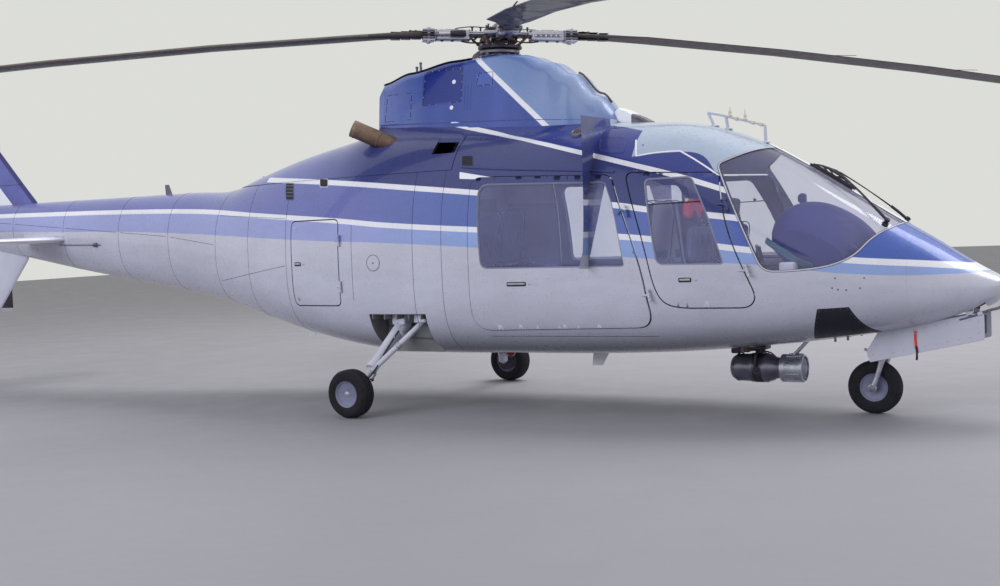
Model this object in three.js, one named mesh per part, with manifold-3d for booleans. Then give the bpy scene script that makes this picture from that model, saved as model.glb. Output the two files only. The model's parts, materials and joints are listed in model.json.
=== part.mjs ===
// Light twin-engined helicopter on a tricycle gear with wheels, standing on its tyres.
// Millimetres. +X is the nose, +Y the left side, +Z up. The lengths along X are measured
// from the main wheels' axle and the heights from the ground, and the last lines move the
// whole aircraft so that the middle of its outer box's underside is the origin.
import * as THREE from 'three';
import { mergeVertices } from 'three/addons/utils/BufferGeometryUtils.js';
import Module from 'manifold-3d';

const wasm = await Module();
wasm.setup();

// Driving dimensions
const SEAT_GAP = 0.3;            // between pieces that rest on each other
const DOOR_GAP = 8;              // round every door
const SKIN = 30;                 // cabin wall with its frames and lining
const COWL_SKIN = 14;
const BOOM_SKIN = 7;
const WHEELBASE = 3540;
const HALF_TRACK = 1150;
const TYRE_RADIUS = 180;
const ROTOR_RADIUS = 5500;
const ROTOR_HUB = { x: 720, z: 2850 };
const ROTOR_TILT = THREE.MathUtils.degToRad(2.5);
const ROTOR_AZIMUTH = 37.8;      // degrees from the nose to the first blade
const BLADE_CHORD = 335;
const BLADE_ROOT = 660;
const TAIL_ROTOR_HUB = { x: -5810, y: 400, z: 1700 };
const TAIL_ROTOR_RADIUS = 1015;

// Body stations: where the nose, body and boom pieces meet
const NOSE_JOINT = 3860;
const BOOM_JOINT = -1950;
const DECK_FRONT = 600;
const DECK_HEIGHT = 1800;
const FLOOR_HEIGHT = 610;
const CEILING_HEIGHT = 1880;
const BULKHEAD_FRONT = 350;
const BULKHEAD_BACK = 290;

// The outer skin's sections from the tail to the nose: station along X, half width, bottom,
// height where it is widest, top, and the roundness of the upper and lower halves.
const SECTIONS = [
  [-6250, 118, 1490, 1648, 1802, 2.0, 2.0],
  [-4870, 185, 1260, 1535, 1797, 2.0, 2.0],
  [-3890, 238, 1090, 1450, 1792, 2.0, 2.1],
  [-3300, 275, 1005, 1400, 1790, 2.1, 2.2],
  [-2600, 345, 895, 1340, 1790, 2.2, 2.3],
  [-1950, 450, 770, 1250, 1795, 2.3, 2.5],
  [-1600, 525, 675, 1195, 1890, 2.4, 2.6],
  [-1100, 620, 550, 1130, 2015, 2.5, 2.8],
  [-600, 685, 455, 1080, 2110, 2.5, 3.0],
  [-300, 706, 415, 1065, 2165, 2.5, 3.1],
  [0, 715, 396, 1060, 2160, 2.5, 3.2],
  [1000, 715, 394, 1060, 2110, 2.5, 3.2],
  [1960, 712, 408, 1050, 2070, 2.5, 3.2],
  [2350, 702, 425, 1030, 2032, 2.45, 3.1],
  [2600, 685, 442, 1000, 1962, 2.4, 3.0],
  [2860, 655, 464, 965, 1850, 2.3, 2.9],
  [3170, 602, 495, 930, 1668, 2.25, 2.7],
  [3470, 530, 532, 895, 1472, 2.2, 2.5],
  [3760, 440, 575, 868, 1285, 2.15, 2.3],
  [3980, 348, 622, 852, 1148, 2.1, 2.2],
  [4140, 265, 665, 848, 1040, 2.1, 2.1],
  [4260, 190, 708, 848, 968, 2.05, 2.05],
  [4360, 105, 775, 850, 908, 2.0, 2.0],
  [4400, 22, 832, 852, 872, 2.0, 2.0],
];

// Side-view outlines of the openings: X, height and corner radius of each corner
const COCKPIT_DOOR = [
  [2040, 1690, 60], [2683, 1655, 30], [2765, 1265, 700], [2955, 830, 70],
  [2905, 765, 60], [2370, 768, 160], [2272, 870, 160], [2190, 1250, 600],
];
const COCKPIT_WINDOW = [
  [2185, 1640, 40], [2512, 1640, 40], [2648, 1370, 300], [2752, 1052, 30],
  [2290, 1060, 50], [2235, 1380, 300],
];
const CABIN_DOOR = [
  [800, 1728, 80], [1930, 1680, 60], [2160, 1095, 700], [2236, 636, 130], [800, 610, 150],
];
const CABIN_WINDOW = [
  [868, 1672, 90], [1895, 1634, 30], [1978, 1450, 200], [2053, 1056, 25], [905, 1062, 60],
];
const BAGGAGE_DOOR = [
  [-930, 1470, 50], [-420, 1470, 50], [-420, 800, 50], [-930, 800, 50],
];
const WINDSHIELD = [
  [2669, 1715, 30], [2830, 1795, 60], [2940, 1830, 10], [3000, 1980, 5], [3920, 1420, 5],
  [3790, 1268, 10], [3832, 1165, 60], [3640, 1026, 150], [3430, 988, 200], [2990, 1008, 50],
  [2822, 1370, 900],
];

// Hinge lines of the right-hand doors: lowest and highest point of each axis, and how far
// behind it the door's own arm meets its skin
const HINGES = {
  cockpit: { low: [2975, -700, 830], high: [2700, -630, 1640], aft: 68 },
  cabin: { low: [2300, -738, 620], high: [2000, -712, 1690], aft: 68 },
  baggage: { low: [-400, -712, 800], high: [-400, -712, 1470], aft: 44 },
};
const HINGE = { radius: 10, sides: 6, moving: 40, fixed: 24, shares: [0.22, 0.76], sunk: 15 };

// Materials
const paint = (name, color) => {
  const material = new THREE.MeshStandardMaterial({ color, roughness: 0.3, metalness: 0.1 });
  material.name = name;
  return material;
};
const metal = (name, color, roughness) => {
  const material = new THREE.MeshStandardMaterial({ color, roughness, metalness: 0.9 });
  material.name = name;
  return material;
};
const BODY_PAINT = paint('body_paint', 0xc9cbd8);
const BLUE_PAINT = paint('blue_paint', 0x2b3f96);
const WHITE_PAINT = paint('white_paint', 0xe8e8ee);
const BLADE_PAINT = paint('blade_paint', 0x2e2b2c);
const BRIGHT_METAL = metal('bright_metal', 0xb9bcc4, 0.35);
const DARK_METAL = metal('dark_metal', 0x4c4a4d, 0.5);
const HOT_METAL = metal('hot_metal', 0x8a7460, 0.55);
const TYRE_RUBBER = new THREE.MeshStandardMaterial({ color: 0x1b1b1e, roughness: 0.9 });
const SEAT_FABRIC = new THREE.MeshStandardMaterial({ color: 0x4a4a63, roughness: 0.95 });
const PANEL_PLASTIC = new THREE.MeshStandardMaterial({ color: 0x1f1f24, roughness: 0.8 });
const CLEAR = new THREE.MeshStandardMaterial({
  color: 0xaab4cc, roughness: 0.05, transparent: true, opacity: 0.35,
});

// Solids and their joins and cuts
function solid(geometry) {
  const bare = geometry.clone();
  bare.deleteAttribute('normal');
  bare.deleteAttribute('uv');
  const merged = mergeVertices(bare, 1e-3);
  const corners = merged.index.array;
  const faces = [];
  for (let i = 0; i < corners.length; i += 3) {
    const [a, b, c] = [corners[i], corners[i + 1], corners[i + 2]];
    if (a !== b && b !== c && c !== a) faces.push(a, b, c);
  }
  return new wasm.Manifold(new wasm.Mesh({
    numProp: 3,
    vertProperties: new Float32Array(merged.attributes.position.array),
    triVerts: new Uint32Array(faces),
  }));
}

function geometryOf(shape) {
  const mesh = shape.getMesh();
  const geometry = new THREE.BufferGeometry();
  const places = new THREE.BufferAttribute(new Float32Array(mesh.vertProperties), 3);
  geometry.setAttribute('position', places);
  geometry.setIndex(Array.from(mesh.triVerts));
  geometry.computeVertexNormals();
  return geometry;
}

const joined = (...shapes) => shapes.reduce((all, next) => all.add(next));
const cut = (shape, ...tools) => tools.reduce((rest, tool) => rest.subtract(tool), shape);

function block(x0, x1, y0, y1, z0, z1) {
  const box = new THREE.BoxGeometry(x1 - x0, y1 - y0, z1 - z0);
  return solid(box.translate((x0 + x1) / 2, (y0 + y1) / 2, (z0 + z1) / 2));
}

function rod(from, to, radius, sides = 8, endRadius = radius) {
  const start = new THREE.Vector3(...from);
  const end = new THREE.Vector3(...to);
  const along = end.clone().sub(start);
  const cylinder = new THREE.CylinderGeometry(endRadius, radius, along.length(), sides);
  const turn = new THREE.Quaternion();
  turn.setFromUnitVectors(new THREE.Vector3(0, 1, 0), along.clone().normalize());
  cylinder.applyQuaternion(turn);
  const middle = start.add(end).multiplyScalar(0.5);
  return solid(cylinder.translate(middle.x, middle.y, middle.z));
}

function mirrored(shape) {
  const geometry = geometryOf(shape);
  geometry.scale(1, -1, 1);
  const corners = geometry.index.array;
  for (let i = 0; i < corners.length; i += 3) {
    [corners[i], corners[i + 1]] = [corners[i + 1], corners[i]];
  }
  return solid(geometry);
}
const onSide = (shape, side) => (side < 0 ? shape : mirrored(shape));

// A closed skin over rings of points, turned so that its faces point out
function closedLoft(rings) {
  const count = rings[0].length;
  const places = rings.flat().flatMap((point) => point.toArray());
  const faces = [];
  for (let i = 0; i + 1 < rings.length; i += 1) {
    for (let k = 0; k < count; k += 1) {
      const next = (k + 1) % count;
      const [a, b] = [i * count + k, i * count + next];
      const [c, d] = [a + count, b + count];
      faces.push(a, c, b, b, c, d);
    }
  }
  for (const [ring, flip] of [[0, false], [rings.length - 1, true]]) {
    const centre = new THREE.Vector3();
    rings[ring].forEach((point) => centre.addScaledVector(point, 1 / count));
    const hub = places.length / 3;
    places.push(...centre.toArray());
    for (let k = 0; k < count; k += 1) {
      const edge = [ring * count + k, ring * count + ((k + 1) % count)];
      if (flip) edge.reverse();
      faces.push(hub, ...edge);
    }
  }
  const at = (index) => new THREE.Vector3().fromArray(places, index * 3);
  let volume = 0;
  for (let i = 0; i < faces.length; i += 3) {
    volume += at(faces[i]).dot(at(faces[i + 1]).cross(at(faces[i + 2])));
  }
  if (volume < 0) faces.reverse();
  const geometry = new THREE.BufferGeometry();
  geometry.setAttribute('position', new THREE.Float32BufferAttribute(places, 3));
  geometry.setIndex(faces);
  return solid(geometry);
}

// The skin's section values at a station: a smooth curve through each column of SECTIONS
function slopeAt(column, i) {
  const last = SECTIONS.length - 1;
  const rise = (j) => (SECTIONS[j + 1][column] - SECTIONS[j][column])
    / (SECTIONS[j + 1][0] - SECTIONS[j][0]);
  if (i === 0) return rise(0);
  if (i === last) return rise(last - 1);
  const [before, after] = [rise(i - 1), rise(i)];
  if (before * after <= 0) return 0;
  const left = SECTIONS[i][0] - SECTIONS[i - 1][0];
  const right = SECTIONS[i + 1][0] - SECTIONS[i][0];
  return (before * right + after * left) / (left + right);
}

function sectionAt(x) {
  let i = SECTIONS.findIndex((row) => row[0] > x) - 1;
  if (i < 0) i = x < SECTIONS[0][0] ? 0 : SECTIONS.length - 2;
  const [from, to] = [SECTIONS[i], SECTIONS[i + 1]];
  const span = to[0] - from[0];
  const t = THREE.MathUtils.clamp((x - from[0]) / span, 0, 1);
  const value = (column) => (
    (2 * t ** 3 - 3 * t ** 2 + 1) * from[column]
    + (t ** 3 - 2 * t ** 2 + t) * span * slopeAt(column, i)
    + (3 * t ** 2 - 2 * t ** 3) * to[column]
    + (t ** 3 - t ** 2) * span * slopeAt(column, i + 1)
  );
  return {
    halfWidth: value(1), bottom: value(2), widest: value(3), top: value(4), upper: value(5), lower: value(6),
  };
}

function skinPoint(x, angle, inset) {
  const s = sectionAt(x);
  const [across, up] = [Math.cos(angle), Math.sin(angle)];
  const power = 2 / (up >= 0 ? s.upper : s.lower);
  const height = (up >= 0 ? s.top - s.widest : s.widest - s.bottom) - inset;
  return new THREE.Vector3(
    x,
    (s.halfWidth - inset) * Math.sign(across) * Math.abs(across) ** power,
    s.widest + height * Math.sign(up) * Math.abs(up) ** power,
  );
}

// The body between two stations, drawn in by inset, with about one ring every step
function bodyLoft(from, to, inset, step = 270, sides = 32) {
  const count = Math.ceil((to - from) / step);
  const rings = [];
  for (let i = 0; i <= count; i += 1) {
    const x = from + ((to - from) * i) / count;
    const ring = [];
    for (let k = 0; k < sides; k += 1) ring.push(skinPoint(x, (2 * Math.PI * k) / sides, inset));
    rings.push(ring);
  }
  return closedLoft(rings);
}

// Outlines in side view: grown outwards by a margin, rounded, and pushed through from y0 to y1
function grown(corners, by) {
  const count = corners.length;
  let area = 0;
  corners.forEach(([x, z], i) => {
    const [nextX, nextZ] = corners[(i + 1) % count];
    area += x * nextZ - nextX * z;
  });
  const turn = Math.sign(area);
  const edge = (i) => {
    const [x, z] = corners[(i + count) % count];
    const [nextX, nextZ] = corners[(i + 1 + count) % count];
    const length = Math.hypot(nextX - x, nextZ - z);
    const normal = [(turn * (nextZ - z)) / length, (-turn * (nextX - x)) / length];
    return { normal, reach: normal[0] * x + normal[1] * z + by };
  };
  return corners.map(([, , radius], i) => {
    const [a, b] = [edge(i - 1), edge(i)];
    const spread = a.normal[0] * b.normal[1] - a.normal[1] * b.normal[0];
    return [
      (a.reach * b.normal[1] - b.reach * a.normal[1]) / spread,
      (a.normal[0] * b.reach - b.normal[0] * a.reach) / spread,
      Math.max(radius + by, 4),
    ];
  });
}

function roundedShape(corners) {
  const shape = new THREE.Shape();
  const count = corners.length;
  corners.forEach(([x, z, radius], i) => {
    const corner = new THREE.Vector2(x, z);
    const before = new THREE.Vector2(...corners[(i + count - 1) % count]);
    const after = new THREE.Vector2(...corners[(i + 1) % count]);
    const towards = (other) => {
      const way = other.clone().sub(corner);
      const length = Math.min(radius, way.length() * 0.45);
      return corner.clone().add(way.setLength(length));
    };
    const [start, end] = [towards(before), towards(after)];
    if (i === 0) shape.moveTo(start.x, start.y);
    else shape.lineTo(start.x, start.y);
    shape.quadraticCurveTo(corner.x, corner.y, end.x, end.y);
  });
  return shape;
}

function prism(corners, y0, y1, by = 0) {
  const outline = roundedShape(by === 0 ? corners : grown(corners, by));
  const settings = { depth: y1 - y0, bevelEnabled: false, curveSegments: 3 };
  const geometry = new THREE.ExtrudeGeometry(outline, settings);
  return solid(geometry.rotateX(Math.PI / 2).translate(0, y1, 0));
}
// The right-hand side of the body is where Y is negative
const sidePrism = (corners, by = 0, inner = 200) => prism(corners, -900, -inner, by);

// Each hinge: a barrel on the door between two on the body, end to end on the door's axis
const skinHalfWidth = (x, z) => {
  const s = sectionAt(x);
  const [span, power] = z > s.widest ? [s.top - s.widest, s.upper] : [s.widest - s.bottom, s.lower];
  return s.halfWidth * (1 - Math.abs((z - s.widest) / span) ** power) ** (1 / power);
};
const onRightSkin = (x, z, sunk) => [x, sunk - skinHalfWidth(x, z), z];
function hingeBarrels({ low, high, aft }) {
  const start = new THREE.Vector3(...low);
  const way = new THREE.Vector3(...high).sub(start);
  const along = way.clone().normalize();
  const [fixed, moving] = [[], []];
  for (const share of HINGE.shares) {
    const middle = start.clone().addScaledVector(way, share);
    const place = (distance) => middle.clone().addScaledVector(along, distance);
    const barrel = (from, to) => rod(place(from).toArray(), place(to).toArray(), HINGE.radius, HINGE.sides);
    const half = HINGE.moving / 2;
    moving.push(barrel(-half, half));
    const rim = onRightSkin(middle.x - aft, middle.z, 3);
    moving.push(rod(middle.toArray(), rim, HINGE.radius - 2, HINGE.sides));
    for (const side of [-1, 1]) {
      const near = side * (half + SEAT_GAP);
      const far = side * (half + HINGE.fixed);
      fixed.push(barrel(near, far));
      const root = place((near + far) / 2);
      const seat = onRightSkin(root.x + 2, root.z, HINGE.sunk);
      fixed.push(rod(root.toArray(), seat, HINGE.radius - 2, HINGE.sides));
    }
  }
  return { fixed, moving };
}
const cockpitHinge = hingeBarrels(HINGES.cockpit);
const cabinHinge = hingeBarrels(HINGES.cabin);
const baggageHinge = hingeBarrels(HINGES.baggage);

// Rings for fins, blades and the tailplane: leading and trailing edge and thickness
const FOIL = [[0, 0], [0.04, 0.55], [0.15, 0.9], [0.35, 1], [0.65, 0.72], [0.97, 0.12]];
function foilRing(leading, trailing, thickness, across) {
  const chord = trailing.clone().sub(leading);
  const point = ([along, half], side) => leading.clone()
    .addScaledVector(chord, along)
    .addScaledVector(across, (side * half * thickness) / 2);
  const upper = FOIL.map((place) => point(place, 1));
  const lower = FOIL.slice(1).reverse().map((place) => point(place, -1));
  return [...upper, ...lower];
}

const pieces = new THREE.Group();
function add(name, shape, material, parent = pieces) {
  const mesh = new THREE.Mesh(geometryOf(shape), material);
  mesh.name = name;
  parent.add(mesh);
}

// Fuselage: one hollow shell with its floor, bulkheads and engine deck
const NOSE_WELL = block(3430, 4280, -125, 125, 300, 760);
const DECK_SPACE = block(BOOM_JOINT - 10, DECK_FRONT, -800, 800, DECK_HEIGHT, 2400);
const MAIN_WELL = block(-150, 380, -900, -440, 300, 730);
const ENGINE_BAY = { back: -800, front: 280, halfWidth: 460, floor: 1450 };
const engineBay = block(
  ENGINE_BAY.back, ENGINE_BAY.front, -ENGINE_BAY.halfWidth, ENGINE_BAY.halfWidth, ENGINE_BAY.floor, 2400,
);
const gearboxBay = block(580, 920, -200, 200, 1910, 2400);

function fuselageShell() {
  const outside = bodyLoft(BOOM_JOINT, NOSE_JOINT, 0);
  const cabin = cut(
    bodyLoft(BULKHEAD_FRONT, NOSE_JOINT - 30, SKIN, 360, 24),
    block(0, 5000, -900, 900, 0, FLOOR_HEIGHT),
    block(3350, 5000, -900, 900, 0, 850),
    block(0, 2250, -900, 900, CEILING_HEIGHT, 2500),
  );
  const baggage = cut(
    bodyLoft(BOOM_JOINT + 30, BULKHEAD_BACK, SKIN, 400, 24),
    block(-3000, 1000, -900, 900, 0, 780),
    block(-3000, 1000, -900, 900, DECK_HEIGHT - SKIN, 2500),
    block(ENGINE_BAY.back - SKIN, 1000, -900, 900, ENGINE_BAY.floor - SKIN, 2500),
  );
  const sideCuts = [
    sidePrism(COCKPIT_DOOR, DOOR_GAP),
    sidePrism(CABIN_DOOR, DOOR_GAP),
    prism(WINDSHIELD, -900, -22),
    MAIN_WELL,
  ];
  const shell = cut(
    outside, cabin, baggage, DECK_SPACE, NOSE_WELL, engineBay, gearboxBay,
    ...sideCuts, ...sideCuts.map(mirrored),
    sidePrism(BAGGAGE_DOOR, DOOR_GAP, 400),
  );
  const pairs = [...cockpitHinge.fixed, ...cabinHinge.fixed];
  return joined(shell, ...pairs, ...pairs.map(mirrored), ...baggageHinge.fixed);
}
add('fuselage_shell', fuselageShell(), BODY_PAINT);
add('nose_cone', cut(bodyLoft(NOSE_JOINT + SEAT_GAP, 4400, 0, 68, 32), NOSE_WELL), BODY_PAINT);

// Doors: a wide outer skin over a smaller inner frame, so that the rims pass the jambs
const DOOR_OUTER = 12;
const DOOR_DEPTH = 34;
const RIM_STEP = 14;
const DOOR_STEP = 270;
function doorPanel(outline, from, to, proud, hinge, window) {
  const face = bodyLoft(from, to, -proud, DOOR_STEP);
  const outer = cut(face, bodyLoft(from - 50, to + 50, DOOR_OUTER, DOOR_STEP));
  const inner = cut(
    bodyLoft(from, to, DOOR_OUTER - 4, DOOR_STEP),
    bodyLoft(from - 50, to + 50, DOOR_DEPTH, DOOR_STEP),
  );
  const panel = joined(
    outer.intersect(sidePrism(outline)),
    inner.intersect(sidePrism(outline, -RIM_STEP)),
    ...hinge.moving,
  );
  return window ? cut(panel, sidePrism(window)) : panel;
}
function doorGlass(window, from, to) {
  const pane = cut(bodyLoft(from, to, 2, DOOR_STEP), bodyLoft(from - 50, to + 50, 9, DOOR_STEP));
  return pane.intersect(sidePrism(window, -SEAT_GAP));
}
const cockpitDoor = doorPanel(COCKPIT_DOOR, 1950, 3050, 3, cockpitHinge, COCKPIT_WINDOW);
const cockpitGlass = doorGlass(COCKPIT_WINDOW, 2150, 2800);
const cabinDoor = doorPanel(CABIN_DOOR, 720, 2320, 10, cabinHinge, CABIN_WINDOW);
const cabinGlass = doorGlass(CABIN_WINDOW, 800, 2120);
const windshieldPane = cut(
  bodyLoft(2600, NOSE_JOINT, 3, 210), bodyLoft(2550, NOSE_JOINT + 50, 11, 340, 24),
).intersect(prism(WINDSHIELD, -900, -22 - SEAT_GAP, -SEAT_GAP));

for (const [name, side] of [['right', -1], ['left', 1]]) {
  add(`cockpit_door_${name}`, onSide(cockpitDoor, side), BODY_PAINT);
  add(`cockpit_door_glass_${name}`, onSide(cockpitGlass, side), CLEAR);
  add(`cabin_door_${name}`, onSide(cabinDoor, side), BODY_PAINT);
  add(`cabin_door_glass_${name}`, onSide(cabinGlass, side), CLEAR);
  add(`windshield_${name}`, onSide(windshieldPane, side), CLEAR);
}
const baggageDoor = doorPanel(BAGGAGE_DOOR, -1000, -350, 2, baggageHinge, null);
add('baggage_door_right', baggageDoor, BODY_PAINT);

// Engine cowl over the deck, and the fairing round the mast
const PYLON_FLOOR = 1990;
// Fairing profile: station along X, height of its top edge, half width at base and at top
const PYLON = [
  [-270, 2470, 300, 250], [-255, 2535, 305, 225], [0, 2600, 325, 215], [400, 2655, 335, 205],
  [900, 2672, 335, 200], [1150, 2668, 330, 195], [1420, 2590, 318, 190], [1600, 2440, 300, 180],
  [1760, 2280, 265, 160], [1900, 2130, 200, 120],
];
function pylonRing([x, top, base, crown], inset) {
  const floor = PYLON_FLOOR;
  const round = 60;
  const half = base - inset;
  const upper = crown - inset;
  const head = top - inset;
  const side = [
    [half, floor], [upper + (half - upper) * 0.15, head - round], [upper - 18, head - 18], [upper - round, head],
  ];
  const left = side.map(([y, z]) => new THREE.Vector3(x, y, z));
  const right = side.slice().reverse().map(([y, z]) => new THREE.Vector3(x, -y, z));
  return [...left, ...right];
}
function pylonLoft(inset) {
  const rows = inset === 0 ? PYLON : PYLON.slice(1, -2);
  return closedLoft(rows.map((row) => pylonRing(row, inset)));
}

const cowlInlet = block(380, 640, -900, -430, 1905, 2080);
const EXHAUST = { from: [-210, -300, 1860], to: [-440, -530, 2190], radius: 95, wall: 7 };
const exhaustPath = (share) => EXHAUST.from.map((start, i) => start + (EXHAUST.to[i] - start) * share);
const cowlExhaust = rod(exhaustPath(-0.2), exhaustPath(1.3), EXHAUST.radius + 5, 16);
function engineCowl() {
  const outside = bodyLoft(BOOM_JOINT, DECK_FRONT, -4, 240, 32);
  const inside = bodyLoft(BOOM_JOINT - 50, DECK_FRONT - COWL_SKIN, COWL_SKIN, 400, 24);
  const above = block(BOOM_JOINT, DECK_FRONT - SEAT_GAP, -800, 800, DECK_HEIGHT + SEAT_GAP, 2400);
  return cut(
    outside.intersect(above), inside,
    cowlInlet, mirrored(cowlInlet), cowlExhaust, mirrored(cowlExhaust),
    block(-200, 1200, -150, 150, 1700, 2400),
  );
}
add('engine_cowl', engineCowl(), BODY_PAINT);

const cowlOutline = bodyLoft(BOOM_JOINT, DECK_FRONT, -4 - SEAT_GAP, 240, 32);
const roofOutline = bodyLoft(BOOM_JOINT, NOSE_JOINT, -SEAT_GAP);
const mastHole = rod([ROTOR_HUB.x, 0, 2200], [ROTOR_HUB.x, 0, 2800], 165, 24);
add('mast_fairing', cut(pylonLoft(0), pylonLoft(22), cowlOutline, roofOutline, mastHole), BLUE_PAINT);

// Engines and main gearbox: plain blocks on the deck, joined by their drive shafts
const tilted = (shape) => solid(
  geometryOf(shape).rotateY(ROTOR_TILT).translate(ROTOR_HUB.x, 0, ROTOR_HUB.z),
);
const MAST_FOOT = -405;
const gearbox = joined(
  block(610, 870, -170, 170, 1910 + SEAT_GAP, 2390),
  tilted(rod([0, 0, -500], [0, 0, MAST_FOOT - SEAT_GAP], 130, 18)),
);
const ENGINE_TOP = 1895;
const engineSide = joined(
  block(-700, 250, -445, -25, ENGINE_BAY.floor + SEAT_GAP, ENGINE_TOP),
  rod([200, -200, 1850], [650, -80, 2010], 45, 10),
);
add('engines_and_gearbox', joined(engineSide, mirrored(engineSide), gearbox), DARK_METAL);

function exhaust() {
  const { radius, wall } = EXHAUST;
  const pipe = cut(
    rod(exhaustPath(-0.2), exhaustPath(1), radius, 20), rod(exhaustPath(-0.3), exhaustPath(1.1), radius - wall, 20),
  );
  return cut(pipe, block(-900, 200, -800, 0, 1500, ENGINE_TOP + SEAT_GAP));
}
add('exhaust_right', exhaust(), HOT_METAL);
add('exhaust_left', mirrored(exhaust()), HOT_METAL);

// Tail boom, tailplane with its spar through the boom, and the two fins
const TAILPLANE = { z: 1420, leading: -4090, trailing: -4680, tipSweep: 60, halfSpan: 1440 };
const SIDEWAYS = new THREE.Vector3(0, 1, 0);
const UPWARDS = new THREE.Vector3(0, 0, 1);
function tailplane(extra) {
  const { z, leading, trailing, tipSweep, halfSpan } = TAILPLANE;
  const ring = (y, sweep, depth) => foilRing(
    new THREE.Vector3(leading - sweep + extra, y, z),
    new THREE.Vector3(trailing - extra, y, z),
    depth + 2 * extra,
    UPWARDS,
  );
  return closedLoft([
    ring(-halfSpan, tipSweep, 36), ring(-250, 0, 66), ring(250, 0, 66), ring(halfSpan, tipSweep, 36),
  ]);
}
function tailBoom() {
  const tube = cut(
    bodyLoft(SECTIONS[0][0], BOOM_JOINT - SEAT_GAP, 0, 480, 28),
    bodyLoft(SECTIONS[0][0] + 20, BOOM_JOINT + 50, BOOM_SKIN, 800, 16),
  );
  return cut(tube, tailplane(1));
}
add('tail_boom', tailBoom(), BODY_PAINT);
add('tailplane', tailplane(0), WHITE_PAINT);

const boomOutline = bodyLoft(SECTIONS[0][0], BOOM_JOINT - SEAT_GAP, -SEAT_GAP, 480, 28);
// Fin sections: leading edge, trailing edge and height at each level, and thickness
const UPPER_FIN = [
  [-4690, -6250, 1780, 70], [-4870, -6310, 1960, 80], [-6055, -6615, 3200, 46], [-6120, -6600, 3255, 24],
];
const LOWER_FIN = [
  [-4780, -6215, 1500, 70], [-4900, -6170, 1232, 78], [-5450, -6000, 650, 50], [-5520, -5960, 600, 26],
];
const fin = (levels) => closedLoft(levels.map(([leading, trailing, z, thickness]) => foilRing(
  new THREE.Vector3(leading, 0, z), new THREE.Vector3(trailing, 0, z), thickness, SIDEWAYS,
)));
const behindBoom = block(-6700, SECTIONS[0][0] - SEAT_GAP, -200, 200, 1400, 1900);
add('upper_fin', cut(fin(UPPER_FIN), boomOutline, behindBoom), BLUE_PAINT);
add('lower_fin', cut(fin(LOWER_FIN), boomOutline), BODY_PAINT);

// Tail rotor on the left side of the boom
const tail = TAIL_ROTOR_HUB;
const tailGearbox = joined(
  rod([tail.x, 60, tail.z], [tail.x, 250, tail.z], 95, 20, 70),
  rod([tail.x, 240, tail.z], [tail.x, 327 - SEAT_GAP, tail.z], 42, 16),
);
add('tail_gearbox', cut(tailGearbox, boomOutline), DARK_METAL);
const tailHub = joined(
  rod([tail.x, 327, tail.z], [tail.x, 440, tail.z], 48, 16),
  rod([tail.x, tail.y, tail.z - 190], [tail.x, tail.y, tail.z + 190], 30, 10),
);
const tailBlade = (way) => {
  const ring = (reach, chord, depth) => {
    const z = tail.z + way * reach;
    return foilRing(
      new THREE.Vector3(tail.x + (way * chord) / 3, tail.y, z),
      new THREE.Vector3(tail.x - (way * 2 * chord) / 3, tail.y, z),
      depth,
      SIDEWAYS,
    );
  };
  return closedLoft([
    ring(150, 90, 44), ring(250, 200, 30), ring(TAIL_ROTOR_RADIUS - 40, 200, 24), ring(TAIL_ROTOR_RADIUS, 150, 14),
  ]);
};
add('tail_rotor', joined(tailHub, tailBlade(1), tailBlade(-1)), BLADE_PAINT);

// Main rotor, built flat about its hub's centre and then tilted forward
const rotor = new THREE.Group();
rotor.position.set(ROTOR_HUB.x, 0, ROTOR_HUB.z);
rotor.rotation.y = ROTOR_TILT;
pieces.add(rotor);
const turnedRotor = new THREE.Group();
turnedRotor.rotation.z = THREE.MathUtils.degToRad(ROTOR_AZIMUTH);
rotor.add(turnedRotor);

const SWASHPLATE = -120;
function rotorArm() {
  return joined(
    block(90, 330, -62, 62, -22, 22),
    rod([300, 0, 0], [600, 0, -6], 52, 8, 40),
    block(585, BLADE_ROOT - SEAT_GAP, -75, 75, -36, 14),
    rod([330, 95, 0], [580, 95, -6], 24),
    block(330, 370, 0, 110, -14, 14),
    block(545, 585, 0, 110, -18, 12),
    block(240, 280, -150, -40, -16, 10),
    rod([165, -100, SWASHPLATE + 15], [258, -135, 5], 11, 8),
  );
}
function turned(shape, degrees) {
  return solid(geometryOf(shape).rotateZ(THREE.MathUtils.degToRad(degrees)));
}
const arms = [0, 90, 180, 270].map((degrees) => turned(rotorArm(), degrees));
const hubCentre = joined(
  rod([0, 0, MAST_FOOT], [0, 0, 20], 52, 20),
  rod([0, 0, -55], [0, 0, 48], 120, 24),
  rod([0, 0, 44], [0, 0, 80], 70, 20, 40),
  cut(rod([0, 0, SWASHPLATE], [0, 0, SWASHPLATE + 26], 210, 24), rod([0, 0, -400], [0, 0, 0], 130, 20)),
);
const plateArms = [45, 225].map((degrees) => turned(block(40, 150, -18, 18, SWASHPLATE + 4, SWASHPLATE + 22), degrees));
add('rotor_hub', joined(hubCentre, ...arms, ...plateArms), BRIGHT_METAL, turnedRotor);
const fixedPlate = cut(
  joined(
    rod([0, 0, SWASHPLATE - 36], [0, 0, SWASHPLATE - 8], 190, 24),
    rod([0, 0, MAST_FOOT], [0, 0, SWASHPLATE - 20], 120, 18),
  ),
  rod([0, 0, -600], [0, 0, 0], 60, 18),
);
add('swashplate', fixedPlate, DARK_METAL, rotor);

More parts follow.
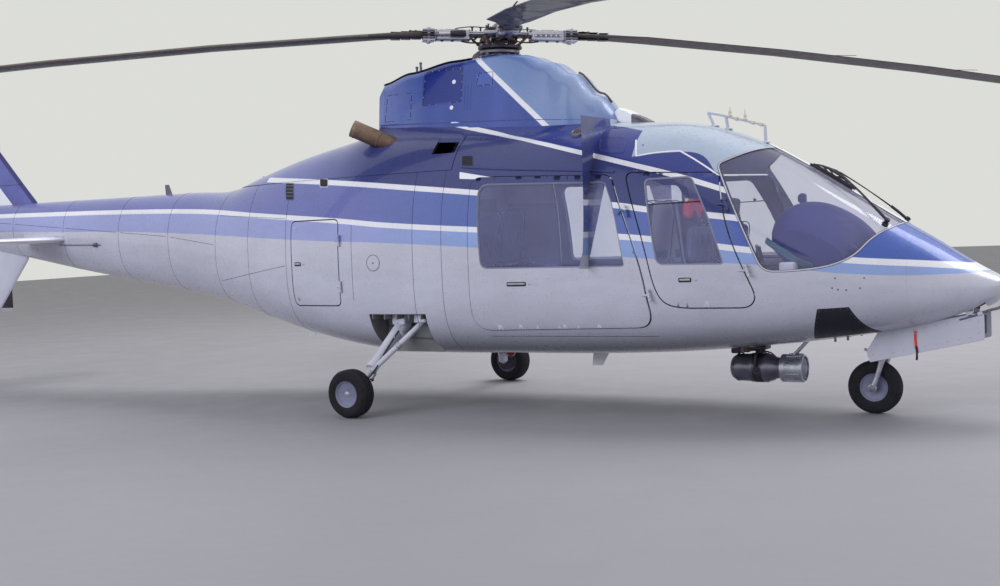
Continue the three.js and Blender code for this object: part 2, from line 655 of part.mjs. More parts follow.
// Blade sections: distance from the hub, chord, thickness and droop
const BLADE_SECTIONS = [
  [BLADE_ROOT, 110, 60, 11], [860, 200, 50, 24], [1120, BLADE_CHORD, 44, 42], [2200, BLADE_CHORD, 42, 128],
  [3400, BLADE_CHORD, 40, 250], [4600, BLADE_CHORD, 36, 395], [5420, BLADE_CHORD, 30, 505],
  [ROTOR_RADIUS, 250, 14, 515],
];
function rotorBlade() {
  return closedLoft(BLADE_SECTIONS.map(([reach, chord, thickness, droop]) => foilRing(
    new THREE.Vector3(reach, chord * 0.3, -droop),
    new THREE.Vector3(reach, -chord * 0.7, -droop),
    thickness,
    UPWARDS,
  )));
}
[0, 90, 180, 270].forEach((degrees, i) => {
  add(`rotor_blade_${i + 1}`, turned(rotorBlade(), degrees), BLADE_PAINT, turnedRotor);
});

// Seats and instrument panel
const CREW_SEAT_Y = 330;
function seat(x, y0, y1, facing, floor) {
  const low = floor + SEAT_GAP;
  const along = (from, to) => (facing > 0 ? [x + from, x + to] : [x - to, x - from]);
  const back = [[0, 380], [110, 380], [40, 900], [-60, 900]].map(([forward, z]) => [
    x + facing * forward, floor + z, 15,
  ]);
  return joined(
    block(...along(60, 460), y0 + 90, y1 - 90, low, floor + 300),
    block(...along(0, 500), y0, y1, floor + 280, floor + 420),
    prism(back, y0, y1),
  );
}
for (const [name, side] of [['right', -1], ['left', 1]]) {
  const middle = side * CREW_SEAT_Y;
  add(`crew_seat_${name}`, seat(2400, middle - 225, middle + 225, 1, FLOOR_HEIGHT), SEAT_FABRIC);
}
add('cabin_seats_front', seat(2160, -560, 560, -1, FLOOR_HEIGHT), SEAT_FABRIC);
add('cabin_seats_rear', seat(470, -580, 580, 1, FLOOR_HEIGHT), SEAT_FABRIC);
const panelProfile = [[3180, 1010, 5], [3240, 1225, 30], [3430, 1240, 40], [3560, 1010, 20]];
const instrumentPanel = joined(
  prism(panelProfile, -400, 400),
  block(2960, 3340, -110, 110, FLOOR_HEIGHT + SEAT_GAP, 1060),
);
add('instrument_panel', instrumentPanel, PANEL_PLASTIC);

// Wheels: a tyre and its hub turned in one profile about the axle
function wheel(radius, halfWidth, rim, bore) {
  const shoulder = halfWidth * 0.72;
  const profile = [
    [bore, -halfWidth * 0.55], [rim * 0.8, -halfWidth * 0.5], [rim, -halfWidth * 0.75], [radius * 0.8, -halfWidth],
    [radius * 0.94, -shoulder], [radius, -halfWidth * 0.3], [radius, halfWidth * 0.3], [radius * 0.94, shoulder],
    [radius * 0.8, halfWidth], [rim, halfWidth * 0.75], [rim * 0.8, halfWidth * 0.5], [bore, halfWidth * 0.55],
  ].map(([r, y]) => new THREE.Vector2(r, y));
  profile.push(profile[0].clone());
  return new THREE.LatheGeometry(profile, 22);
}
function addWheel(name, x, y, radius, halfWidth, rim, bore) {
  const shape = wheel(radius, halfWidth, rim, bore).translate(x, y, radius);
  add(name, solid(shape), TYRE_RUBBER);
}

// Main legs: a strut out of each well, with its brace and axle
const AXLE_RADIUS = 22;
const mainLeg = joined(
  rod([60, -500, 650], [60, -620, 560], 55, 14),
  rod([60, -560, 640], [10, -1035, 240], 42, 14, 36),
  rod([10, -1010, 262], [0, -1035, TYRE_RADIUS], 40, 12),
  rod([0, -1030, TYRE_RADIUS], [0, -1195, TYRE_RADIUS], AXLE_RADIUS, 16),
  rod([300, -560, 690], [25, -960, 300], 22, 10),
  block(230, 340, -640, -480, 660, 730 - SEAT_GAP),
  block(0, 120, -600, -460, 640, 730 - SEAT_GAP),
  block(0, 320, -560, -500, 690, 730 - SEAT_GAP),
);
add('main_gear_leg_right', mainLeg, BODY_PAINT);
add('main_gear_leg_left', mirrored(mainLeg), BODY_PAINT);
const MAIN_TYRE = { halfWidth: 70, rim: 92 };
addWheel('main_wheel_right', 0, -HALF_TRACK, TYRE_RADIUS, MAIN_TYRE.halfWidth, MAIN_TYRE.rim, AXLE_RADIUS + SEAT_GAP);
addWheel('main_wheel_left', 0, HALF_TRACK, TYRE_RADIUS, MAIN_TYRE.halfWidth, MAIN_TYRE.rim, AXLE_RADIUS + SEAT_GAP);

// Nose gear: fixed leg, swivelling fork that trails, wheel and the two well doors
const SWIVEL_X = WHEELBASE + 85;
const noseLeg = joined(
  rod([SWIVEL_X, 0, 470], [SWIVEL_X, 0, 740], 38, 16),
  block(SWIVEL_X - 70, SWIVEL_X + 70, -124, 124, 690, 760 - SEAT_GAP),
  rod([SWIVEL_X + 20, 0, 560], [SWIVEL_X + 330, 0, 740], 22, 10),
  block(SWIVEL_X + 260, SWIVEL_X + 360, -60, 60, 700, 760 - SEAT_GAP),
);
add('nose_gear_leg', noseLeg, BRIGHT_METAL);
const FORK_ARM = 76;
const noseFork = joined(
  rod([SWIVEL_X, 0, 400], [SWIVEL_X, 0, 470 - SEAT_GAP], 44, 16),
  block(SWIVEL_X - 50, SWIVEL_X + 40, -FORK_ARM - 14, FORK_ARM + 14, 385, 420),
  ...[-1, 1].map((side) => joined(
    rod([SWIVEL_X, side * FORK_ARM, 400], [WHEELBASE, side * FORK_ARM, TYRE_RADIUS], 20, 10, 24),
  )),
  rod([WHEELBASE, -FORK_ARM - 24, TYRE_RADIUS], [WHEELBASE, FORK_ARM + 24, TYRE_RADIUS], AXLE_RADIUS, 16),
);
add('nose_gear_fork', noseFork, BRIGHT_METAL);
addWheel('nose_wheel', WHEELBASE, 0, TYRE_RADIUS, 48, 94, AXLE_RADIUS + SEAT_GAP);
const WELL_DOOR = { front: 4270, back: 3605, thickness: 12, hingeHeight: 34 };
const doorTop = (x) => 567 + (x - WELL_DOOR.back) * 0.184;
const wellDoor = [
  [WELL_DOOR.back, doorTop(WELL_DOOR.back), 15], [WELL_DOOR.front, doorTop(WELL_DOOR.front), 20],
  [WELL_DOOR.front, 512, 15], [3540, 357, 12], [3520, 432, 15],
];
for (const [name, side] of [['right', -1], ['left', 1]]) {
  const outer = 125 - SEAT_GAP;
  const inner = outer - WELL_DOOR.thickness;
  const [y0, y1] = side < 0 ? [-outer, -inner] : [inner, outer];
  const hinges = [3640, 4180].map((x) => (
    block(x - 20, x + 20, y0, y1, doorTop(x) - 10, doorTop(x) + WELL_DOOR.hingeHeight)
  ));
  add(`nose_gear_door_${name}`, joined(prism(wellDoor, y0, y1), ...hinges), BODY_PAINT);
}

// Search light under the cockpit
const LIGHT = { x: 2740, z: 295 };
const searchlight = joined(
  rod([LIGHT.x - 205, 0, LIGHT.z], [LIGHT.x - 165, 0, LIGHT.z], 78, 24, 96),
  rod([LIGHT.x - 165, 0, LIGHT.z], [LIGHT.x + 60, 0, LIGHT.z], 96, 24, 104),
  rod([LIGHT.x + 50, 0, LIGHT.z], [LIGHT.x + 160, 0, LIGHT.z], 100, 24, 80),
  rod([LIGHT.x + 150, 0, LIGHT.z], [LIGHT.x + 320, 0, LIGHT.z], 98, 24),
  rod([LIGHT.x + 240, 0, LIGHT.z + 80], [LIGHT.x + 345, 0, 485], 22, 8, 34),
  rod([LIGHT.x, 0, LIGHT.z + 80], [LIGHT.x, 0, 440], 24, 12),
  block(LIGHT.x - 60, LIGHT.x + 60, -60, 60, 425, 452 - SEAT_GAP),
);
const belly = bodyLoft(2300, 3200, -SEAT_GAP, 160, 40);
add('search_light', cut(searchlight, belly), DARK_METAL);

// The origin: the middle of the outer box, on the ground
const aircraft = new THREE.Group();
aircraft.add(pieces);
aircraft.updateMatrixWorld(true);
const outerBox = new THREE.Box3().setFromObject(aircraft, true);
const middle = outerBox.getCenter(new THREE.Vector3());
pieces.position.set(-middle.x, -middle.y, -outerBox.min.z);

export default aircraft;
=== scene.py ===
"""The looks of a light twin-engined helicopter: fine surfaces, paint and fittings round its solids.

Places are in millimetres from the main wheels' axle, as on the solids: +X the nose, +Y the left
side, +Z up from the ground. in_frame() turns them into metres in the frame.
"""
import json
import math

import bmesh
import bpy
import numpy as np
from mathutils import Matrix, Vector
from mathutils.geometry import delaunay_2d_cdt

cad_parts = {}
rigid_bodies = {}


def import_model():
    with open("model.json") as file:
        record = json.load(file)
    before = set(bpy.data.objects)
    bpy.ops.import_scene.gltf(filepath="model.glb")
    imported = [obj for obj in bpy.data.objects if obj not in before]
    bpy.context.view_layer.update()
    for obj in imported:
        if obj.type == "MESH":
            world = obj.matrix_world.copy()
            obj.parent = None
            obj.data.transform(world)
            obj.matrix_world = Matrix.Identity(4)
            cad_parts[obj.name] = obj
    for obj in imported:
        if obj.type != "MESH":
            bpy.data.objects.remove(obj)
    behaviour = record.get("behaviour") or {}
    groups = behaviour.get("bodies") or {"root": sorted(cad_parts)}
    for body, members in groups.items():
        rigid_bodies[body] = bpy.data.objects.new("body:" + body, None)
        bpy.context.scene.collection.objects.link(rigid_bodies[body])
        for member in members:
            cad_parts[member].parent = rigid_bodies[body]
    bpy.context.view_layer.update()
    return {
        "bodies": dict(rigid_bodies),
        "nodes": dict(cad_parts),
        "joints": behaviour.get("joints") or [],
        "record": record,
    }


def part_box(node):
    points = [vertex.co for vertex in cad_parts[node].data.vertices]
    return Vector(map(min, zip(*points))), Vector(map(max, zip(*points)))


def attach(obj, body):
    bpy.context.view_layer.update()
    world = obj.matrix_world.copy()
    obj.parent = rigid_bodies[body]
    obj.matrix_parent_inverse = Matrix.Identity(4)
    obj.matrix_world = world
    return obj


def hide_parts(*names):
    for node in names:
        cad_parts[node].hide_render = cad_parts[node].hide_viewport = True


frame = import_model()

# The frame: where the main wheels' axle lies in it
MM = 0.001
_wheel_low, _wheel_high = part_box("main_wheel_right")
AXLE = np.array([(_wheel_low.x + _wheel_high.x) / 2, 0.0, 0.0])


def in_frame(points):
    return np.asarray(points, float) * MM + AXLE


# The camera: where the photograph was taken from, in millimetres and degrees
CAMERA_PLACE = (5917, -8719, 1346)
CAMERA_YAW = 31.27
CAMERA_PITCH = -2.83
CAMERA_ROLL = -2.43
FOCAL_SHARE = 1.2998          # focal length over the image's width
SENSOR_WIDTH = 36.0


def make_camera():
    yaw, pitch, roll = (math.radians(v) for v in (CAMERA_YAW, CAMERA_PITCH, CAMERA_ROLL))
    ahead = Vector((-math.sin(yaw) * math.cos(pitch), math.cos(yaw) * math.cos(pitch), math.sin(pitch)))
    right = Vector((math.cos(yaw), math.sin(yaw), 0))
    up = right.cross(ahead)
    tilted_right = right * math.cos(roll) + up * math.sin(roll)
    tilted_up = up * math.cos(roll) - right * math.sin(roll)
    data = bpy.data.cameras.new("camera")
    data.sensor_width = SENSOR_WIDTH
    data.lens = SENSOR_WIDTH * FOCAL_SHARE
    data.clip_end = 200
    camera = bpy.data.objects.new("camera", data)
    bpy.context.scene.collection.objects.link(camera)
    turn = Matrix((tilted_right, tilted_up, -ahead)).transposed().to_4x4()
    camera.matrix_world = Matrix.Translation(Vector(in_frame(CAMERA_PLACE))) @ turn
    bpy.context.scene.camera = camera


make_camera()

# Main sizes, as on the solids
NOSE_JOINT = 3860
BOOM_JOINT = -1950
DECK_FRONT = 600
DECK_HEIGHT = 1800
FLOOR_HEIGHT = 610
CEILING_HEIGHT = 1880
BULKHEAD_FRONT = 350
BULKHEAD_BACK = 290
DOOR_GAP = 8
SKIN = 30
BESIDE = 900                  # well past either side of the body, for cutting
WHEELBASE = 3540
HALF_TRACK = 1150
TYRE_RADIUS = 180
SWIVEL_X = WHEELBASE + 85
ROTOR_HUB = (720, 0, 2850)
ROTOR_TILT = 2.5
ROTOR_AZIMUTH = 37.8
ROTOR_RADIUS = 5500
BLADE_CHORD = 335
BLADE_ROOT = 600
TAIL_HUB = (-5810, 400, 1700)
TAIL_ROTOR_RADIUS = 1015
SIDES = (("right", -1), ("left", 1))
UP = np.array([0, 0, 1.0])

# Skin sections from the tail to the nose: X, half width, bottom, widest, top, upper and lower power
SECTIONS = np.array([
    [-6250, 118, 1490, 1648, 1802, 2.0, 2.0],
    [-4870, 185, 1260, 1535, 1797, 2.0, 2.0],
    [-3890, 238, 1090, 1450, 1792, 2.0, 2.1],
    [-3300, 275, 1005, 1400, 1790, 2.1, 2.2],
    [-2600, 345, 895, 1340, 1790, 2.2, 2.3],
    [-1950, 450, 770, 1250, 1795, 2.3, 2.5],
    [-1600, 525, 675, 1195, 1890, 2.4, 2.6],
    [-1100, 620, 550, 1130, 2015, 2.5, 2.8],
    [-600, 685, 455, 1080, 2110, 2.5, 3.0],
    [-300, 706, 415, 1065, 2165, 2.5, 3.1],
    [0, 715, 396, 1060, 2160, 2.5, 3.2],
    [1000, 715, 394, 1060, 2110, 2.5, 3.2],
    [1960, 712, 408, 1050, 2070, 2.5, 3.2],
    [2350, 702, 425, 1030, 2032, 2.45, 3.1],
    [2600, 685, 442, 1000, 1962, 2.4, 3.0],
    [2860, 655, 464, 965, 1850, 2.3, 2.9],
    [3170, 602, 495, 930, 1668, 2.25, 2.7],
    [3470, 530, 532, 895, 1472, 2.2, 2.5],
    [3760, 440, 575, 868, 1285, 2.15, 2.3],
    [3980, 348, 622, 852, 1148, 2.1, 2.2],
    [4140, 265, 665, 848, 1040, 2.1, 2.1],
    [4260, 190, 708, 848, 968, 2.05, 2.05],
    [4360, 105, 775, 850, 908, 2.0, 2.0],
    [4400, 22, 832, 852, 872, 2.0, 2.0],
])

# Side-view outlines: X, height and corner radius of each corner
COCKPIT_DOOR = [
    (2040, 1690, 60), (2683, 1655, 30), (2765, 1265, 700), (2955, 830, 70),
    (2905, 765, 60), (2370, 768, 160), (2272, 870, 160), (2190, 1250, 600),
]
COCKPIT_WINDOW = [
    (2185, 1640, 40), (2512, 1640, 40), (2648, 1370, 300), (2752, 1052, 30),
    (2290, 1060, 50), (2235, 1380, 300),
]
CABIN_DOOR = [
    (800, 1728, 80), (1930, 1680, 60), (2160, 1095, 700), (2236, 636, 130), (800, 610, 150),
]
CABIN_WINDOW = [
    (868, 1672, 90), (1895, 1634, 30), (1978, 1450, 200), (2053, 1056, 25), (905, 1062, 60),
]
BAGGAGE_DOOR = [(-930, 1470, 50), (-420, 1470, 50), (-420, 800, 50), (-930, 800, 50)]
WINDSHIELD = [
    (2669, 1715, 30), (2830, 1795, 60), (2940, 1830, 10), (3000, 1980, 5), (3900, 1460, 5),
    (3775, 1277, 10), (3655, 1205, 90), (3555, 1078, 90), (3400, 1018, 200), (3180, 998, 300),
    (3005, 1002, 70), (2836, 1370, 900),
]


def _section_slopes():
    x = SECTIONS[:, 0]
    rise = np.diff(SECTIONS[:, 1:], axis=0) / np.diff(x)[:, None]
    slopes = np.empty_like(SECTIONS[:, 1:])
    slopes[0], slopes[-1] = rise[0], rise[-1]
    for i in range(1, len(x) - 1):
        left, right = x[i] - x[i - 1], x[i + 1] - x[i]
        mixed = (rise[i - 1] * right + rise[i] * left) / (left + right)
        slopes[i] = np.where(rise[i - 1] * rise[i] <= 0, 0.0, mixed)
    return slopes


SECTION_SLOPES = _section_slopes()


def table_curve(table, slopes, x):
    """Each column of a table at the stations x, on the curve through its rows that has the given slopes."""
    stations, rows = table[:, 0], table[:, 1:]
    i = np.clip(np.searchsorted(stations, x, side="right") - 1, 0, len(table) - 2)
    span = stations[i + 1] - stations[i]
    t = ((x - stations[i]) / span)[..., None]
    span = span[..., None]
    return (
        (2 * t ** 3 - 3 * t ** 2 + 1) * rows[i] + (t ** 3 - 2 * t ** 2 + t) * span * slopes[i]
        + (3 * t ** 2 - 2 * t ** 3) * rows[i + 1] + (t ** 3 - t ** 2) * span * slopes[i + 1]
    )


def section(x):
    """Half width, bottom, widest, top and the two powers at each station of x."""
    x = np.clip(np.asarray(x, float), SECTIONS[0, 0], SECTIONS[-1, 0])
    return np.moveaxis(table_curve(SECTIONS, SECTION_SLOPES, x), -1, 0)


def section_at(x):
    """The same six values at one station."""
    return section(np.array([float(x)]))[:, 0]


def skin_points(x, angle, inset=0.0):
    """Points on the skin at stations x and section angles, drawn in by inset."""
    half, bottom, widest, top, upper, lower = section(x)
    across, up = np.cos(angle), np.sin(angle)
    power = 2 / np.where(up >= 0, upper, lower)
    height = np.where(up >= 0, top - widest, widest - bottom) - inset
    y = (half - inset) * np.sign(across) * np.abs(across) ** power
    z = widest + height * np.sign(up) * np.abs(up) ** power
    return np.stack(np.broadcast_arrays(x, y, z), -1)


def skin_level(points, inset=0.0):
    """How far out each point lies: 1 is on the skin drawn in by inset."""
    x, y, z = points[..., 0], points[..., 1], points[..., 2]
    half, bottom, widest, top, upper, lower = section(x)
    above = z >= widest
    power = np.where(above, upper, lower)
    height = np.where(above, top - widest, widest - bottom) - inset
    return ((np.abs(y) / (half - inset)) ** power + (np.abs(z - widest) / height) ** power) ** (1 / power)


def skin_normals(points, inset=0.0):
    """Unit normals of the skin drawn in by inset, by half a millimetre's difference each way."""
    step = 0.5
    slopes = [
        skin_level(points + offset, inset) - skin_level(points - offset, inset)
        for offset in np.eye(3) * step
    ]
    normals = np.stack(slopes, -1)
    return normals / np.maximum(np.linalg.norm(normals, axis=-1, keepdims=True), 1e-12)


def skin_normal(point):
    return skin_normals(point[None])[0]


def side_points(x, z, out=0.0, side=-1):
    """Points on one side of the skin at stations x and heights z, moved outwards by out."""
    x, z = np.broadcast_arrays(np.asarray(x, float), np.asarray(z, float))
    half, bottom, widest, top, upper, lower = section(x)
    above = z >= widest
    power = np.where(above, upper, lower)
    height = np.where(above, top - widest, widest - bottom)
    share = np.clip(np.abs(z - widest) / height, 0, 0.9999)
    y = side * half * (1 - share ** power) ** (1 / power)
    points = np.stack([x, y, z], -1)
    return points + skin_normals(points) * np.asarray(out, float)[..., None]


def roof_point(x, y, out=0.0):
    """A point on the upper skin above a place in plan."""
    half, _, widest, top, upper, _ = section_at(x)
    height = widest + (top - widest) * max(0.0, 1 - (abs(y) / half) ** upper) ** (1 / upper)
    point = np.array([[x, y, height]], float)
    return (point + skin_normals(point) * out)[0]


# Outlines
def grown(corners, by):
    """The outline with every side moved outwards by that much."""
    count = len(corners)
    area = sum(
        corners[i][0] * corners[(i + 1) % count][1] - corners[(i + 1) % count][0] * corners[i][1]
        for i in range(count)
    )
    turn = math.copysign(1, area)

    def edge(i):
        (x, z), (next_x, next_z) = corners[i % count][:2], corners[(i + 1) % count][:2]
        length = math.hypot(next_x - x, next_z - z)
        normal = (turn * (next_z - z) / length, -turn * (next_x - x) / length)
        return normal, normal[0] * x + normal[1] * z + by

    result = []
    for i, (_, _, radius) in enumerate(corners):
        (a, reach_a), (b, reach_b) = edge(i - 1), edge(i)
        spread = a[0] * b[1] - a[1] * b[0]
        x = (reach_a * b[1] - reach_b * a[1]) / spread
        z = (a[0] * reach_b - b[0] * reach_a) / spread
        result.append((x, z, max(radius + by, 4)))
    return result


def rounded(corners, by=0.0, arc=10, spacing=None):
    """Points round an outline with rounded corners, grown by that much; their number doesn't depend on by."""
    def arcs(outline):
        count = len(outline)
        made = []
        for i, (x, z, radius) in enumerate(outline):
            corner = np.array([x, z], float)
            ends = []
            for other in (outline[i - 1], outline[(i + 1) % count]):
                way = np.array(other[:2], float) - corner
                length = np.linalg.norm(way)
                ends.append(corner + way * min(radius, length * 0.45) / length)
            t = np.linspace(0, 1, arc + 1)[:, None]
            made.append((1 - t) ** 2 * ends[0] + 2 * t * (1 - t) * corner + t ** 2 * ends[1])
        return np.vstack(made)

    base = arcs(corners)
    points = arcs(grown(corners, by)) if by else base
    if spacing is None:
        return points
    full = []
    lengths = np.linalg.norm(np.roll(base, -1, axis=0) - base, axis=1)
    for start, end, length in zip(points, np.roll(points, -1, axis=0), lengths):
        steps = max(1, int(math.ceil(length / spacing)))
        full.extend(start + (end - start) * k / steps for k in range(steps))
    return np.array(full)


def inside(points, loop):
    """Which 2-D points lie inside a closed loop."""
    x, z = points[:, 0][:, None], points[:, 1][:, None]
    x0, z0 = loop[:, 0], loop[:, 1]
    x1, z1 = np.roll(x0, -1), np.roll(z0, -1)
    crosses = (z0 > z) != (z1 > z)
    with np.errstate(divide="ignore", invalid="ignore"):
        at = x0 + (z - z0) * (x1 - x0) / (z1 - z0)
    return (np.sum(crosses & (x < at), axis=1) % 2) == 1


# Meshes
def smoothed(mesh, angle):
    """Shades a mesh smooth but for the edges that bend by more than an angle in degrees."""
    mesh.polygons.foreach_set("use_smooth", np.ones(len(mesh.polygons), bool))
    mesh.set_sharp_from_angle(angle=math.radians(angle))


def coordinates(mesh):
    """A mesh's vertices as they are stored."""
    places = np.zeros(len(mesh.vertices) * 3)
    mesh.vertices.foreach_get("co", places)
    return places.reshape(-1, 3)


def placed(made):
    """Puts an object into the scene."""
    bpy.context.scene.collection.objects.link(made)
    return made


def mesh_object(name, points, faces, materials, face_materials=None, smooth=35.0):
    """An object from points in millimetres. smooth is the angle over which an edge stays sharp."""
    mesh = bpy.data.meshes.new(name)
    mesh.from_pydata([tuple(p) for p in in_frame(points)], [], [tuple(map(int, f)) for f in faces])
    mesh.update()
    for material in materials if isinstance(materials, (list, tuple)) else [materials]:
        mesh.materials.append(material)
    if face_materials is not None:
        mesh.polygons.foreach_set("material_index", np.asarray(face_materials, np.int32))
    if smooth:
        smoothed(mesh, smooth)
    return placed(bpy.data.objects.new(name, mesh))


def piece(made, body, slot, *nodes):
    """Sets the body that a piece rides on and hides the nodes that it stands for. Its slot is not used."""
    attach(made, body)
    if nodes:
        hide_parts(*nodes)
    return made


class Shape:
    """Points and faces of several parts, each face with the number (kind) of its material."""

    def __init__(self):
        self.points, self.faces, self.kinds, self.count = [], [], [], 0

    def add(self, points, faces, kind=0):
        points = np.asarray(points, float).reshape(-1, 3)
        self.points.append(points)
        self.faces.extend([tuple(int(i) + self.count for i in face) for face in faces])
        self.kinds.extend([kind] * len(faces))
        self.count += len(points)
        return self

    def join(self, other, turn=None):
        """Adds another shape, moved by a 4x4 matrix in millimetres where one is given."""
        points = np.concatenate(other.points)
        self.points.append(points if turn is None else moved(points, turn))
        self.faces.extend([tuple(i + self.count for i in face) for face in other.faces])
        self.kinds.extend(other.kinds)
        self.count += len(points)
        return self

    def mirrored(self):
        """The same shape on the other side of the aircraft."""
        other = Shape()
        other.points = [p * (1, -1, 1) for p in self.points]
        other.faces = [tuple(reversed(f)) for f in self.faces]
        other.kinds = list(self.kinds)
        other.count = self.count
        return other

    def on_side(self, side):
        """The shape as it is on the right, and mirrored on the left."""
        return self if side < 0 else self.mirrored()

    def make(self, name, materials, smooth=35.0, outward_faces=True):
        made = mesh_object(name, np.concatenate(self.points), self.faces, materials, self.kinds, smooth)
        if outward_faces:
            face_out(made)
        return made

    def grid(self, rings, closed=True, caps=False, kind=0, looped=False):
        """Quads over rings of equal length, each ring closed on itself unless told otherwise."""
        rings = np.asarray(rings, float)
        rows, count = rings.shape[:2]
        faces = []
        for i in range(rows if looped else rows - 1):
            row, after = i * count, (i + 1) % rows * count
            for k in range(count if closed else count - 1):
                following = (k + 1) % count
                faces.append((row + k, row + following, after + following, after + k))
        if caps:
            faces += [tuple(range(count))[::-1], tuple(range((rows - 1) * count, rows * count))]
        return self.add(rings.reshape(-1, 3), faces, kind)

    def lathe(self, profile, start, along, sides=32, kind=0, closed=False):
        """A turned part: profile is (distance along the axis, radius) pairs."""
        along, first, second = basis(along)
        around = circle(sides, first, second)
        rings = [start + along * distance + around * max(radius, 0.01) for distance, radius in profile]
        if closed:
            rings.append(rings[0])
        return self.grid(rings, caps=not closed, kind=kind)

    def bar(self, start, end, radius, end_radius=None, sides=20, edge=None, kind=0):
        """A round bar between two points with softened ends."""
        start, end = np.asarray(start, float), np.asarray(end, float)
        length = np.linalg.norm(end - start)
        end_radius = radius if end_radius is None else end_radius
        edge = min(radius, end_radius, length / 2) * 0.18 if edge is None else edge
        profile = [(0, radius - edge), (edge, radius), (length - edge, end_radius),
                   (length, end_radius - edge)]
        return self.lathe(profile, start, end - start, sides, kind)

    def tube(self, points, radius, sides=12, kind=0, smooth=True):
        """A round tube along a curve through the given points; radius may be one value for each point."""
        line = path_points(points, smooth=smooth)
        radii = np.full(len(line), radius, float) if np.isscalar(radius) else np.interp(
            np.linspace(0, 1, len(line)), np.linspace(0, 1, len(radius)), radius)
        first = basis(line[1] - line[0])[1]
        rings = []
        for i, centre in enumerate(line):
            along = line[min(i + 1, len(line) - 1)] - line[max(i - 1, 0)]
            along = along / np.linalg.norm(along)
            first = first - along * np.dot(first, along)
            first /= np.linalg.norm(first)
            rings.append(centre + radii[i] * circle(sides, first, np.cross(along, first)))
        return self.grid(rings, caps=True, kind=kind)

    def closed_tube(self, points, radius, sides=8, kind=0):
        """A round tube along a flat closed loop."""
        points = np.asarray(points, float)
        along = np.roll(points, -1, 0) - np.roll(points, 1, 0)
        along /= np.linalg.norm(along, axis=1, keepdims=True)
        centre = points.mean(0)
        normal = np.cross(points[0] - centre, points[len(points) // 4] - centre)
        normal /= np.linalg.norm(normal)
        rings = [p + radius * circle(sides, a, normal) for p, a in zip(points, np.cross(along, normal))]
        return self.grid(rings, kind=kind, looped=True)

    def slab(self, x0, x1, y0, y1, z0, z1, edge=2.0, kind=0):
        """A block with softened edges."""
        edge = min(edge, (x1 - x0) / 2.01, (y1 - y0) / 2.01, (z1 - z0) / 2.01)
        low, high = np.array([x0, y0, z0], float), np.array([x1, y1, z1], float)
        points, index = [], {}
        for corner in np.ndindex(2, 2, 2):
            for axis in range(3):
                point = np.where(corner, high - edge, low + edge)
                point[axis] = high[axis] if corner[axis] else low[axis]
                index[corner, axis] = len(points)
                points.append(point)

        def at(axis, end, a, first, second, b):
            corner = [0, 0, 0]
            corner[axis], corner[a], corner[b] = end, first, second
            return tuple(corner)

        faces = []
        for axis in range(3):
            a, b = [k for k in range(3) if k != axis]
            for end in (0, 1):
                corners = [at(axis, end, a, *ends, b) for ends in ((0, 0), (1, 0), (1, 1), (0, 1))]
                faces.append(tuple(index[corner, axis] for corner in corners))
            for first, second in np.ndindex(2, 2):
                ends = [at(axis, end, a, first, second, b) for end in (0, 1)]
                faces.append((index[ends[0], a], index[ends[1], a], index[ends[1], b], index[ends[0], b]))
        for corner in np.ndindex(2, 2, 2):
            faces.append(tuple(index[corner, axis] for axis in range(3)))
        return self.add(points, faces, kind)

    def turned_slab(self, sizes, centre, angle, axis, edge=2.0, kind=0):
        """A softened block of the given full sizes, turned about an axis through its centre."""
        half = np.asarray(sizes, float) / 2
        block = Shape().slab(-half[0], half[0], -half[1], half[1], -half[2], half[2], edge, kind)
        turn = Matrix.Rotation(math.radians(angle), 4, axis)
        return self.join(block, Matrix.Translation(Vector(centre)) @ turn)

    def prism(self, loop, y0, y1, kind=0):
        """A side-view outline pushed through from y0 to y1."""
        return self.grid([upright(loop, y) for y in (y0, y1)], caps=True, kind=kind)

    def ribbon(self, path, width, height, normals=None, closed=False, sunk=1.0, kind=0):
        """A low strip along a path, on the skin unless its normals are given."""
        path = np.asarray(path, float)
        normals = skin_normals(path) if normals is None else np.broadcast_to(normals, path.shape)
        if closed:
            along = np.roll(path, -1, axis=0) - np.roll(path, 1, axis=0)
        else:
            along = np.gradient(path, axis=0)
        across = np.cross(normals, along)
        across /= np.maximum(np.linalg.norm(across, axis=1, keepdims=True), 1e-9)
        half, edge = width / 2, min(height * 0.6, width * 0.25)
        outline = [(-half, -sunk), (-half, height - edge), (-half + edge, height),
                   (half - edge, height), (half, height - edge), (half, -sunk)]
        rings = np.stack([path + across * u + normals * v for u, v in outline], 1)
        return self.grid(rings, caps=not closed, kind=kind, looped=closed)

    def belt(self, points, width, normals, kind=0):
        """A flat strap along a path, with its normals given at equal steps."""
        path = path_points(points, 14)
        at, given = np.linspace(0, 1, len(path)), np.linspace(0, 1, len(normals))
        normals = np.array([np.interp(at, given, np.array(normals)[:, k]) for k in range(3)]).T
        return self.ribbon(path, width, 2.2, normals=normals, kind=kind)

    def dots(self, points, normals=None, radius=3.2, height=0.9, kind=0, sides=8):
        """A row of low fastener heads, on the skin unless one normal for all of them is given."""
        points = np.asarray(points, float)
        normals = skin_normals(points) if normals is None else np.broadcast_to(normals, points.shape)
        for point, normal in zip(points, normals):
            profile = [(-0.4, radius), (height * 0.5, radius * 0.92), (height, radius * 0.5)]
            self.lathe(profile, point, normal, sides, kind)
        return self

    def bolt(self, place, along=(0, 0, 1), radius=8.0, height=7.0, kind=0, washer=True):
        """A hexagon head on a washer."""
        if washer:
            disc = [(0, radius * 1.45), (radius * 0.22, radius * 1.45), (radius * 0.3, radius * 1.3)]
            self.lathe(disc, place, along, 20, kind)
        return self.lathe([(0, radius), (height * 0.8, radius), (height, radius * 0.75)], place,
                          along, 6, kind)

    def screw(self, place, radius, height, kind):
        """A hexagon head flat on the skin."""
        return self.bolt(place, skin_normal(place), radius, height, kind, washer=False)

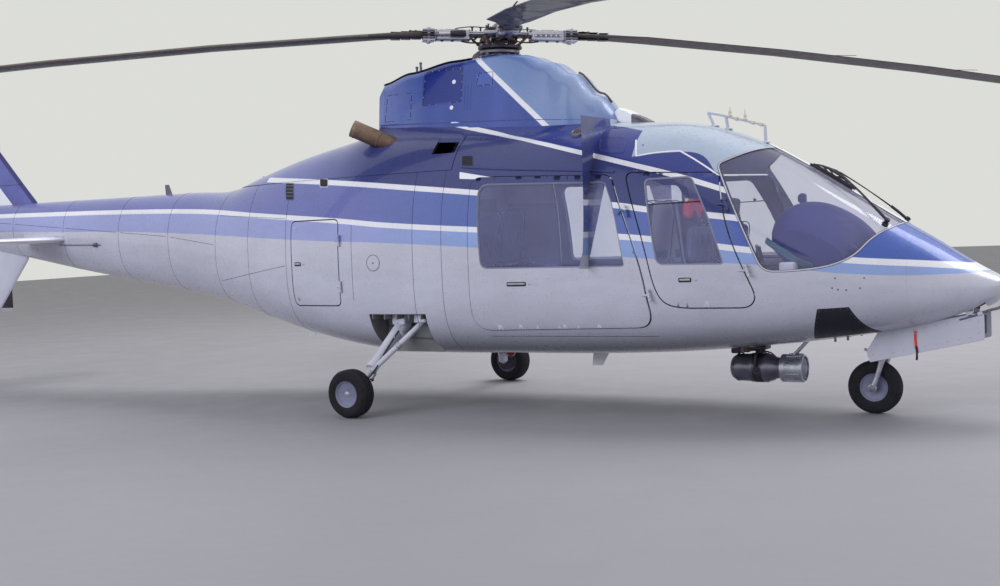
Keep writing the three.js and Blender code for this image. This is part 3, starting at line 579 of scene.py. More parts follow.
    def seam(self, path, rows=(9,), spacing=46.0):
        """A dark joint line with rows of fastener heads beside it."""
        self.ribbon(path, SEAM_WIDTH, SEAM_RISE, kind=1)
        across = np.cross(skin_normals(path), np.gradient(path, axis=0))
        across /= np.linalg.norm(across, axis=1, keepdims=True)
        for offset in rows:
            for way in (-1, 1):
                self.dots(spaced(path + across * offset * way, spacing), None, 2.6, 0.35, sides=6)

    def skin_plate(self, corners, radius, rise, kind, side):
        """A thin raised plate on the skin inside a loop of skin points."""
        rings = [wrapped_place(out, side)(skin_loop(corners, radius, by))
                 for by, out in ((0, -2), (0, rise - 1), (-1, rise))]
        self.grid(rings, kind=kind)
        return self.add(*filled(skin_loop(corners, radius, -1), [], wrapped_place(rise, side), 26), kind)

    def skin_edge(self, corners, radius, width, rise, kind, side):
        """A low bead round a loop of skin points."""
        loop = wrapped_place(0, side)(skin_loop(corners, radius))
        return self.ribbon(loop, width, rise, closed=True, kind=kind)

    def dial(self, centre, radius, hand):
        """A round instrument that faces aft: bezel, glass-black face, marks and a hand."""
        centre = np.array(centre, float)
        aft = np.array([-1.0, 0, 0])
        bezel = [(0, radius), (4, radius), (6, radius - 1.5), (6, radius - 4), (3, radius - 5)]
        self.lathe(bezel, centre, aft, 40, 1)
        self.lathe([(0, radius - 4.5), (3.2, radius - 4.5)], centre, aft, 40, 2)
        for way in spokes(12, "yz"):
            self.bar(centre + aft * 3.3 + way * (radius * 0.68),
                     centre + aft * 3.3 + way * (radius * 0.82), 0.9,
                     sides=6, kind=3)
        way = np.array([0, math.cos(hand), math.sin(hand)])
        self.bar(centre + aft * 4 - way * radius * 0.15, centre + aft * 4 + way * radius * 0.62, 1.3,
                 sides=6, kind=3)


def edited(made, change):
    """Lets change(work) edit an object's mesh as a bmesh."""
    work = bmesh.new()
    work.from_mesh(made.data)
    change(work)
    work.to_mesh(made.data)
    work.free()
    return made


def face_out(made):
    """Turns each connected part of a mesh so that its faces point out."""
    return edited(made, lambda work: bmesh.ops.recalc_face_normals(work, faces=work.faces))


def moved(points, matrix):
    matrix = np.array(matrix)
    return points @ matrix[:3, :3].T + matrix[:3, 3]


def upright(loop, y):
    """A flat loop of (X, height) stood up at one Y."""
    return np.stack([loop[:, 0], np.full(len(loop), y), loop[:, 1]], 1)


def basis(along):
    """A direction as a unit vector, and two unit vectors across it."""
    along = np.asarray(along, float)
    along = along / np.linalg.norm(along)
    helper = np.array([0, 0, 1.0]) if abs(along[2]) < 0.9 else np.array([1.0, 0, 0])
    first = np.cross(helper, along)
    first /= np.linalg.norm(first)
    return along, first, np.cross(along, first)


def angles_of(count):
    return np.linspace(0, 2 * math.pi, count, endpoint=False)


def circle(count, first, second):
    """Points round a unit circle in the plane of two unit vectors."""
    return np.cos(angles_of(count))[:, None] * first + np.sin(angles_of(count))[:, None] * second


def spokes(count, plane="xy", shift=0.0):
    """Unit vectors at equal angles in a plane, the first one turned by that share of a step."""
    angles = 2 * math.pi * (np.arange(count) + shift) / count
    made = np.zeros((count, 3))
    made[:, "xyz".index(plane[0])] = np.cos(angles)
    made[:, "xyz".index(plane[1])] = np.sin(angles)
    return made


def path_points(points, spacing=12.0, smooth=True):
    """A smooth curve through the given points, with a point about every spacing."""
    points = np.asarray(points, float)
    if not smooth or len(points) < 3:
        dense = [points[0]]
        for a, b in zip(points, points[1:]):
            steps = max(1, int(np.linalg.norm(b - a) / spacing))
            dense.extend(a + (b - a) * (k + 1) / steps for k in range(steps))
        return np.array(dense)
    padded = np.vstack([2 * points[0] - points[1], points, 2 * points[-1] - points[-2]])
    dense = [points[0]]
    for i in range(1, len(padded) - 2):
        p0, p1, p2, p3 = padded[i - 1:i + 3]
        steps = max(2, int(np.linalg.norm(p2 - p1) / spacing))
        for k in range(1, steps + 1):
            t = k / steps
            dense.append(0.5 * (
                2 * p1 + (p2 - p0) * t + (2 * p0 - 5 * p1 + 4 * p2 - p3) * t ** 2
                + (3 * p1 - p0 - 3 * p2 + p3) * t ** 3
            ))
    return np.array(dense)


def loft(start, end, inset=0.0, step=40.0, sides=128):
    """The body's skin between two stations as a closed shape."""
    count = int(math.ceil((end - start) / step))
    stations = np.linspace(start, end, count + 1)
    rings = [skin_points(np.full(sides, x), angles_of(sides), inset) for x in stations]
    return Shape().grid(rings, caps=True)


def carved(base, tools, name, operation="DIFFERENCE"):
    """The base with the tools cut from it, as a new object. Each is a shape, or an object that is used up."""
    def made_of(shape, label):
        if isinstance(shape, bpy.types.Object):
            return shape
        return edited(shape.make(label, [], smooth=0), turned_out)

    def turned_out(work):
        if work.calc_volume(signed=True) < 0:
            bmesh.ops.reverse_faces(work, faces=work.faces)

    made = made_of(base, name)
    made.name = name
    helpers = []
    for i, tool in enumerate(tools):
        helper = made_of(tool, f"{name}_tool_{i}")
        step = made.modifiers.new(f"cut_{i}", "BOOLEAN")
        step.operation = operation
        step.solver = "MANIFOLD"
        step.object = helper
        helpers.append(helper)
    bpy.context.view_layer.update()
    ready = made.evaluated_get(bpy.context.evaluated_depsgraph_get())
    mesh = bpy.data.meshes.new_from_object(ready)
    made.modifiers.clear()
    made.data = mesh
    for helper in helpers:
        bpy.data.objects.remove(helper)
    return made


def mesh_points(made):
    """An object's vertices in aircraft millimetres."""
    return (coordinates(made.data) - AXLE) / MM


def skin_shading(made, insets=(0.0,), tolerance=1.2, aligned=0.9):
    """Gives the corners that lie on a skin its own normals, so that cuts leave no dents in the gloss."""
    mesh = made.data
    smoothed(mesh, 30)
    points = mesh_points(made)
    corner_vertex = np.zeros(len(mesh.loops), int)
    mesh.loops.foreach_get("vertex_index", corner_vertex)
    face_normal = np.zeros(len(mesh.polygons) * 3)
    mesh.polygons.foreach_get("normal", face_normal)
    face_normal = face_normal.reshape(-1, 3)
    sizes = np.zeros(len(mesh.polygons), int)
    mesh.polygons.foreach_get("loop_total", sizes)
    corner_face = np.repeat(np.arange(len(sizes)), sizes)
    normals = np.zeros((len(mesh.loops), 3))
    for inset in insets:
        half = section(points[:, 0])[0]
        near = np.abs(skin_level(points, inset) - 1) * np.maximum(half, 60) < tolerance
        skin = skin_normals(points, inset)
        match = np.einsum("ij,ij->i", skin[corner_vertex], face_normal[corner_face])
        good = near[corner_vertex] & (np.abs(match) > aligned)
        flip = np.sign(match)[:, None]
        normals = np.where(good[:, None], skin[corner_vertex] * flip, normals)
    mesh.normals_split_custom_set([tuple(n) for n in normals])


# Node materials
def srgb(red, green, blue):
    """A colour from 0-255 screen values, as the linear values that nodes take."""
    def linear(v):
        v = v / 255
        return v / 12.92 if v <= 0.04045 else ((v + 0.055) / 1.055) ** 2.4
    return (linear(red), linear(green), linear(blue), 1.0)


class Nodes:
    """A material's nodes: each call adds one and returns its output."""

    def __init__(self, name):
        self.material = bpy.data.materials.new(name)
        self.material.use_nodes = True
        self.tree = self.material.node_tree
        self.shader = self.tree.nodes["Principled BSDF"]
        self.place = self.add("ShaderNodeTexCoord", output="Object")

    def add(self, kind, inputs=None, output=0, **settings):
        node = self.tree.nodes.new(kind)
        for key, value in settings.items():
            setattr(node, key, value)
        for key, value in (inputs or {}).items():
            self.put(node.inputs[key], value)
        return node.outputs[output]

    def put(self, socket, value):
        if isinstance(value, bpy.types.NodeSocket):
            self.tree.links.new(value, socket)
        else:
            socket.default_value = value

    def set(self, **values):
        for key, value in values.items():
            self.put(self.shader.inputs[key.replace("_", " ")], value)
        return self

    def math(self, operation, first, second=0.0, third=0.0, clamp=False):
        values = {0: first, 1: second, 2: third}
        return self.add("ShaderNodeMath", values, operation=operation, use_clamp=clamp)

    def mix(self, share, first, second, blend="MIX"):
        node = self.tree.nodes.new("ShaderNodeMix")
        node.data_type = "RGBA"
        node.blend_type = blend
        for socket, value in ((node.inputs[0], share), (node.inputs[6], first), (node.inputs[7], second)):
            self.put(socket, value)
        return node.outputs[2]

    def noise(self, scale, detail, rough, stretch=None):
        place = self.place
        if stretch:
            place = self.add("ShaderNodeMapping", {"Vector": place, "Scale": stretch})
        return self.add("ShaderNodeTexNoise", {
            "Vector": place, "Scale": scale, "Detail": detail, "Roughness": rough,
        })

    def ramp(self, value, low, high, start=0.0, end=1.0, smooth=False):
        """The value's run from low to high, mapped to start to end and held beyond them."""
        return self.add("ShaderNodeMapRange", {
            "Value": value, "From Min": low, "From Max": high, "To Min": start, "To Max": end,
        }, interpolation_type="SMOOTHSTEP" if smooth else "LINEAR")

    def bump(self, height, distance=0.001, strength=0.5):
        normal = self.add("ShaderNodeBump", {"Height": height, "Distance": distance, "Strength": strength})
        self.put(self.shader.inputs["Normal"], normal)
        return self

    def minus(self, first, second):
        return self.math("SUBTRACT", first, second)

    def product(self, *shares):
        total = shares[0]
        for share in shares[1:]:
            total = self.math("MULTIPLY", total, share)
        return total

    def axes(self):
        """X from the axle, Y and Z in metres."""
        split = self.tree.nodes.new("ShaderNodeSeparateXYZ")
        self.put(split.inputs[0], self.place)
        return self.minus(split.outputs[0], float(AXLE[0])), split.outputs[1], split.outputs[2]

    def line(self, x, points):
        """A curve through (x, value) pairs, both in metres."""
        xs, values = [p[0] for p in points], [p[1] for p in points]
        low, high = min(values) - 0.01, max(values) + 0.01
        share = self.ramp(x, xs[0], xs[-1])
        node = self.tree.nodes.new("ShaderNodeFloatCurve")
        self.put(node.inputs["Value"], share)
        curve = node.mapping.curves[0]
        places = [((px - xs[0]) / (xs[-1] - xs[0]), (v - low) / (high - low)) for px, v in points]
        while len(curve.points) < len(places):
            curve.points.new(0.5, 0.5)
        for point, place in zip(curve.points, places):
            point.location = place
            point.handle_type = "AUTO_CLAMPED"
        node.mapping.use_clip = True
        node.mapping.update()
        return self.math("MULTIPLY_ADD", node.outputs[0], high - low, low)


def worn(name, colour, roughness, metallic=0.0, tone=0.12, tone_scale=9.0, grain=0.0004, grain_scale=260.0,
         coat=0.0, stretch=None, **sockets):
    """A surface with slow changes of tone, uneven gloss and a fine grain."""
    nodes = Nodes(name)
    slow = nodes.noise(tone_scale, 4.0, 0.6)
    darker = tuple(c * (1 - tone) for c in colour[:3]) + (1.0,)
    lighter = tuple(min(1.0, c * (1 + tone)) for c in colour[:3]) + (1.0,)
    nodes.set(Base_Color=nodes.mix(nodes.ramp(slow, 0.3, 0.7), darker, lighter), Metallic=metallic)
    fine = nodes.noise(tone_scale * 4, 3.0, 0.6)
    nodes.set(Roughness=nodes.ramp(fine, 0.3, 0.7, roughness * 0.82, min(1.0, roughness * 1.18)))
    if coat:
        nodes.set(Coat_Weight=coat, Coat_Roughness=0.04)
    nodes.set(**sockets)
    if grain:
        nodes.bump(nodes.noise(grain_scale, 2.0, 0.6, stretch=stretch), grain, 0.6)
    return nodes.material


# Paint: each line of the scheme runs along the body as (X, height), the roof stripe as (X, Y, height), and
# the edge of the white crown as (X, Y)
DARK_BLUE = srgb(38, 52, 132)
# Painted reflection: the dark blue made greyer, for the ground mirrored in the band above the upper stripe.
DARK_BLUE_GROUND_REFLECTION = srgb(52, 60, 118)
MID_BLUE = srgb(84, 104, 172)
LIGHT_BLUE = srgb(138, 160, 214)
# Painted light: the paler blue that the middle band and the cowl's upper band fade to towards the rear.
LIT_REAR_BLUE = srgb(104, 110, 172)
# The middle band's blue, lightened in front of the cockpit by painted sky glare.
NOSE_GLARE_BLUE = srgb(60, 88, 172)
WHITE = srgb(226, 226, 236)
SILVER = srgb(186, 187, 204)
ROOF_STRIPE = [
    (430, 300, 2170), (555, 314, 2137), (659, 323, 2111), (800, 337, 2076), (895, 351, 2052),
    (993, 373, 2026),
    (1091, 396, 2002), (1289, 450, 1953), (1820, 551, 1815), (2377, 597, 1661), (2760, 572, 1530),
]
UPPER_STRIPE = [(-1400, 1838), (-557, 1767), (73, 1702), (1999, 1471), (2237, 1431),
                (2725, 1367), (2900, 1338)]
LOWER_STRIPE = [
    (-6300, 1700), (-4184, 1666), (-3179, 1643), (-2215, 1606), (-1389, 1540), (-396, 1457), (30, 1411),
    (2018, 1258), (2452, 1207), (2893, 1142), (3535, 1052), (4000, 1008), (4400, 955),
]
BAND_EDGE = [
    (-6300, 1560), (-4145, 1493), (-3131, 1459), (-604, 1309), (31, 1275), (2060, 1117), (2594, 1070),
    (2988, 1040), (3287, 996), (3508, 968), (3991, 942), (4400, 945),
]
WHITE_ROOF = [(2055, 1800), (2093, 1806), (2398, 1815), (2683, 1645), (2860, 1480), (4400, 1300)]
WHITE_CROWN = [(1450, -10), (1643, 177), (2036, 342), (2100, 360)]
# The roof's white paint greyed towards blue: painted shade.
SHADED_ROOF_WHITE = srgb(164, 177, 200)
STRIPE_HALF = 0.020
PAINT_EDGE = 0.0016


def livery():
    """The body's paint: silver below, three blues divided by white lines, and a pale roof, with painted light
    and shade laid into it: a darker belly, a greyer upper band, paler blues towards the rear, a lighter nose
    blue and a greyed roof white.
    """
    nodes = Nodes("livery_paint")
    x, y, z = nodes.axes()
    y = nodes.math("ABSOLUTE", y)

    def metres(line):
        return [(a * MM, b * MM) for a, b in line]

    def over(value, low=0.0):
        return nodes.ramp(nodes.minus(value, low), -PAINT_EDGE, PAINT_EDGE, smooth=True)

    def beyond(place):
        return over(x, place * MM)

    band = nodes.minus(z, nodes.line(x, metres(BAND_EDGE)))
    lower = nodes.minus(z, nodes.line(x, metres(LOWER_STRIPE)))
    upper = nodes.minus(z, nodes.line(x, metres(UPPER_STRIPE)))
    roof_y = nodes.minus(y, nodes.line(x, metres((a, b) for a, b, _ in ROOF_STRIPE)))
    roof_z = nodes.minus(z, nodes.line(x, metres((a, c) for a, _, c in ROOF_STRIPE)))
    roof = nodes.math("SQRT", nodes.math("ADD", nodes.product(roof_y, roof_y), nodes.product(roof_z, roof_z)))
    on_roof_stripe = nodes.product(
        nodes.minus(1.0, over(roof, STRIPE_HALF)), beyond(430), nodes.minus(1.0, beyond(2750)),
    )
    white_roof = nodes.product(over(nodes.minus(z, nodes.line(x, metres(WHITE_ROOF)))), beyond(2062))
    crown = nodes.product(over(nodes.minus(nodes.line(x, metres(WHITE_CROWN)), y)),
                          over(z, 1.7), beyond(1450),
                 nodes.minus(1.0, beyond(2062)))
    # ahead turns the middle band to the glare-lightened nose blue: painted reflection.
    ahead = nodes.ramp(x, 2.75, 2.95)
    # behind fades the blue bands to paler tones towards the rear: painted light.
    behind = nodes.ramp(x, 0.7, -0.3)
    on_cowl = nodes.minus(1.0, nodes.ramp(x, -0.9, -0.2))
    # Below the lower stripe the light blue fades to a paler lavender behind: painted light.
    colour = nodes.mix(over(band), SILVER, nodes.mix(behind, LIGHT_BLUE, srgb(146, 154, 204)))
    colour = nodes.mix(over(lower, -STRIPE_HALF), colour, WHITE)
    middle = nodes.mix(behind, nodes.mix(ahead, MID_BLUE, NOSE_GLARE_BLUE), LIT_REAR_BLUE)
    colour = nodes.mix(over(lower, STRIPE_HALF), colour, middle)
    in_front = nodes.minus(1.0, beyond(2900))
    past_tip = beyond(-1380)
    colour = nodes.mix(nodes.product(over(upper, -STRIPE_HALF), in_front, past_tip), colour, WHITE)
    # Above the upper stripe: the greyer dark blue is a painted ground reflection, fading to the painted-light
    # rear blue on the cowl.
    high = nodes.mix(on_cowl, DARK_BLUE_GROUND_REFLECTION, LIT_REAR_BLUE)
    colour = nodes.mix(nodes.product(over(upper, STRIPE_HALF), in_front), colour, high)
    over_roof = nodes.ramp(roof_y, 0.0, -0.004)
    colour = nodes.mix(nodes.product(over_roof, beyond(380), over(upper, STRIPE_HALF)), colour, DARK_BLUE)
    colour = nodes.mix(on_roof_stripe, colour, WHITE)
    colour = nodes.mix(nodes.math("ADD", white_roof, crown, clamp=True), colour, SHADED_ROOF_WHITE)
    # Painted shade: from the cabin's rear forwards, the paint darkens to half towards the bottom of the
    # belly.
    belly = nodes.product(nodes.ramp(z, 0.66, 0.44), nodes.ramp(x, -1.4, 0.2))
    tone = nodes.product(nodes.ramp(nodes.noise(1.6, 4.0, 0.6), 0.3, 0.7, 0.93, 1.04),
                      nodes.ramp(belly, 0.0, 1.0, 1.0, 0.5))
    grime = nodes.ramp(nodes.noise(14.0, 5.0, 0.65, stretch=(0.25, 1, 1)), 0.42, 0.75, 1.0, 0.93)
    shade = nodes.product(tone, grime)
    combined = nodes.add("ShaderNodeCombineColor", {0: shade, 1: shade, 2: shade})
    nodes.set(Base_Color=nodes.mix(1.0, colour, combined, "MULTIPLY"))
    nodes.set(Roughness=nodes.ramp(nodes.noise(22.0, 4.0, 0.6), 0.3, 0.7, 0.24, 0.36), Metallic=0.12)
    nodes.set(Coat_Weight=0.6, Coat_Roughness=0.05)
    nodes.bump(nodes.noise(5.0, 2.0, 0.5), 0.0012, 0.35)
    return nodes.material


def glass_material(name, tint, film, body):
    """Sheet glass: it lets its tint through, has a thin film of the body colour and mirrors edge-on."""
    nodes = Nodes(name)
    clear = nodes.tree.nodes.new("ShaderNodeBsdfTransparent")
    clear.inputs["Color"].default_value = tint
    nodes.set(Base_Color=body, Metallic=0.0, Roughness=0.5)
    share = nodes.ramp(nodes.noise(3.0, 3.0, 0.6), 0.35, 0.7, film * 0.8, film * 1.15)
    gloss = nodes.tree.nodes.new("ShaderNodeBsdfGlossy")
    gloss.inputs["Roughness"].default_value = 0.015
    edge_on = nodes.add("ShaderNodeLayerWeight", {"Blend": 0.5}, output=1)
    glint = nodes.math("MULTIPLY_ADD", nodes.math("POWER", edge_on, 5.0), 0.96, 0.04)
    inner, outer = (nodes.tree.nodes.new("ShaderNodeMixShader") for _ in range(2))
    nodes.put(inner.inputs[0], share)
    nodes.put(inner.inputs[1], clear.outputs[0])
    nodes.put(inner.inputs[2], nodes.shader.outputs[0])
    nodes.put(outer.inputs[0], nodes.math("MINIMUM", glint, 1.0))
    nodes.put(outer.inputs[1], inner.outputs[0])
    nodes.put(outer.inputs[2], gloss.outputs[0])
    output = nodes.tree.nodes["Material Output"]
    nodes.put(output.inputs["Surface"], outer.outputs[0])
    return nodes.material


LIVERY = livery()
GLASS = glass_material("cabin_glass", (0.96, 0.97, 1.0, 1), 0.11, (0.36, 0.38, 0.88, 1))
WINDSHIELD_GLASS = glass_material("windshield_glass", (0.97, 0.97, 1.0, 1), 0.07, (0.37, 0.40, 0.84, 1))
LINING = worn("cabin_lining", srgb(166, 162, 182), 0.8, tone=0.1, grain=0.0006, grain_scale=420)
HEADLINING = worn("head_lining", srgb(190, 188, 202), 0.85, tone=0.08, grain=0.0006, grain_scale=420)
FLOOR_MAT = worn("floor_covering", srgb(104, 102, 118), 0.9, tone=0.15, grain=0.001, grain_scale=700)
WELL_PRIMER = worn("well_primer", srgb(118, 120, 122), 0.7, tone=0.15)
SEAL_RUBBER = worn("seal_rubber", srgb(44, 43, 54), 0.7, grain=0.0003)
WINDOW_BEAD = worn("window_bead", srgb(128, 130, 152), 0.6, grain=0.0003)
SEAM_DARK = worn("seam_shadow", srgb(34, 34, 44), 0.8, grain=0.0003)
# Black paint, also laid on the plates in the vent openings as painted shade.
BLACK_PAINT_AND_VENT_SHADE = worn("black_paint_and_vent_shade", srgb(26, 25, 40), 0.5, tone=0.2, grain=0.0003)
TRIM_GREY = worn("door_trim", srgb(120, 118, 138), 0.7, tone=0.1)
BLUE_PAINT = worn("fairing_blue", srgb(58, 84, 168), 0.3, tone=0.06, tone_scale=3, coat=0.6, Metallic=0.1)
WHITE_PAINT = worn("white_paint", WHITE, 0.32, tone=0.04, tone_scale=4, coat=0.5)
SILVER_PAINT = worn("silver_paint", SILVER, 0.36, tone=0.06, tone_scale=4, coat=0.4, grain=0.0002)
BARE_METAL = worn("machined_metal", srgb(196, 198, 212), 0.3, 0.9, tone=0.18, tone_scale=24,
                  stretch=(1, 1, 9))
DULL_METAL = worn("dull_metal", srgb(134, 132, 146), 0.45, 0.75, tone=0.2, tone_scale=20)
DARK_METAL = worn("dark_metal", srgb(66, 62, 72), 0.42, 0.6, tone=0.3, tone_scale=24)
BROWN_METAL = worn("oiled_metal", srgb(104, 84, 76), 0.4, 0.7, tone=0.35, tone_scale=30)
BOLT_METAL = worn("bolt_heads", srgb(214, 208, 214), 0.28, 0.85, tone=0.12)
DARK_CHROME = worn("dark_chrome", srgb(118, 116, 132), 0.22, 0.75, tone=0.3, tone_scale=14)
WORN_STRIP = worn("worn_strip", srgb(96, 88, 98), 0.4, 0.4, tone=0.2, tone_scale=20)
BLADE_PAINT = worn("blade_paint", srgb(58, 50, 54), 0.45, tone=0.15, tone_scale=3, coat=0.15,
                   stretch=(1, 6, 6))
BLADE_EDGE = worn("blade_edge_steel", srgb(120, 112, 112), 0.35, 0.8, tone=0.15)
TYRE = worn("tyre_rubber", srgb(27, 27, 33), 0.85, tone=0.25, tone_scale=16, grain=0.0008, grain_scale=500)
RIM_PAINT = worn("wheel_paint", srgb(124, 126, 154), 0.38, 0.35, tone=0.15, tone_scale=22)


# Shapes on the skin: patches are filled over side-view loops, ribbons follow paths
def block(x0, x1, y0, y1, z0, z1):
    """A box with sharp edges, for cutting."""
    ring = np.array([[x0, y0], [x1, y0], [x1, y1], [x0, y1]], float)
    rings = [np.column_stack([ring, np.full(4, z)]) for z in (z0, z1)]
    return Shape().grid(rings, caps=True)


def side_prism(corners, by=0.0, inner=200.0, side=-1, spacing=None):
    """A side-view outline, grown by that much, pushed through one side of the body."""
    return Shape().prism(rounded(corners, by, 12, spacing), *sorted((side * BESIDE, side * inner)))


def filled(loop, holes, place, spacing=30.0):
    """Points and triangles over the inside of a flat loop, round its holes. place puts them in space."""
    low, high = loop.min(0), loop.max(0)
    steps = [np.arange(low[k] + spacing / 2, high[k], spacing) for k in (0, 1)]
    grid = np.stack(np.meshgrid(*steps), -1).reshape(-1, 2)
    keep = inside(grid, loop)
    for ring in (loop, *holes):
        apart = np.linalg.norm(grid[:, None] - ring[None], axis=2).min(1)
        keep &= apart > spacing * 0.55
    for hole in holes:
        keep &= ~inside(grid, hole)
    flat, edges, start = [], [], 0
    for ring in (loop, *holes):
        count = len(ring)
        flat.append(ring)
        edges.extend((start + k, start + (k + 1) % count) for k in range(count))
        start += count
    flat.append(grid[keep])
    corners = [Vector(p) for p in np.vstack(flat)]
    made = delaunay_2d_cdt(corners, edges, [], 0, 1e-5)
    flat = np.array([tuple(p) for p in made[0]])
    faces = np.array([f for f in made[2] if len(f) == 3])
    centres = flat[faces].mean(1)
    good = inside(centres, loop)
    for hole in holes:
        good &= ~inside(centres, hole)
    return place(flat), faces[good]


def side_place(out, side):
    return lambda flat: side_points(flat[:, 0], flat[:, 1], out, side)


ANGLE_SCALE = 600.0           # about the body's half width, so that flat points keep true shapes
def skin_angle(points):
    """The section angle at each point near the skin, for the side it is on."""
    half, bottom, widest, top, upper, lower = section(points[:, 0])
    above = points[:, 2] >= widest
    power = np.where(above, upper, lower)
    height = np.where(above, top - widest, widest - bottom)
    across = (np.abs(points[:, 1]) / half) ** (power / 2)
    up = (np.abs(points[:, 2] - widest) / height) ** (power / 2)
    return np.arctan2(np.where(above, up, -up), across)


def wrapped_place(out, side):
    """For flat points of (X, section angle times ANGLE_SCALE): a patch may run under or over the body."""
    def place(flat):
        angle = flat[:, 1] / ANGLE_SCALE
        points = skin_points(flat[:, 0], angle)
        normals = skin_normals(points)
        points = points + normals * out
        points[:, 1] *= side
        return points
    return place


def rim_rings(corners, profile, side):
    """Rings round an outline, one for each (outwards in side view, out of the skin) pair."""
    rings = []
    for by, out in profile:
        flat = rounded(corners, by, 8, 16)
        rings.append(side_points(flat[:, 0], flat[:, 1], out, side))
    return rings


def side_path(points, spacing, out, side):
    """A path on one side of the skin through side-view points (X, height)."""
    flat = path_points([(x, 0, z) for x, z in points], spacing, False)
    return side_points(flat[:, 0], flat[:, 2], out, side)


def spaced(path, distance):
    """Points along a path at equal distances."""
    path = np.asarray(path, float)
    lengths = np.concatenate([[0], np.cumsum(np.linalg.norm(np.diff(path, axis=0), axis=1))])
    count = max(2, int(lengths[-1] / distance) + 1)
    at = np.linspace(0, lengths[-1], count)
    return np.stack([np.interp(at, lengths, path[:, k]) for k in range(3)], 1)


def welded(made):
    """Joins the points of a mesh that lie at one place and turns its faces out."""
    def join(work):
        bmesh.ops.remove_doubles(work, verts=work.verts, dist=0.05 * MM)
        bmesh.ops.recalc_face_normals(work, faces=work.faces)

    return edited(made, join)


def paint_faces(made, materials, choose=lambda centres, normals: np.zeros(len(centres))):
    """Gives each face the material that choose picks by its centre in millimetres and its normal."""
    mesh = made.data
    mesh.materials.clear()
    for material in materials:
        mesh.materials.append(material)
    count = len(mesh.polygons)
    centres, normals = np.zeros(count * 3), np.zeros(count * 3)
    mesh.polygons.foreach_get("center", centres)
    mesh.polygons.foreach_get("normal", normals)
    centres = (centres.reshape(-1, 3) - AXLE) / MM
    kinds = np.asarray(choose(centres, normals.reshape(-1, 3)), np.int32)
    mesh.polygons.foreach_set("material_index", kinds)


def on_skin(centres, normals, inset=0.0, tolerance=5.0, facing=0.6):
    """Which faces lie on the skin drawn in by inset and look out of it."""
    half = section(centres[:, 0])[0]
    near = np.abs(skin_level(centres, inset) - 1) * np.maximum(half, 60) < tolerance
    out = np.einsum("ij,ij->i", skin_normals(centres, inset), normals)
    return near & (out > facing)


# Fuselage: the hollow shell with its floor, bulkheads, engine deck and wheel wells
NOSE_WELL = (3430, 4280, -125, 125, 300, 760)
MAIN_WELL = (-150, 380, -900, -440, 300, 730)
ENGINE_BAY = (-800, 280, -460, 460, 1450, 2400)
GEARBOX_BAY = (580, 920, -200, 200, 1910, 2400)
INTAKE = (380, 580, -900, -360, 1930, 2160)


def other_side(sizes):
    x0, x1, y0, y1, z0, z1 = sizes
    return (x0, x1, -y1, -y0, z0, z1)


def make_fuselage():
    """The shell: hollow for the cabin and the baggage, cut for the deck, the wells and the doors."""
    cabin = carved(loft(BULKHEAD_FRONT, NOSE_JOINT - 30, SKIN, 50, 112), [
        block(0, 5000, -BESIDE, BESIDE, 0, FLOOR_HEIGHT),
        block(3350, 5000, -BESIDE, BESIDE, 0, 850),
        block(0, 2250, -BESIDE, BESIDE, CEILING_HEIGHT, 2500),
    ], "cabin_space")
    baggage = carved(loft(BOOM_JOINT + 30, BULKHEAD_BACK, SKIN, 60, 96), [
        block(-3000, 1000, -BESIDE, BESIDE, 0, 780),
        block(-3000, 1000, -BESIDE, BESIDE, DECK_HEIGHT - SKIN, 2500),
        block(ENGINE_BAY[0] - SKIN, 1000, -BESIDE, BESIDE, ENGINE_BAY[4] - SKIN, 2500),
    ], "baggage_space")
    tools = [cabin, baggage, block(BOOM_JOINT - 10, DECK_FRONT, -800, 800, DECK_HEIGHT, 2400)]
    tools += [block(*NOSE_WELL), block(*MAIN_WELL), block(*other_side(MAIN_WELL))]
    tools += [block(*ENGINE_BAY), block(*GEARBOX_BAY)]
    for side in (-1, 1):
        tools += [side_prism(COCKPIT_DOOR, DOOR_GAP, side=side), side_prism(CABIN_DOOR, DOOR_GAP, side=side)]
        tools.append(side_prism(WINDSHIELD, 0, 22, side, 25))
    tools.append(side_prism(BAGGAGE_DOOR, DOOR_GAP, inner=400))
    shell = carved(loft(BOOM_JOINT, NOSE_JOINT, 0, 36, 256), tools, "fuselage_body")

    def choose(centres, normals):
        x, y, z = centres.T
        up = normals[:, 2]
        kinds = np.full(len(centres), 1)
        lining = on_skin(centres, -normals, SKIN, 6.0, 0.5) & (x > BULKHEAD_FRONT - 5)
        kinds[lining] = 2
        kinds[lining & (z > 1560)] = 3
        kinds[(up < -0.8) & (z > CEILING_HEIGHT - 5) & (x > BULKHEAD_FRONT)] = 3
        kinds[(up > 0.8) & (z < FLOOR_HEIGHT + 5) & (x > BULKHEAD_FRONT) & (z > FLOOR_HEIGHT - 5)] = 4
        kinds[(np.abs(x - BULKHEAD_FRONT) < 3) & (normals[:, 0] > 0.8)] = 2
        in_nose = (x > NOSE_WELL[0] - 2) & (np.abs(y) < NOSE_WELL[3] + 1) & (z < NOSE_WELL[5] + 1)
        beside = (np.abs(y) > -MAIN_WELL[3] - 1) & (z < MAIN_WELL[5] + 1)
        kinds[in_nose | (beside & (x > MAIN_WELL[0] - 2) & (x < MAIN_WELL[1] + 2))] = 5
        kinds[(x < BULKHEAD_BACK) & on_skin(centres, -normals, SKIN, 6.0, 0.5)] = 5
        kinds[(x < DECK_FRONT + 2) & (z > ENGINE_BAY[4] - SKIN - 2) & (np.abs(up) > 0.5)] = 5
        kinds[on_skin(centres, normals)] = 0
        return kinds

    paint_faces(shell, [LIVERY, SEAM_DARK, LINING, HEADLINING, FLOOR_MAT, WELL_PRIMER], choose)
    skin_shading(shell, (0.0, SKIN))
    piece(shell, "airframe", "body_paint", "fuselage_shell")


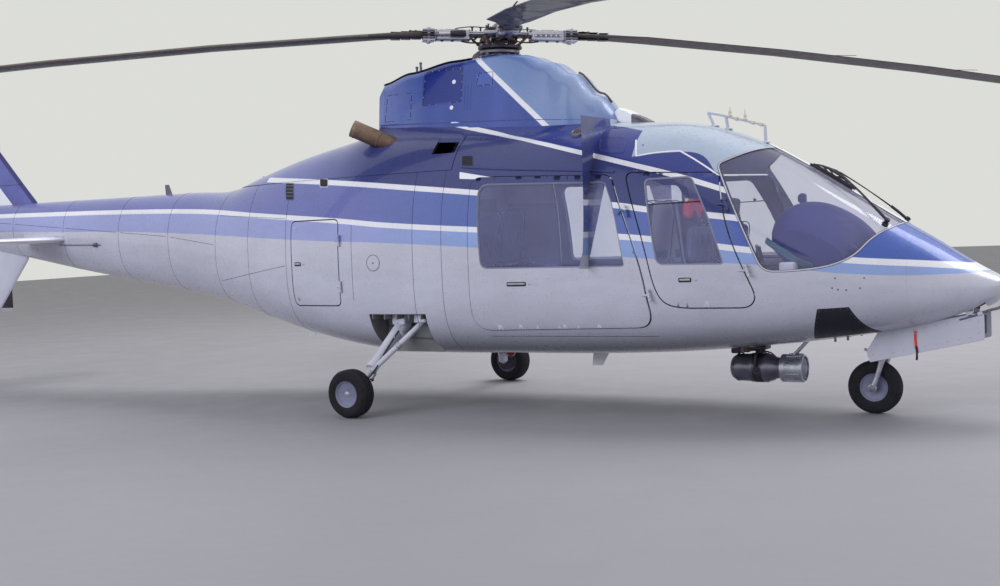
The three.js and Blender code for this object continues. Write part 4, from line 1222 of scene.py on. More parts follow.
def make_nose():
    nose = carved(loft(NOSE_JOINT + 0.3, 4400, 0, 14, 160), [block(*NOSE_WELL)], "nose_shell")
    paint_faces(nose, [LIVERY, WELL_PRIMER],
                lambda centres, normals: ~on_skin(centres, normals, 0.0, 6.0, 0.4))
    skin_shading(nose)
    piece(nose, "airframe", "body_paint", "nose_cone")


# Doors: rounded outer skin, stepped rim, trimmed back and a seal round the window
DOOR_STEP = -14
DOOR_EDGE = -12
DOOR_DEPTH = -34
GLASS_OUT = -2.0
GLASS_THICKNESS = 6.0


def door_shape(corners, window, proud, side):
    """A door's skin, proud of the body's, with its stepped rim and a trimmed back, open at its window."""
    shape = Shape()
    outer = [(DOOR_STEP, DOOR_DEPTH), (DOOR_STEP, DOOR_EDGE), (0, DOOR_EDGE), (0, proud - 2.6),
             (-0.8, proud - 0.8), (-2.6, proud)]
    rings = rim_rings(corners, outer, side)
    shape.grid(rings[:3], kind=1).grid(rings[2:])
    hole = [(2.4, proud), (0.7, proud - 0.8), (0, proud - 2.4), (0, DOOR_DEPTH + 3), (3, DOOR_DEPTH)]
    front, back = [], []
    if window:
        rings = rim_rings(window, hole, side)
        shape.grid(rings[:3]).grid(rings[2:], kind=1)
        front, back = [rounded(window, 2.4, 8, 16)], [rounded(window, 3, 8, 16)]
    shape.add(*filled(rounded(corners, -2.6, 8, 16), front, side_place(proud, side)))
    return shape.add(*filled(rounded(corners, DOOR_STEP, 8, 16), back, side_place(DOOR_DEPTH, side), 40), 1)


def hinge_shape(low, high, aft, side, moving):
    """The barrels of one door's two hinges: the middle ones on the door (moving), the others on the body."""
    shape = Shape()
    low, high = np.array(low, float), np.array(high, float)
    along = (high - low) / np.linalg.norm(high - low)
    for share in (0.22, 0.76):
        middle = low + (high - low) * share
        spans = [(-20, 20)] if moving else [(-44, -20.3), (20.3, 44)]
        for start, end in spans:
            shape.bar(middle + along * start, middle + along * end, 10, sides=18)
            root = middle + along * (0 if moving else (start + end) / 2)
            if moving:
                target = side_points(root[0] - aft, root[2], -2)
            else:
                target = side_points(root[0] + 2, root[2], -14)
            shape.bar(root, target, 8, sides=14)
        if not moving:
            shape.bar(middle - along * 45, middle - along * 43.9, 6.5, sides=12)
    return shape.on_side(side)


HINGES = {
    "cockpit": ((2975, -700, 830), (2700, -630, 1640), 68),
    "cabin": ((2300, -738, 620), (2000, -712, 1690), 68),
    "baggage": ((-400, -712, 800), (-400, -712, 1470), 44),
}


def window_seal(corners, out, side):
    """A rubber bead over the edge of a pane."""
    return Shape().grid(rim_rings(corners, [
        (-6, GLASS_OUT - 1), (-6, GLASS_OUT + 2), (-4.5, GLASS_OUT + 3.2), (0, out - 0.4), (1.5, out + 0.9),
        (3, out + 0.7), (4, out - 0.4),
    ], side))


def glass_pane(corners, side):
    """A pane a hair smaller than its opening, open at no side."""
    by, out = -0.3, GLASS_OUT
    shape = Shape().grid(rim_rings(corners, [(by, out - GLASS_THICKNESS), (by, out)], side))
    for level in (out, out - GLASS_THICKNESS):
        shape.add(*filled(rounded(corners, by, 8, 16), [], side_place(level, side), 40))
    return shape


def finish_panel(made, insets):
    """Joins a panel's parts and shades them like the skin."""
    welded(made)
    skin_shading(made, insets, 1.5, 0.85)
    return made


def make_doors():
    for name, side in SIDES:
        for kind, corners, window, proud in (
            ("cockpit", COCKPIT_DOOR, COCKPIT_WINDOW, 3), ("cabin", CABIN_DOOR, CABIN_WINDOW, 10),
        ):
            body = f"{kind}_door_{name}"
            door = door_shape(corners, window, proud, side)
            door = door.make(f"{body}_panel", [LIVERY, TRIM_GREY], 30, False)
            piece(finish_panel(door, (-proud, -DOOR_DEPTH)), body, "body_paint", body)
            hinge = hinge_shape(*HINGES[kind], side, True).make(f"{body}_hinge", [LIVERY])
            piece(hinge, body, "body_paint")
            seal = window_seal(window, proud, side).make(f"{body}_window_seal", [WINDOW_BEAD], 60)
            piece(seal, body, "tyre_rubber")
            pane = glass_pane(window, side).make(f"{body}_window", [GLASS], 30, False)
            piece(finish_panel(pane, (-GLASS_OUT, GLASS_THICKNESS - GLASS_OUT)), body, "clear_glass",
                  f"{kind}_door_glass_{name}")
            fixed = hinge_shape(*HINGES[kind], side, False).make(f"{body}_hinge_seat", [LIVERY])
            piece(fixed, "airframe", "body_paint")
    door = door_shape(BAGGAGE_DOOR, None, 2, -1).make("baggage_door_panel", [LIVERY, TRIM_GREY], 30, False)
    piece(finish_panel(door, (-2, -DOOR_DEPTH)), "baggage_door_right", "body_paint", "baggage_door_right")
    for moving, body in ((True, "baggage_door_right"), (False, "airframe")):
        made = hinge_shape(*HINGES["baggage"], -1, moving)
        piece(made.make(f"baggage_hinge_{body}", [LIVERY]), body, "body_paint")


def make_windshield():
    """Both front panes, their light frame and the post between them."""
    for name, side in SIDES:
        pane = carved(loft(2600, NOSE_JOINT, 3, 24, 160), [loft(2550, NOSE_JOINT + 50, 9, 24, 160)], "pane")
        window = side_prism(WINDSHIELD, -0.3, 22.3, side, 25)
        pane = carved(pane, [window], f"windshield_pane_{name}", "INTERSECT")
        paint_faces(pane, [WINDSHIELD_GLASS])
        skin_shading(pane, (3.0, 9.0), 1.5)
        piece(pane, "airframe", "clear_glass", f"windshield_{name}")
        loop = rounded(WINDSHIELD, 4, 10, 14)
        half, _, widest, top, upper, _ = section(loop[:, 0])
        centre_gap = 1 - (20 / half) ** upper
        reach = widest + (top - widest) * np.maximum(centre_gap, 0) ** (1 / upper)
        on_body = loop[:, 1] < reach
        start = int(np.argmax(~on_body & np.roll(on_body, -1))) + 1
        order = [(start + k) % len(loop) for k in range(int(on_body.sum()))]
        edge = side_points(loop[order, 0], loop[order, 1], 0, side)
        frame_strip = Shape().ribbon(edge, 9, 2.4)
        frame_strip.join(Shape().ribbon(edge, 15, 1.0, kind=1))
        made = frame_strip.make(f"windshield_frame_{name}", [SILVER_PAINT, SEAL_RUBBER], 40)
        piece(made, "airframe", "body_paint")
    stations = np.linspace(2870, 3776, 60)
    middle = skin_points(stations, np.full(60, math.pi / 2))
    post = Shape().ribbon(middle, 54, 4, sunk=24)
    post.join(Shape().ribbon(middle, 62, 1.5, kind=1))
    piece(post.make("windshield_post", [WHITE_PAINT, SEAL_RUBBER], 40), "airframe", "body_paint")


make_fuselage()
make_nose()
make_doors()
make_windshield()


# Engine cowl, fairing round the mast, engines and exhausts. The fairing's rows are its station along X,
# the height of its top, and its half width at the base and at the top.
PYLON = np.array([
    [-270, 2470, 300, 250], [-255, 2535, 305, 225], [0, 2600, 325, 215], [400, 2655, 335, 205],
    [800, 2668, 335, 200], [1000, 2650, 332, 198], [1200, 2580, 324, 193], [1380, 2480, 308, 185],
    [1580, 2298, 275, 168], [1785, 2108, 180, 110],
])
PYLON_FLOOR = 1990
EXHAUST_FROM = np.array([-86.0, -345, 2030])
EXHAUST_TO = np.array([-367.0, -500, 2183])
EXHAUST_RADIUS = 68
EXHAUST_FOOT = 1896           # the pipes are cut off below this height, inside the cowl
def exhaust_at(share):
    return EXHAUST_FROM + (EXHAUST_TO - EXHAUST_FROM) * share


def smooth_rows(table, stations):
    """Each column of a table at the stations, on a curve that doesn't overshoot its rows."""
    x = table[:, 0]
    rise = np.diff(table[:, 1:], axis=0) / np.diff(x)[:, None]
    slopes = np.empty_like(table[:, 1:])
    slopes[0], slopes[-1] = rise[0], rise[-1]
    for i in range(1, len(x) - 1):
        left, right = x[i] - x[i - 1], x[i + 1] - x[i]
        before, after = 2 * right + left, right + 2 * left
        same_way = rise[i - 1] * rise[i] > 0
        safe = np.where(same_way, rise[i - 1], 1.0), np.where(same_way, rise[i], 1.0)
        slopes[i] = np.where(same_way, (before + after) / (before / safe[0] + after / safe[1]), 0.0)
    return table_curve(table, slopes, stations)


def pylon_at(x):
    """The fairing's top, half width at its base and at its top, at one station."""
    return smooth_rows(PYLON, np.array([float(x)]))[0]


def pylon_shoulder(x):
    """The rounding of the fairing's upper edges, wider towards the front."""
    share = np.clip((x - 700) / 700, 0, 1)
    return 60 + 70 * share * share * (3 - 2 * share)


def pylon_side(x, top, base, crown, inset=0.0):
    """Half of one fairing section, from its foot up over the shoulder to the middle of its top."""
    shoulder = float(pylon_shoulder(x))
    half, upper, head = base - inset, crown - inset, top - inset
    bend = upper + (half - upper) * 0.15
    rise = head - shoulder - PYLON_FLOOR
    wall = [(half + (bend - half) * t, PYLON_FLOOR + rise * t) for t in np.linspace(0, 1, 12)]
    start, end = np.array([bend, head - shoulder]), np.array([upper - shoulder, head])
    corner = np.array([upper + 2, head])
    steps = np.linspace(0, 1, 11)[1:]
    curve = [(1 - t) ** 2 * start + 2 * t * (1 - t) * corner + t ** 2 * end for t in steps]
    flat = [((upper - shoulder) * (1 - t), head) for t in np.linspace(0, 1, 5)[1:]]
    return np.array(wall + [tuple(p) for p in curve] + flat)


def pylon_loft(inset=0.0, first=-270.0, last=1785.0, count=84):
    stations = np.linspace(first, last, count)
    rings = []
    for x, (top, base, crown) in zip(stations, smooth_rows(PYLON, stations)):
        side = pylon_side(x, top, base, crown, inset)
        left = [(x, y, z) for y, z in side]
        right = [(x, -y, z) for y, z in side[:-1][::-1]]
        rings.append(left + right)
    return Shape().grid(rings, caps=True)


def pylon_point(x, height, out=0.0, side=-1):
    """A point on the fairing's flat wall at a station and height."""
    top, base, crown = pylon_at(x)
    bend = crown + (base - crown) * 0.15
    share = (height - PYLON_FLOOR) / (top - pylon_shoulder(x) - PYLON_FLOOR)
    return np.array([x, side * (base + (bend - base) * min(share, 1.0) + out), height])


SKIRT_TOP = [(-262, 2213), (-50, 2202), (692, 2167), (1179, 2143), (1545, 2114), (1780, 2100)]
SKIRT_SPREAD = 110


def skirt_ring(x, side):
    """The concave foot of the fairing at a station, closed below the skin."""
    high = pylon_point(x, float(np.interp(x, *zip(*SKIRT_TOP))), 0, side)
    across = abs(high[1])
    lift = 4.0 if x < DECK_FRONT else 0.0
    bend, low = roof_point(x, side * across, lift), roof_point(x, side * (across + SKIRT_SPREAD), lift)
    t = np.linspace(0, 1, 14)[:, None]
    curve = (1 - t) ** 2 * (high + (0, side, 0)) + 2 * t * (1 - t) * bend + t ** 2 * low
    under = [low - (0, 0, 8), bend - (0, side * 12, 12), high - (0, side * 12, 4)]
    return np.vstack([curve, under])


PYLON_LINE = (600.0, 2655.0)       # where the white stripe leaves the fairing's top
PYLON_LINE_RUN = 1.108             # its run along X for each unit it falls
def pylon_paint():
    """Dark blue behind a slanting white stripe, and paler blue in front of it, with a painted sheen on the
    rear end and a painted highlight on the upper front.
    """
    nodes = Nodes("pylon_paint")
    x, _, z = nodes.axes()
    fall = nodes.minus(PYLON_LINE[1] * MM, z)
    line = nodes.math("MULTIPLY_ADD", fall, PYLON_LINE_RUN, PYLON_LINE[0] * MM)
    beyond = nodes.product(nodes.minus(x, line), 1 / math.hypot(1, PYLON_LINE_RUN))
    streaks = nodes.noise(3.0, 3.0, 0.6, stretch=(1, 1, 0.2))

    def patch(x0, x1, z0, z1):
        soft = 0.012
        return nodes.product(
            nodes.ramp(x, x0 - soft, x0 + soft), nodes.ramp(x, x1 + soft, x1 - soft),
            nodes.ramp(z, z0 - soft, z0 + soft), nodes.ramp(z, z1 + soft, z1 - soft),
        )

    rear = nodes.mix(nodes.ramp(streaks, 0.3, 0.7), srgb(48, 70, 146), srgb(64, 86, 162))
    # Painted sheen: towards its sloping rear end the dark blue fades to a pale blue.
    rear = nodes.mix(nodes.ramp(x, 0.2, -0.2, 0, 0.75), rear, srgb(118, 132, 188))
    rear = nodes.mix(nodes.product(patch(0.150, 0.510, 2.330, 2.660), 0.92), rear, srgb(16, 38, 124))
    rear = nodes.mix(nodes.product(patch(0.640, 0.785, 2.440, 2.535), 0.6), rear, srgb(70, 96, 178))
    front = nodes.mix(nodes.ramp(beyond, 0.02, 0.55), srgb(114, 138, 186), srgb(78, 104, 170))
    # Painted highlight: the upper front of the fairing whitens, for sky glare on its rounded front.
    front_highlight = nodes.product(nodes.ramp(x, 1.0, 1.75), nodes.ramp(z, 2.08, 2.30))
    front = nodes.mix(nodes.product(front_highlight, 0.7), front, srgb(172, 186, 210))
    colour = nodes.mix(nodes.ramp(beyond, -PAINT_EDGE, PAINT_EDGE), rear, WHITE)
    colour = nodes.mix(nodes.ramp(beyond, 0.036, 0.040), colour, front)
    nodes.set(Base_Color=colour, Metallic=0.1, Coat_Weight=0.6, Coat_Roughness=0.05)
    nodes.set(Roughness=nodes.ramp(nodes.noise(20.0, 4.0, 0.6), 0.3, 0.7, 0.24, 0.36))
    nodes.bump(nodes.noise(5.0, 2.0, 0.5), 0.0012, 0.35)
    return nodes.material


def heat_paint():
    """Steel tinted by heat: tan at the mouth, browner and darker towards the engine."""
    nodes = Nodes("heat_tinted_steel")
    z = nodes.add("ShaderNodeSeparateXYZ", {0: nodes.place}, output="Z")
    height = nodes.ramp(z, 2.02, 2.24)
    mottle = nodes.ramp(nodes.noise(16.0, 5.0, 0.7), 0.3, 0.7)
    tan = nodes.mix(mottle, srgb(150, 124, 104), srgb(186, 166, 148))
    brown = nodes.mix(mottle, srgb(92, 72, 66), srgb(124, 98, 84))
    nodes.set(Base_Color=nodes.mix(height, brown, tan), Metallic=0.75)
    nodes.set(Roughness=nodes.ramp(nodes.noise(50.0, 3.0, 0.6), 0.3, 0.7, 0.36, 0.6))
    nodes.bump(nodes.noise(300.0, 2.0, 0.6), 0.0004, 0.5)
    return nodes.material


PYLON_PAINT = pylon_paint()
HEAT_STEEL = heat_paint()
# Soot in the exhausts, and the same near-black on the hidden and cut faces of the cowl and fairing: painted
# shade in their hollows.
SOOT_AND_HOLLOW_SHADE = worn("soot_and_hollow_shade", srgb(30, 26, 26), 0.9, tone=0.3, grain=0.0006)
ENGINE_METAL = worn("engine_block", srgb(70, 70, 76), 0.5, 0.5, tone=0.25, tone_scale=12)


def make_cowl():
    """The engine cowl over the deck, with its two intakes and the holes of the exhausts and the mast."""
    inside_skin = loft(BOOM_JOINT - 50, DECK_FRONT - 14, 14, 60, 112)
    cowl = loft(BOOM_JOINT, DECK_FRONT - 0.3, -4, 36, 176)
    holes = [inside_skin, block(-3000, 2000, -BESIDE, BESIDE, 0, DECK_HEIGHT + 0.3)]
    holes += [block(*INTAKE), block(*other_side(INTAKE)), block(-200, 1200, -150, 150, 1700, 2400)]
    for turned in (1, -1):
        start, end = exhaust_at(-0.3) * (1, turned, 1), exhaust_at(1.3) * (1, turned, 1)
        holes.append(Shape().bar(start, end, EXHAUST_RADIUS + 5, sides=48, edge=0.5))
    made = carved(cowl, holes, "cowl_shell")
    # Faces off the outer skin, inside the cowl and round its holes, are painted near-black: painted shade in
    # the hollows and soot round the exhausts.
    paint_faces(made, [LIVERY, SOOT_AND_HOLLOW_SHADE], lambda centres, normals: ~on_skin(centres, normals, -4.0))
    skin_shading(made, (-4.0, 14.0))
    piece(made, "airframe", "body_paint", "engine_cowl")


def make_pylon():
    """The fairing round the mast, its concave foot on the roof, its panels and the collar at its top."""
    low, high = (ROTOR_HUB[0], 0, 2200), (ROTOR_HUB[0], 0, 2800)
    tools = [
        pylon_loft(22, -245, 1600, 60), Shape().bar(low, high, 165, sides=64, edge=0.5),
        loft(BOOM_JOINT, DECK_FRONT, -4.3, 60, 128), loft(BOOM_JOINT, NOSE_JOINT, -0.3, 60, 128),
    ]
    made = carved(pylon_loft(), tools, "pylon_shell")

    # Faces inside the fairing and round the mast's hole are painted near-black: painted shade in the hollow.
    def choose(centres, normals):
        x, y, z = centres.T
        away = normals[:, 1] * y + normals[:, 2] * (z - 2200) > 0
        in_mast = np.hypot(x - ROTOR_HUB[0], y) < 168
        return ~(away | (x < -262) | (x > 1600)) | in_mast

    paint_faces(made, [PYLON_PAINT, SOOT_AND_HOLLOW_SHADE], choose)
    smoothed(made.data, 35)
    piece(made, "airframe", "blue_paint", "mast_fairing")

    skirt = Shape()
    for side in (-1, 1):
        skirt.grid([skirt_ring(x, side) for x in np.linspace(SKIRT_TOP[0][0], SKIRT_TOP[-1][0], 72)],
                   caps=True)
    piece(skirt.make("pylon_skirt", [LIVERY], 50), "airframe", "body_paint")

    trim = Shape()
    for side in (-1, 1):
        stations = np.linspace(-258, 560, 40)
        rows = smooth_rows(PYLON, stations)
        path = [(x, side * (crown - 34), top - 3) for x, (top, _, crown) in zip(stations, rows)]
        trim.ribbon(path, 30, 9, normals=(0, side * -0.35, 0.94))
        panels = [((150, 510), (2330, 2590)), ((-215, 40), (2230, 2440)), ((640, 785), (2440, 2535))]
        for (x0, x1), (z0, z1) in panels:
            corners = [(x0, z0), (x1, z0), (x1, z1), (x0 + 20, z1)]
            loop = np.array([pylon_point(x, z, 0.5, side) for x, z in corners])
            path = path_points(np.vstack([loop, loop[:1]]), 30, smooth=False)[:-1]
            trim.ribbon(path, 4, 0.8, normals=(0, side, 0.16), closed=True, kind=1)
            heads = spaced(np.vstack([path, path[:1]]), 62)
            trim.dots(heads, (0, side, 0.16), 4, 1.2, kind=2)
        for x in (540, 568, 596):
            path = [pylon_point(x, z, 0, side) for z in np.linspace(2260, 2455, 12)]
            trim.ribbon(path, 7, 2.2, normals=(0, side, 0.16), kind=3)
        for x, z in ((437, 2490), (427, 2291)):
            spot = pylon_point(x, z, 0, side)
            trim.lathe([(-1, 17), (2, 17), (4, 14), (3, 9)], spot, (0, side, 0.16), 24, 4)
    piece(trim.make("pylon_trim", [BLACK_PAINT_AND_VENT_SHADE, SEAM_DARK, BARE_METAL, PYLON_PAINT, WHITE_PAINT, DARK_METAL]),
          "airframe", "blue_paint")

    collar = Shape()
    top = pylon_at(ROTOR_HUB[0])[0]
    collar.lathe([(0, 166), (3, 186), (5, 186), (7, 180), (8, 170), (3, 164)], (ROTOR_HUB[0], 0, top - 2),
                 (0, 0, 1), 72, closed=True)
    for way in spokes(18):
        collar.lathe([(0, 6), (3, 6), (4.5, 4)], (ROTOR_HUB[0], 0, top + 5) + way * 176, UP, 6, 1)
    piece(collar.make("mast_collar", [BLUE_PAINT, BARE_METAL]), "airframe", "dark_metal")


def keep_above(made, height):
    """Cuts away what lies under a height."""
    def cut(work):
        bmesh.ops.bisect_plane(work, geom=work.verts[:] + work.edges[:] + work.faces[:],
                               plane_co=(0, 0, height * MM), plane_no=UP, clear_inner=True)

    return edited(made, cut)


def make_exhausts():
    """Two open pipes with a clamp and a rolled mouth, sooty inside."""
    start, end = exhaust_at(-0.95), exhaust_at(1.0)
    length = np.linalg.norm(end - start)
    along, first, second = basis(end - start)
    around = circle(56, first, second)
    r = EXHAUST_RADIUS
    outer = [
        (0, r), (length * 0.55, r), (length * 0.66, r), (length * 0.665, r + 3.5),
        (length * 0.675, r + 3.5), (length * 0.68, r), (length - 34, r), (length - 30, r + 2.5),
        (length - 24, r + 2.5), (length - 20, r), (length - 6, r), (length - 2, r + 1.6), (length, r),
    ]
    inner = [(length, r), (length - 0.6, r - 4), (length - 8, r - 5.5), (length * 0.3, r - 6)]
    outside, inside_rings = (
        [start + along * distance + around * radius for distance, radius in profile]
        for profile in (outer, inner)
    )
    pipe = Shape().grid(outside).grid(inside_rings, kind=1)
    pipe.add(np.vstack([inside_rings[-1], start + along * length * 0.3]),
             [(k, (k + 1) % 56, 56) for k in range(56)], 1)
    for name, side in SIDES:
        made = pipe.on_side(side).make(f"exhaust_pipe_{name}", [HEAT_STEEL, SOOT_AND_HOLLOW_SHADE], 40, False)
        piece(keep_above(made, EXHAUST_FOOT), "airframe", "hot_metal", f"exhaust_{name}")


def make_engines():
    shape = Shape()
    for side in (-1, 1):
        y0, y1 = sorted((side * 445, side * 25))
        shape.slab(-700, 250, y0, y1, ENGINE_BAY[4] + 0.3, 1895, 24)
        for x in (-560, -380, -200, -20, 140):
            shape.slab(x, x + 26, y0 + 14, y1 - 14, ENGINE_BAY[4] + 30, 1904, 5, 1)
        shape.bar((200, side * 200, 1818), (650, side * 80, 2010), 35, sides=28, kind=1)
    shape.slab(610, 870, -170, 170, 1910.3, 2390, 22)
    for z in (2010, 2130, 2250, 2350):
        shape.slab(602, 878, -178, 178, z, z + 16, 4, 1)
    tilt = math.radians(ROTOR_TILT)
    axis = np.array([math.sin(tilt), 0, math.cos(tilt)])
    hub = np.array(ROTOR_HUB, float)
    shape.bar(hub - axis * 500, hub - axis * 405.3, 130, sides=48, kind=1)
    piece(shape.make("engine_blocks", [ENGINE_METAL, DULL_METAL]), "airframe", "dark_metal",
          "engines_and_gearbox")


# Tail boom, tailplane and fins
TAILPLANE_HEIGHT = 1420
TAILPLANE_FRONT = -4090
TAILPLANE_BACK = -4680
TAILPLANE_SWEEP = 60
TAILPLANE_REACH = 1440
UPPER_FIN = [
    (-4690, -6250, 1780, 70), (-4870, -6310, 1960, 80), (-6055, -6615, 3200, 46), (-6120, -6600, 3255, 24),
]
LOWER_FIN = [
    (-4780, -6215, 1500, 70), (-4900, -6170, 1232, 78), (-5450, -6000, 650, 50), (-5520, -5960, 600, 26),
]
FOIL = np.array([
    [0, 0], [0.006, 0.24], [0.02, 0.42], [0.05, 0.62], [0.1, 0.8], [0.18, 0.94], [0.3, 1.0], [0.42, 0.96],
    [0.55, 0.84], [0.68, 0.66], [0.8, 0.45], [0.9, 0.26], [0.97, 0.12],
])


def foil_ring(leading, trailing, thickness, across):
    """One section of a wing-like part between its leading and trailing point."""
    leading, trailing = np.asarray(leading, float), np.asarray(trailing, float)
    chord = trailing - leading
    upper = [leading + chord * a + across * (h * thickness / 2) for a, h in FOIL]
    lower = [leading + chord * a - across * (h * thickness / 2) for a, h in FOIL[1:][::-1]]
    return np.array(upper + lower)


def between(rows, count):
    """Rows filled in between with straight runs."""
    rows = np.asarray(rows, float)
    full = []
    for a, b in zip(rows, rows[1:]):
        full.extend(a + (b - a) * k / count for k in range(count))
    full.append(rows[-1])
    return full


def fin_paint():
    """Dark blue with a pale slanting stripe, and a worn leading edge."""
    nodes = Nodes("fin_paint")
    x, _, z = nodes.axes()
    rise = nodes.math("MULTIPLY_ADD", nodes.minus(z, 1.78), 0.955, 0.0)
    behind_edge = nodes.minus(nodes.minus(-4.69, rise), x)
    edge = nodes.ramp(behind_edge, 0.05, 0.07)
    deep = nodes.mix(nodes.ramp(nodes.noise(3.0, 3.0, 0.6), 0.3, 0.7), srgb(70, 76, 148), srgb(96, 102, 170))
    colour = nodes.mix(edge, srgb(44, 46, 104), deep)
    stripe = nodes.product(nodes.ramp(behind_edge, 0.34, 0.346), nodes.ramp(behind_edge, 0.62, 0.614))
    colour = nodes.mix(stripe, colour, WHITE)
    nodes.set(Base_Color=colour, Metallic=0.1, Coat_Weight=0.5, Coat_Roughness=0.06)
    nodes.set(Roughness=nodes.ramp(nodes.noise(20.0, 4.0, 0.6), 0.3, 0.7, 0.26, 0.4))
    nodes.bump(nodes.noise(6.0, 2.0, 0.5), 0.001, 0.3)
    return nodes.material


FIN_PAINT = fin_paint()


def tailplane_shape(extra=0.0):
    """The tailplane from tip to tip, thicker by extra all round where it is used for cutting."""
    tip = (TAILPLANE_SWEEP, 36)
    rows = [(-TAILPLANE_REACH, *tip), (-250, 0, 66), (250, 0, 66), (TAILPLANE_REACH, *tip)]
    rings = [
        foil_ring((TAILPLANE_FRONT - sweep + extra, y, TAILPLANE_HEIGHT),
                  (TAILPLANE_BACK - extra, y, TAILPLANE_HEIGHT), depth + 2 * extra, UP)
        for y, sweep, depth in between(rows, 12)
    ]
    return Shape().grid(rings, caps=True)


def fin_shape(levels):
    rings = [
        foil_ring((leading, 0, z), (trailing, 0, z), thickness, np.array([0, 1.0, 0]))
        for leading, trailing, z, thickness in between(levels, 14)
    ]
    return Shape().grid(rings, caps=True)


def make_tail():
    """The boom, the tailplane and both fins, with their hinge lines, cuffs, tips and skid."""
    hollow = loft(SECTIONS[0, 0] + 20, BOOM_JOINT + 50, 7, 80, 80)
    boom = carved(loft(SECTIONS[0, 0], BOOM_JOINT - 0.3, 0, 36, 144),
                  [hollow, tailplane_shape(1.0)], "boom_shell")
    paint_faces(boom, [LIVERY, WELL_PRIMER], lambda centres, normals: (
        ~on_skin(centres, normals) & (centres[:, 0] >= SECTIONS[0, 0] + 1)))
    skin_shading(boom, (0.0, 7.0))
    piece(boom, "airframe", "body_paint", "tail_boom")
    plane = tailplane_shape().make("tailplane_skin", [WHITE_PAINT], 30)
    piece(plane, "airframe", "white_paint", "tailplane")
    outline = loft(SECTIONS[0, 0], BOOM_JOINT - 0.3, -0.3, 60, 96)
    upper = carved(fin_shape(UPPER_FIN), [outline, block(-6700, SECTIONS[0, 0] - 0.3, -200, 200, 1400, 1900)],
                   "upper_fin_skin")
    paint_faces(upper, [FIN_PAINT])
    lower = carved(fin_shape(LOWER_FIN), [loft(SECTIONS[0, 0], BOOM_JOINT - 0.3, -0.3, 60, 96)],
                   "lower_fin_skin")
    paint_faces(lower, [SILVER_PAINT])
    for made, slot, node in ((upper, "blue_paint", "upper_fin"), (lower, "body_paint", "lower_fin")):
        smoothed(made.data, 32)
        piece(made, "airframe", slot, node)

    extra = Shape()
    for side in (-1, 1):
        for sign in (-1, 1):
            ends = ((330, 20.5), (1400, 12.0))
            hinge_line = [(-4500, side * y, TAILPLANE_HEIGHT + sign * depth) for y, depth in ends]
            extra.ribbon(path_points(hinge_line, 60, False), 5, 0.8, normals=(0, 0, sign))
        cuff = [(-4060, -46), (-4060, 46), (-4700, 46), (-4700, -46), (-4060, -46)]
        cuff = [side_points(x, TAILPLANE_HEIGHT + rise, 0, side) for x, rise in cuff]
        extra.ribbon(path_points(cuff, 24, False)[:-1], 26, 3, closed=True, kind=1)
        extra.tube([(x, side * TAILPLANE_REACH, TAILPLANE_HEIGHT) for x in (-4148, -4660)], 9, 12, 2)
        for x in (-4300, -4480, -4620):
            wick = [(x - out, side * 1400, TAILPLANE_HEIGHT - drop) for out, drop in ((60, 4), (120, 8))]
            extra.tube(wick, 2.2, 6, 3)
    skid = [(-5560, 0, 640), (-5700, 0, 560), (-5900, 0, 590), (-6000, 0, 700)]
    extra.tube(skid, 15, 14, 3)
    for z in (1990, 2300, 2600, 2900, 3140):
        for side in (-1, 1):
            share = (z - 1960) / (3200 - 1960)
            lead, trail = -4870 - 1185 * share, -6310 - 305 * share
            thick = 80 - 34 * share
            path = [(lead + (trail - lead) * a, side * h * thick / 2, z) for a, h in FOIL[1:]]
            extra.ribbon(path, 4, 0.7, normals=(0, side, 0))
    piece(extra.make("tail_details", [SEAM_DARK, SILVER_PAINT, WHITE_PAINT, DARK_METAL]),
          "airframe", "body_paint")


make_cowl()
make_pylon()
make_exhausts()
make_engines()
make_tail()


# Main rotor: built flat about its hub's centre, X out along the blade, then turned and tilted
SWASHPLATE = -120
STEEL_EDGE_FROM = 1000
MAST_FOOT = -405
BLADE_SECTIONS = [
    (BLADE_ROOT, 110, 60, 11), (860, 200, 50, 24), (1120, BLADE_CHORD, 44, 42), (2200, BLADE_CHORD, 42, 128),
    (3400, BLADE_CHORD, 40, 250), (4600, BLADE_CHORD, 36, 395), (5420, BLADE_CHORD, 30, 505),
    (ROTOR_RADIUS, 250, 14, 515),
]


def rotor_turn(degrees=0.0):
    """From the rotor's own axes to its place, turned on by that much."""
    return (
        Matrix.Translation(Vector(ROTOR_HUB)) @ Matrix.Rotation(math.radians(ROTOR_TILT), 4, "Y")
        @ Matrix.Rotation(math.radians(ROTOR_AZIMUTH + degrees), 4, "Z")
    )


def boxed(low, high, bottom, top, edge):
    """A rectangle with cut corners, as eight pairs."""
    return [(low, bottom + edge), (low, top - edge), (low + edge, top), (high - edge, top),
            (high, top - edge), (high, bottom + edge), (high - edge, bottom), (low + edge, bottom)]


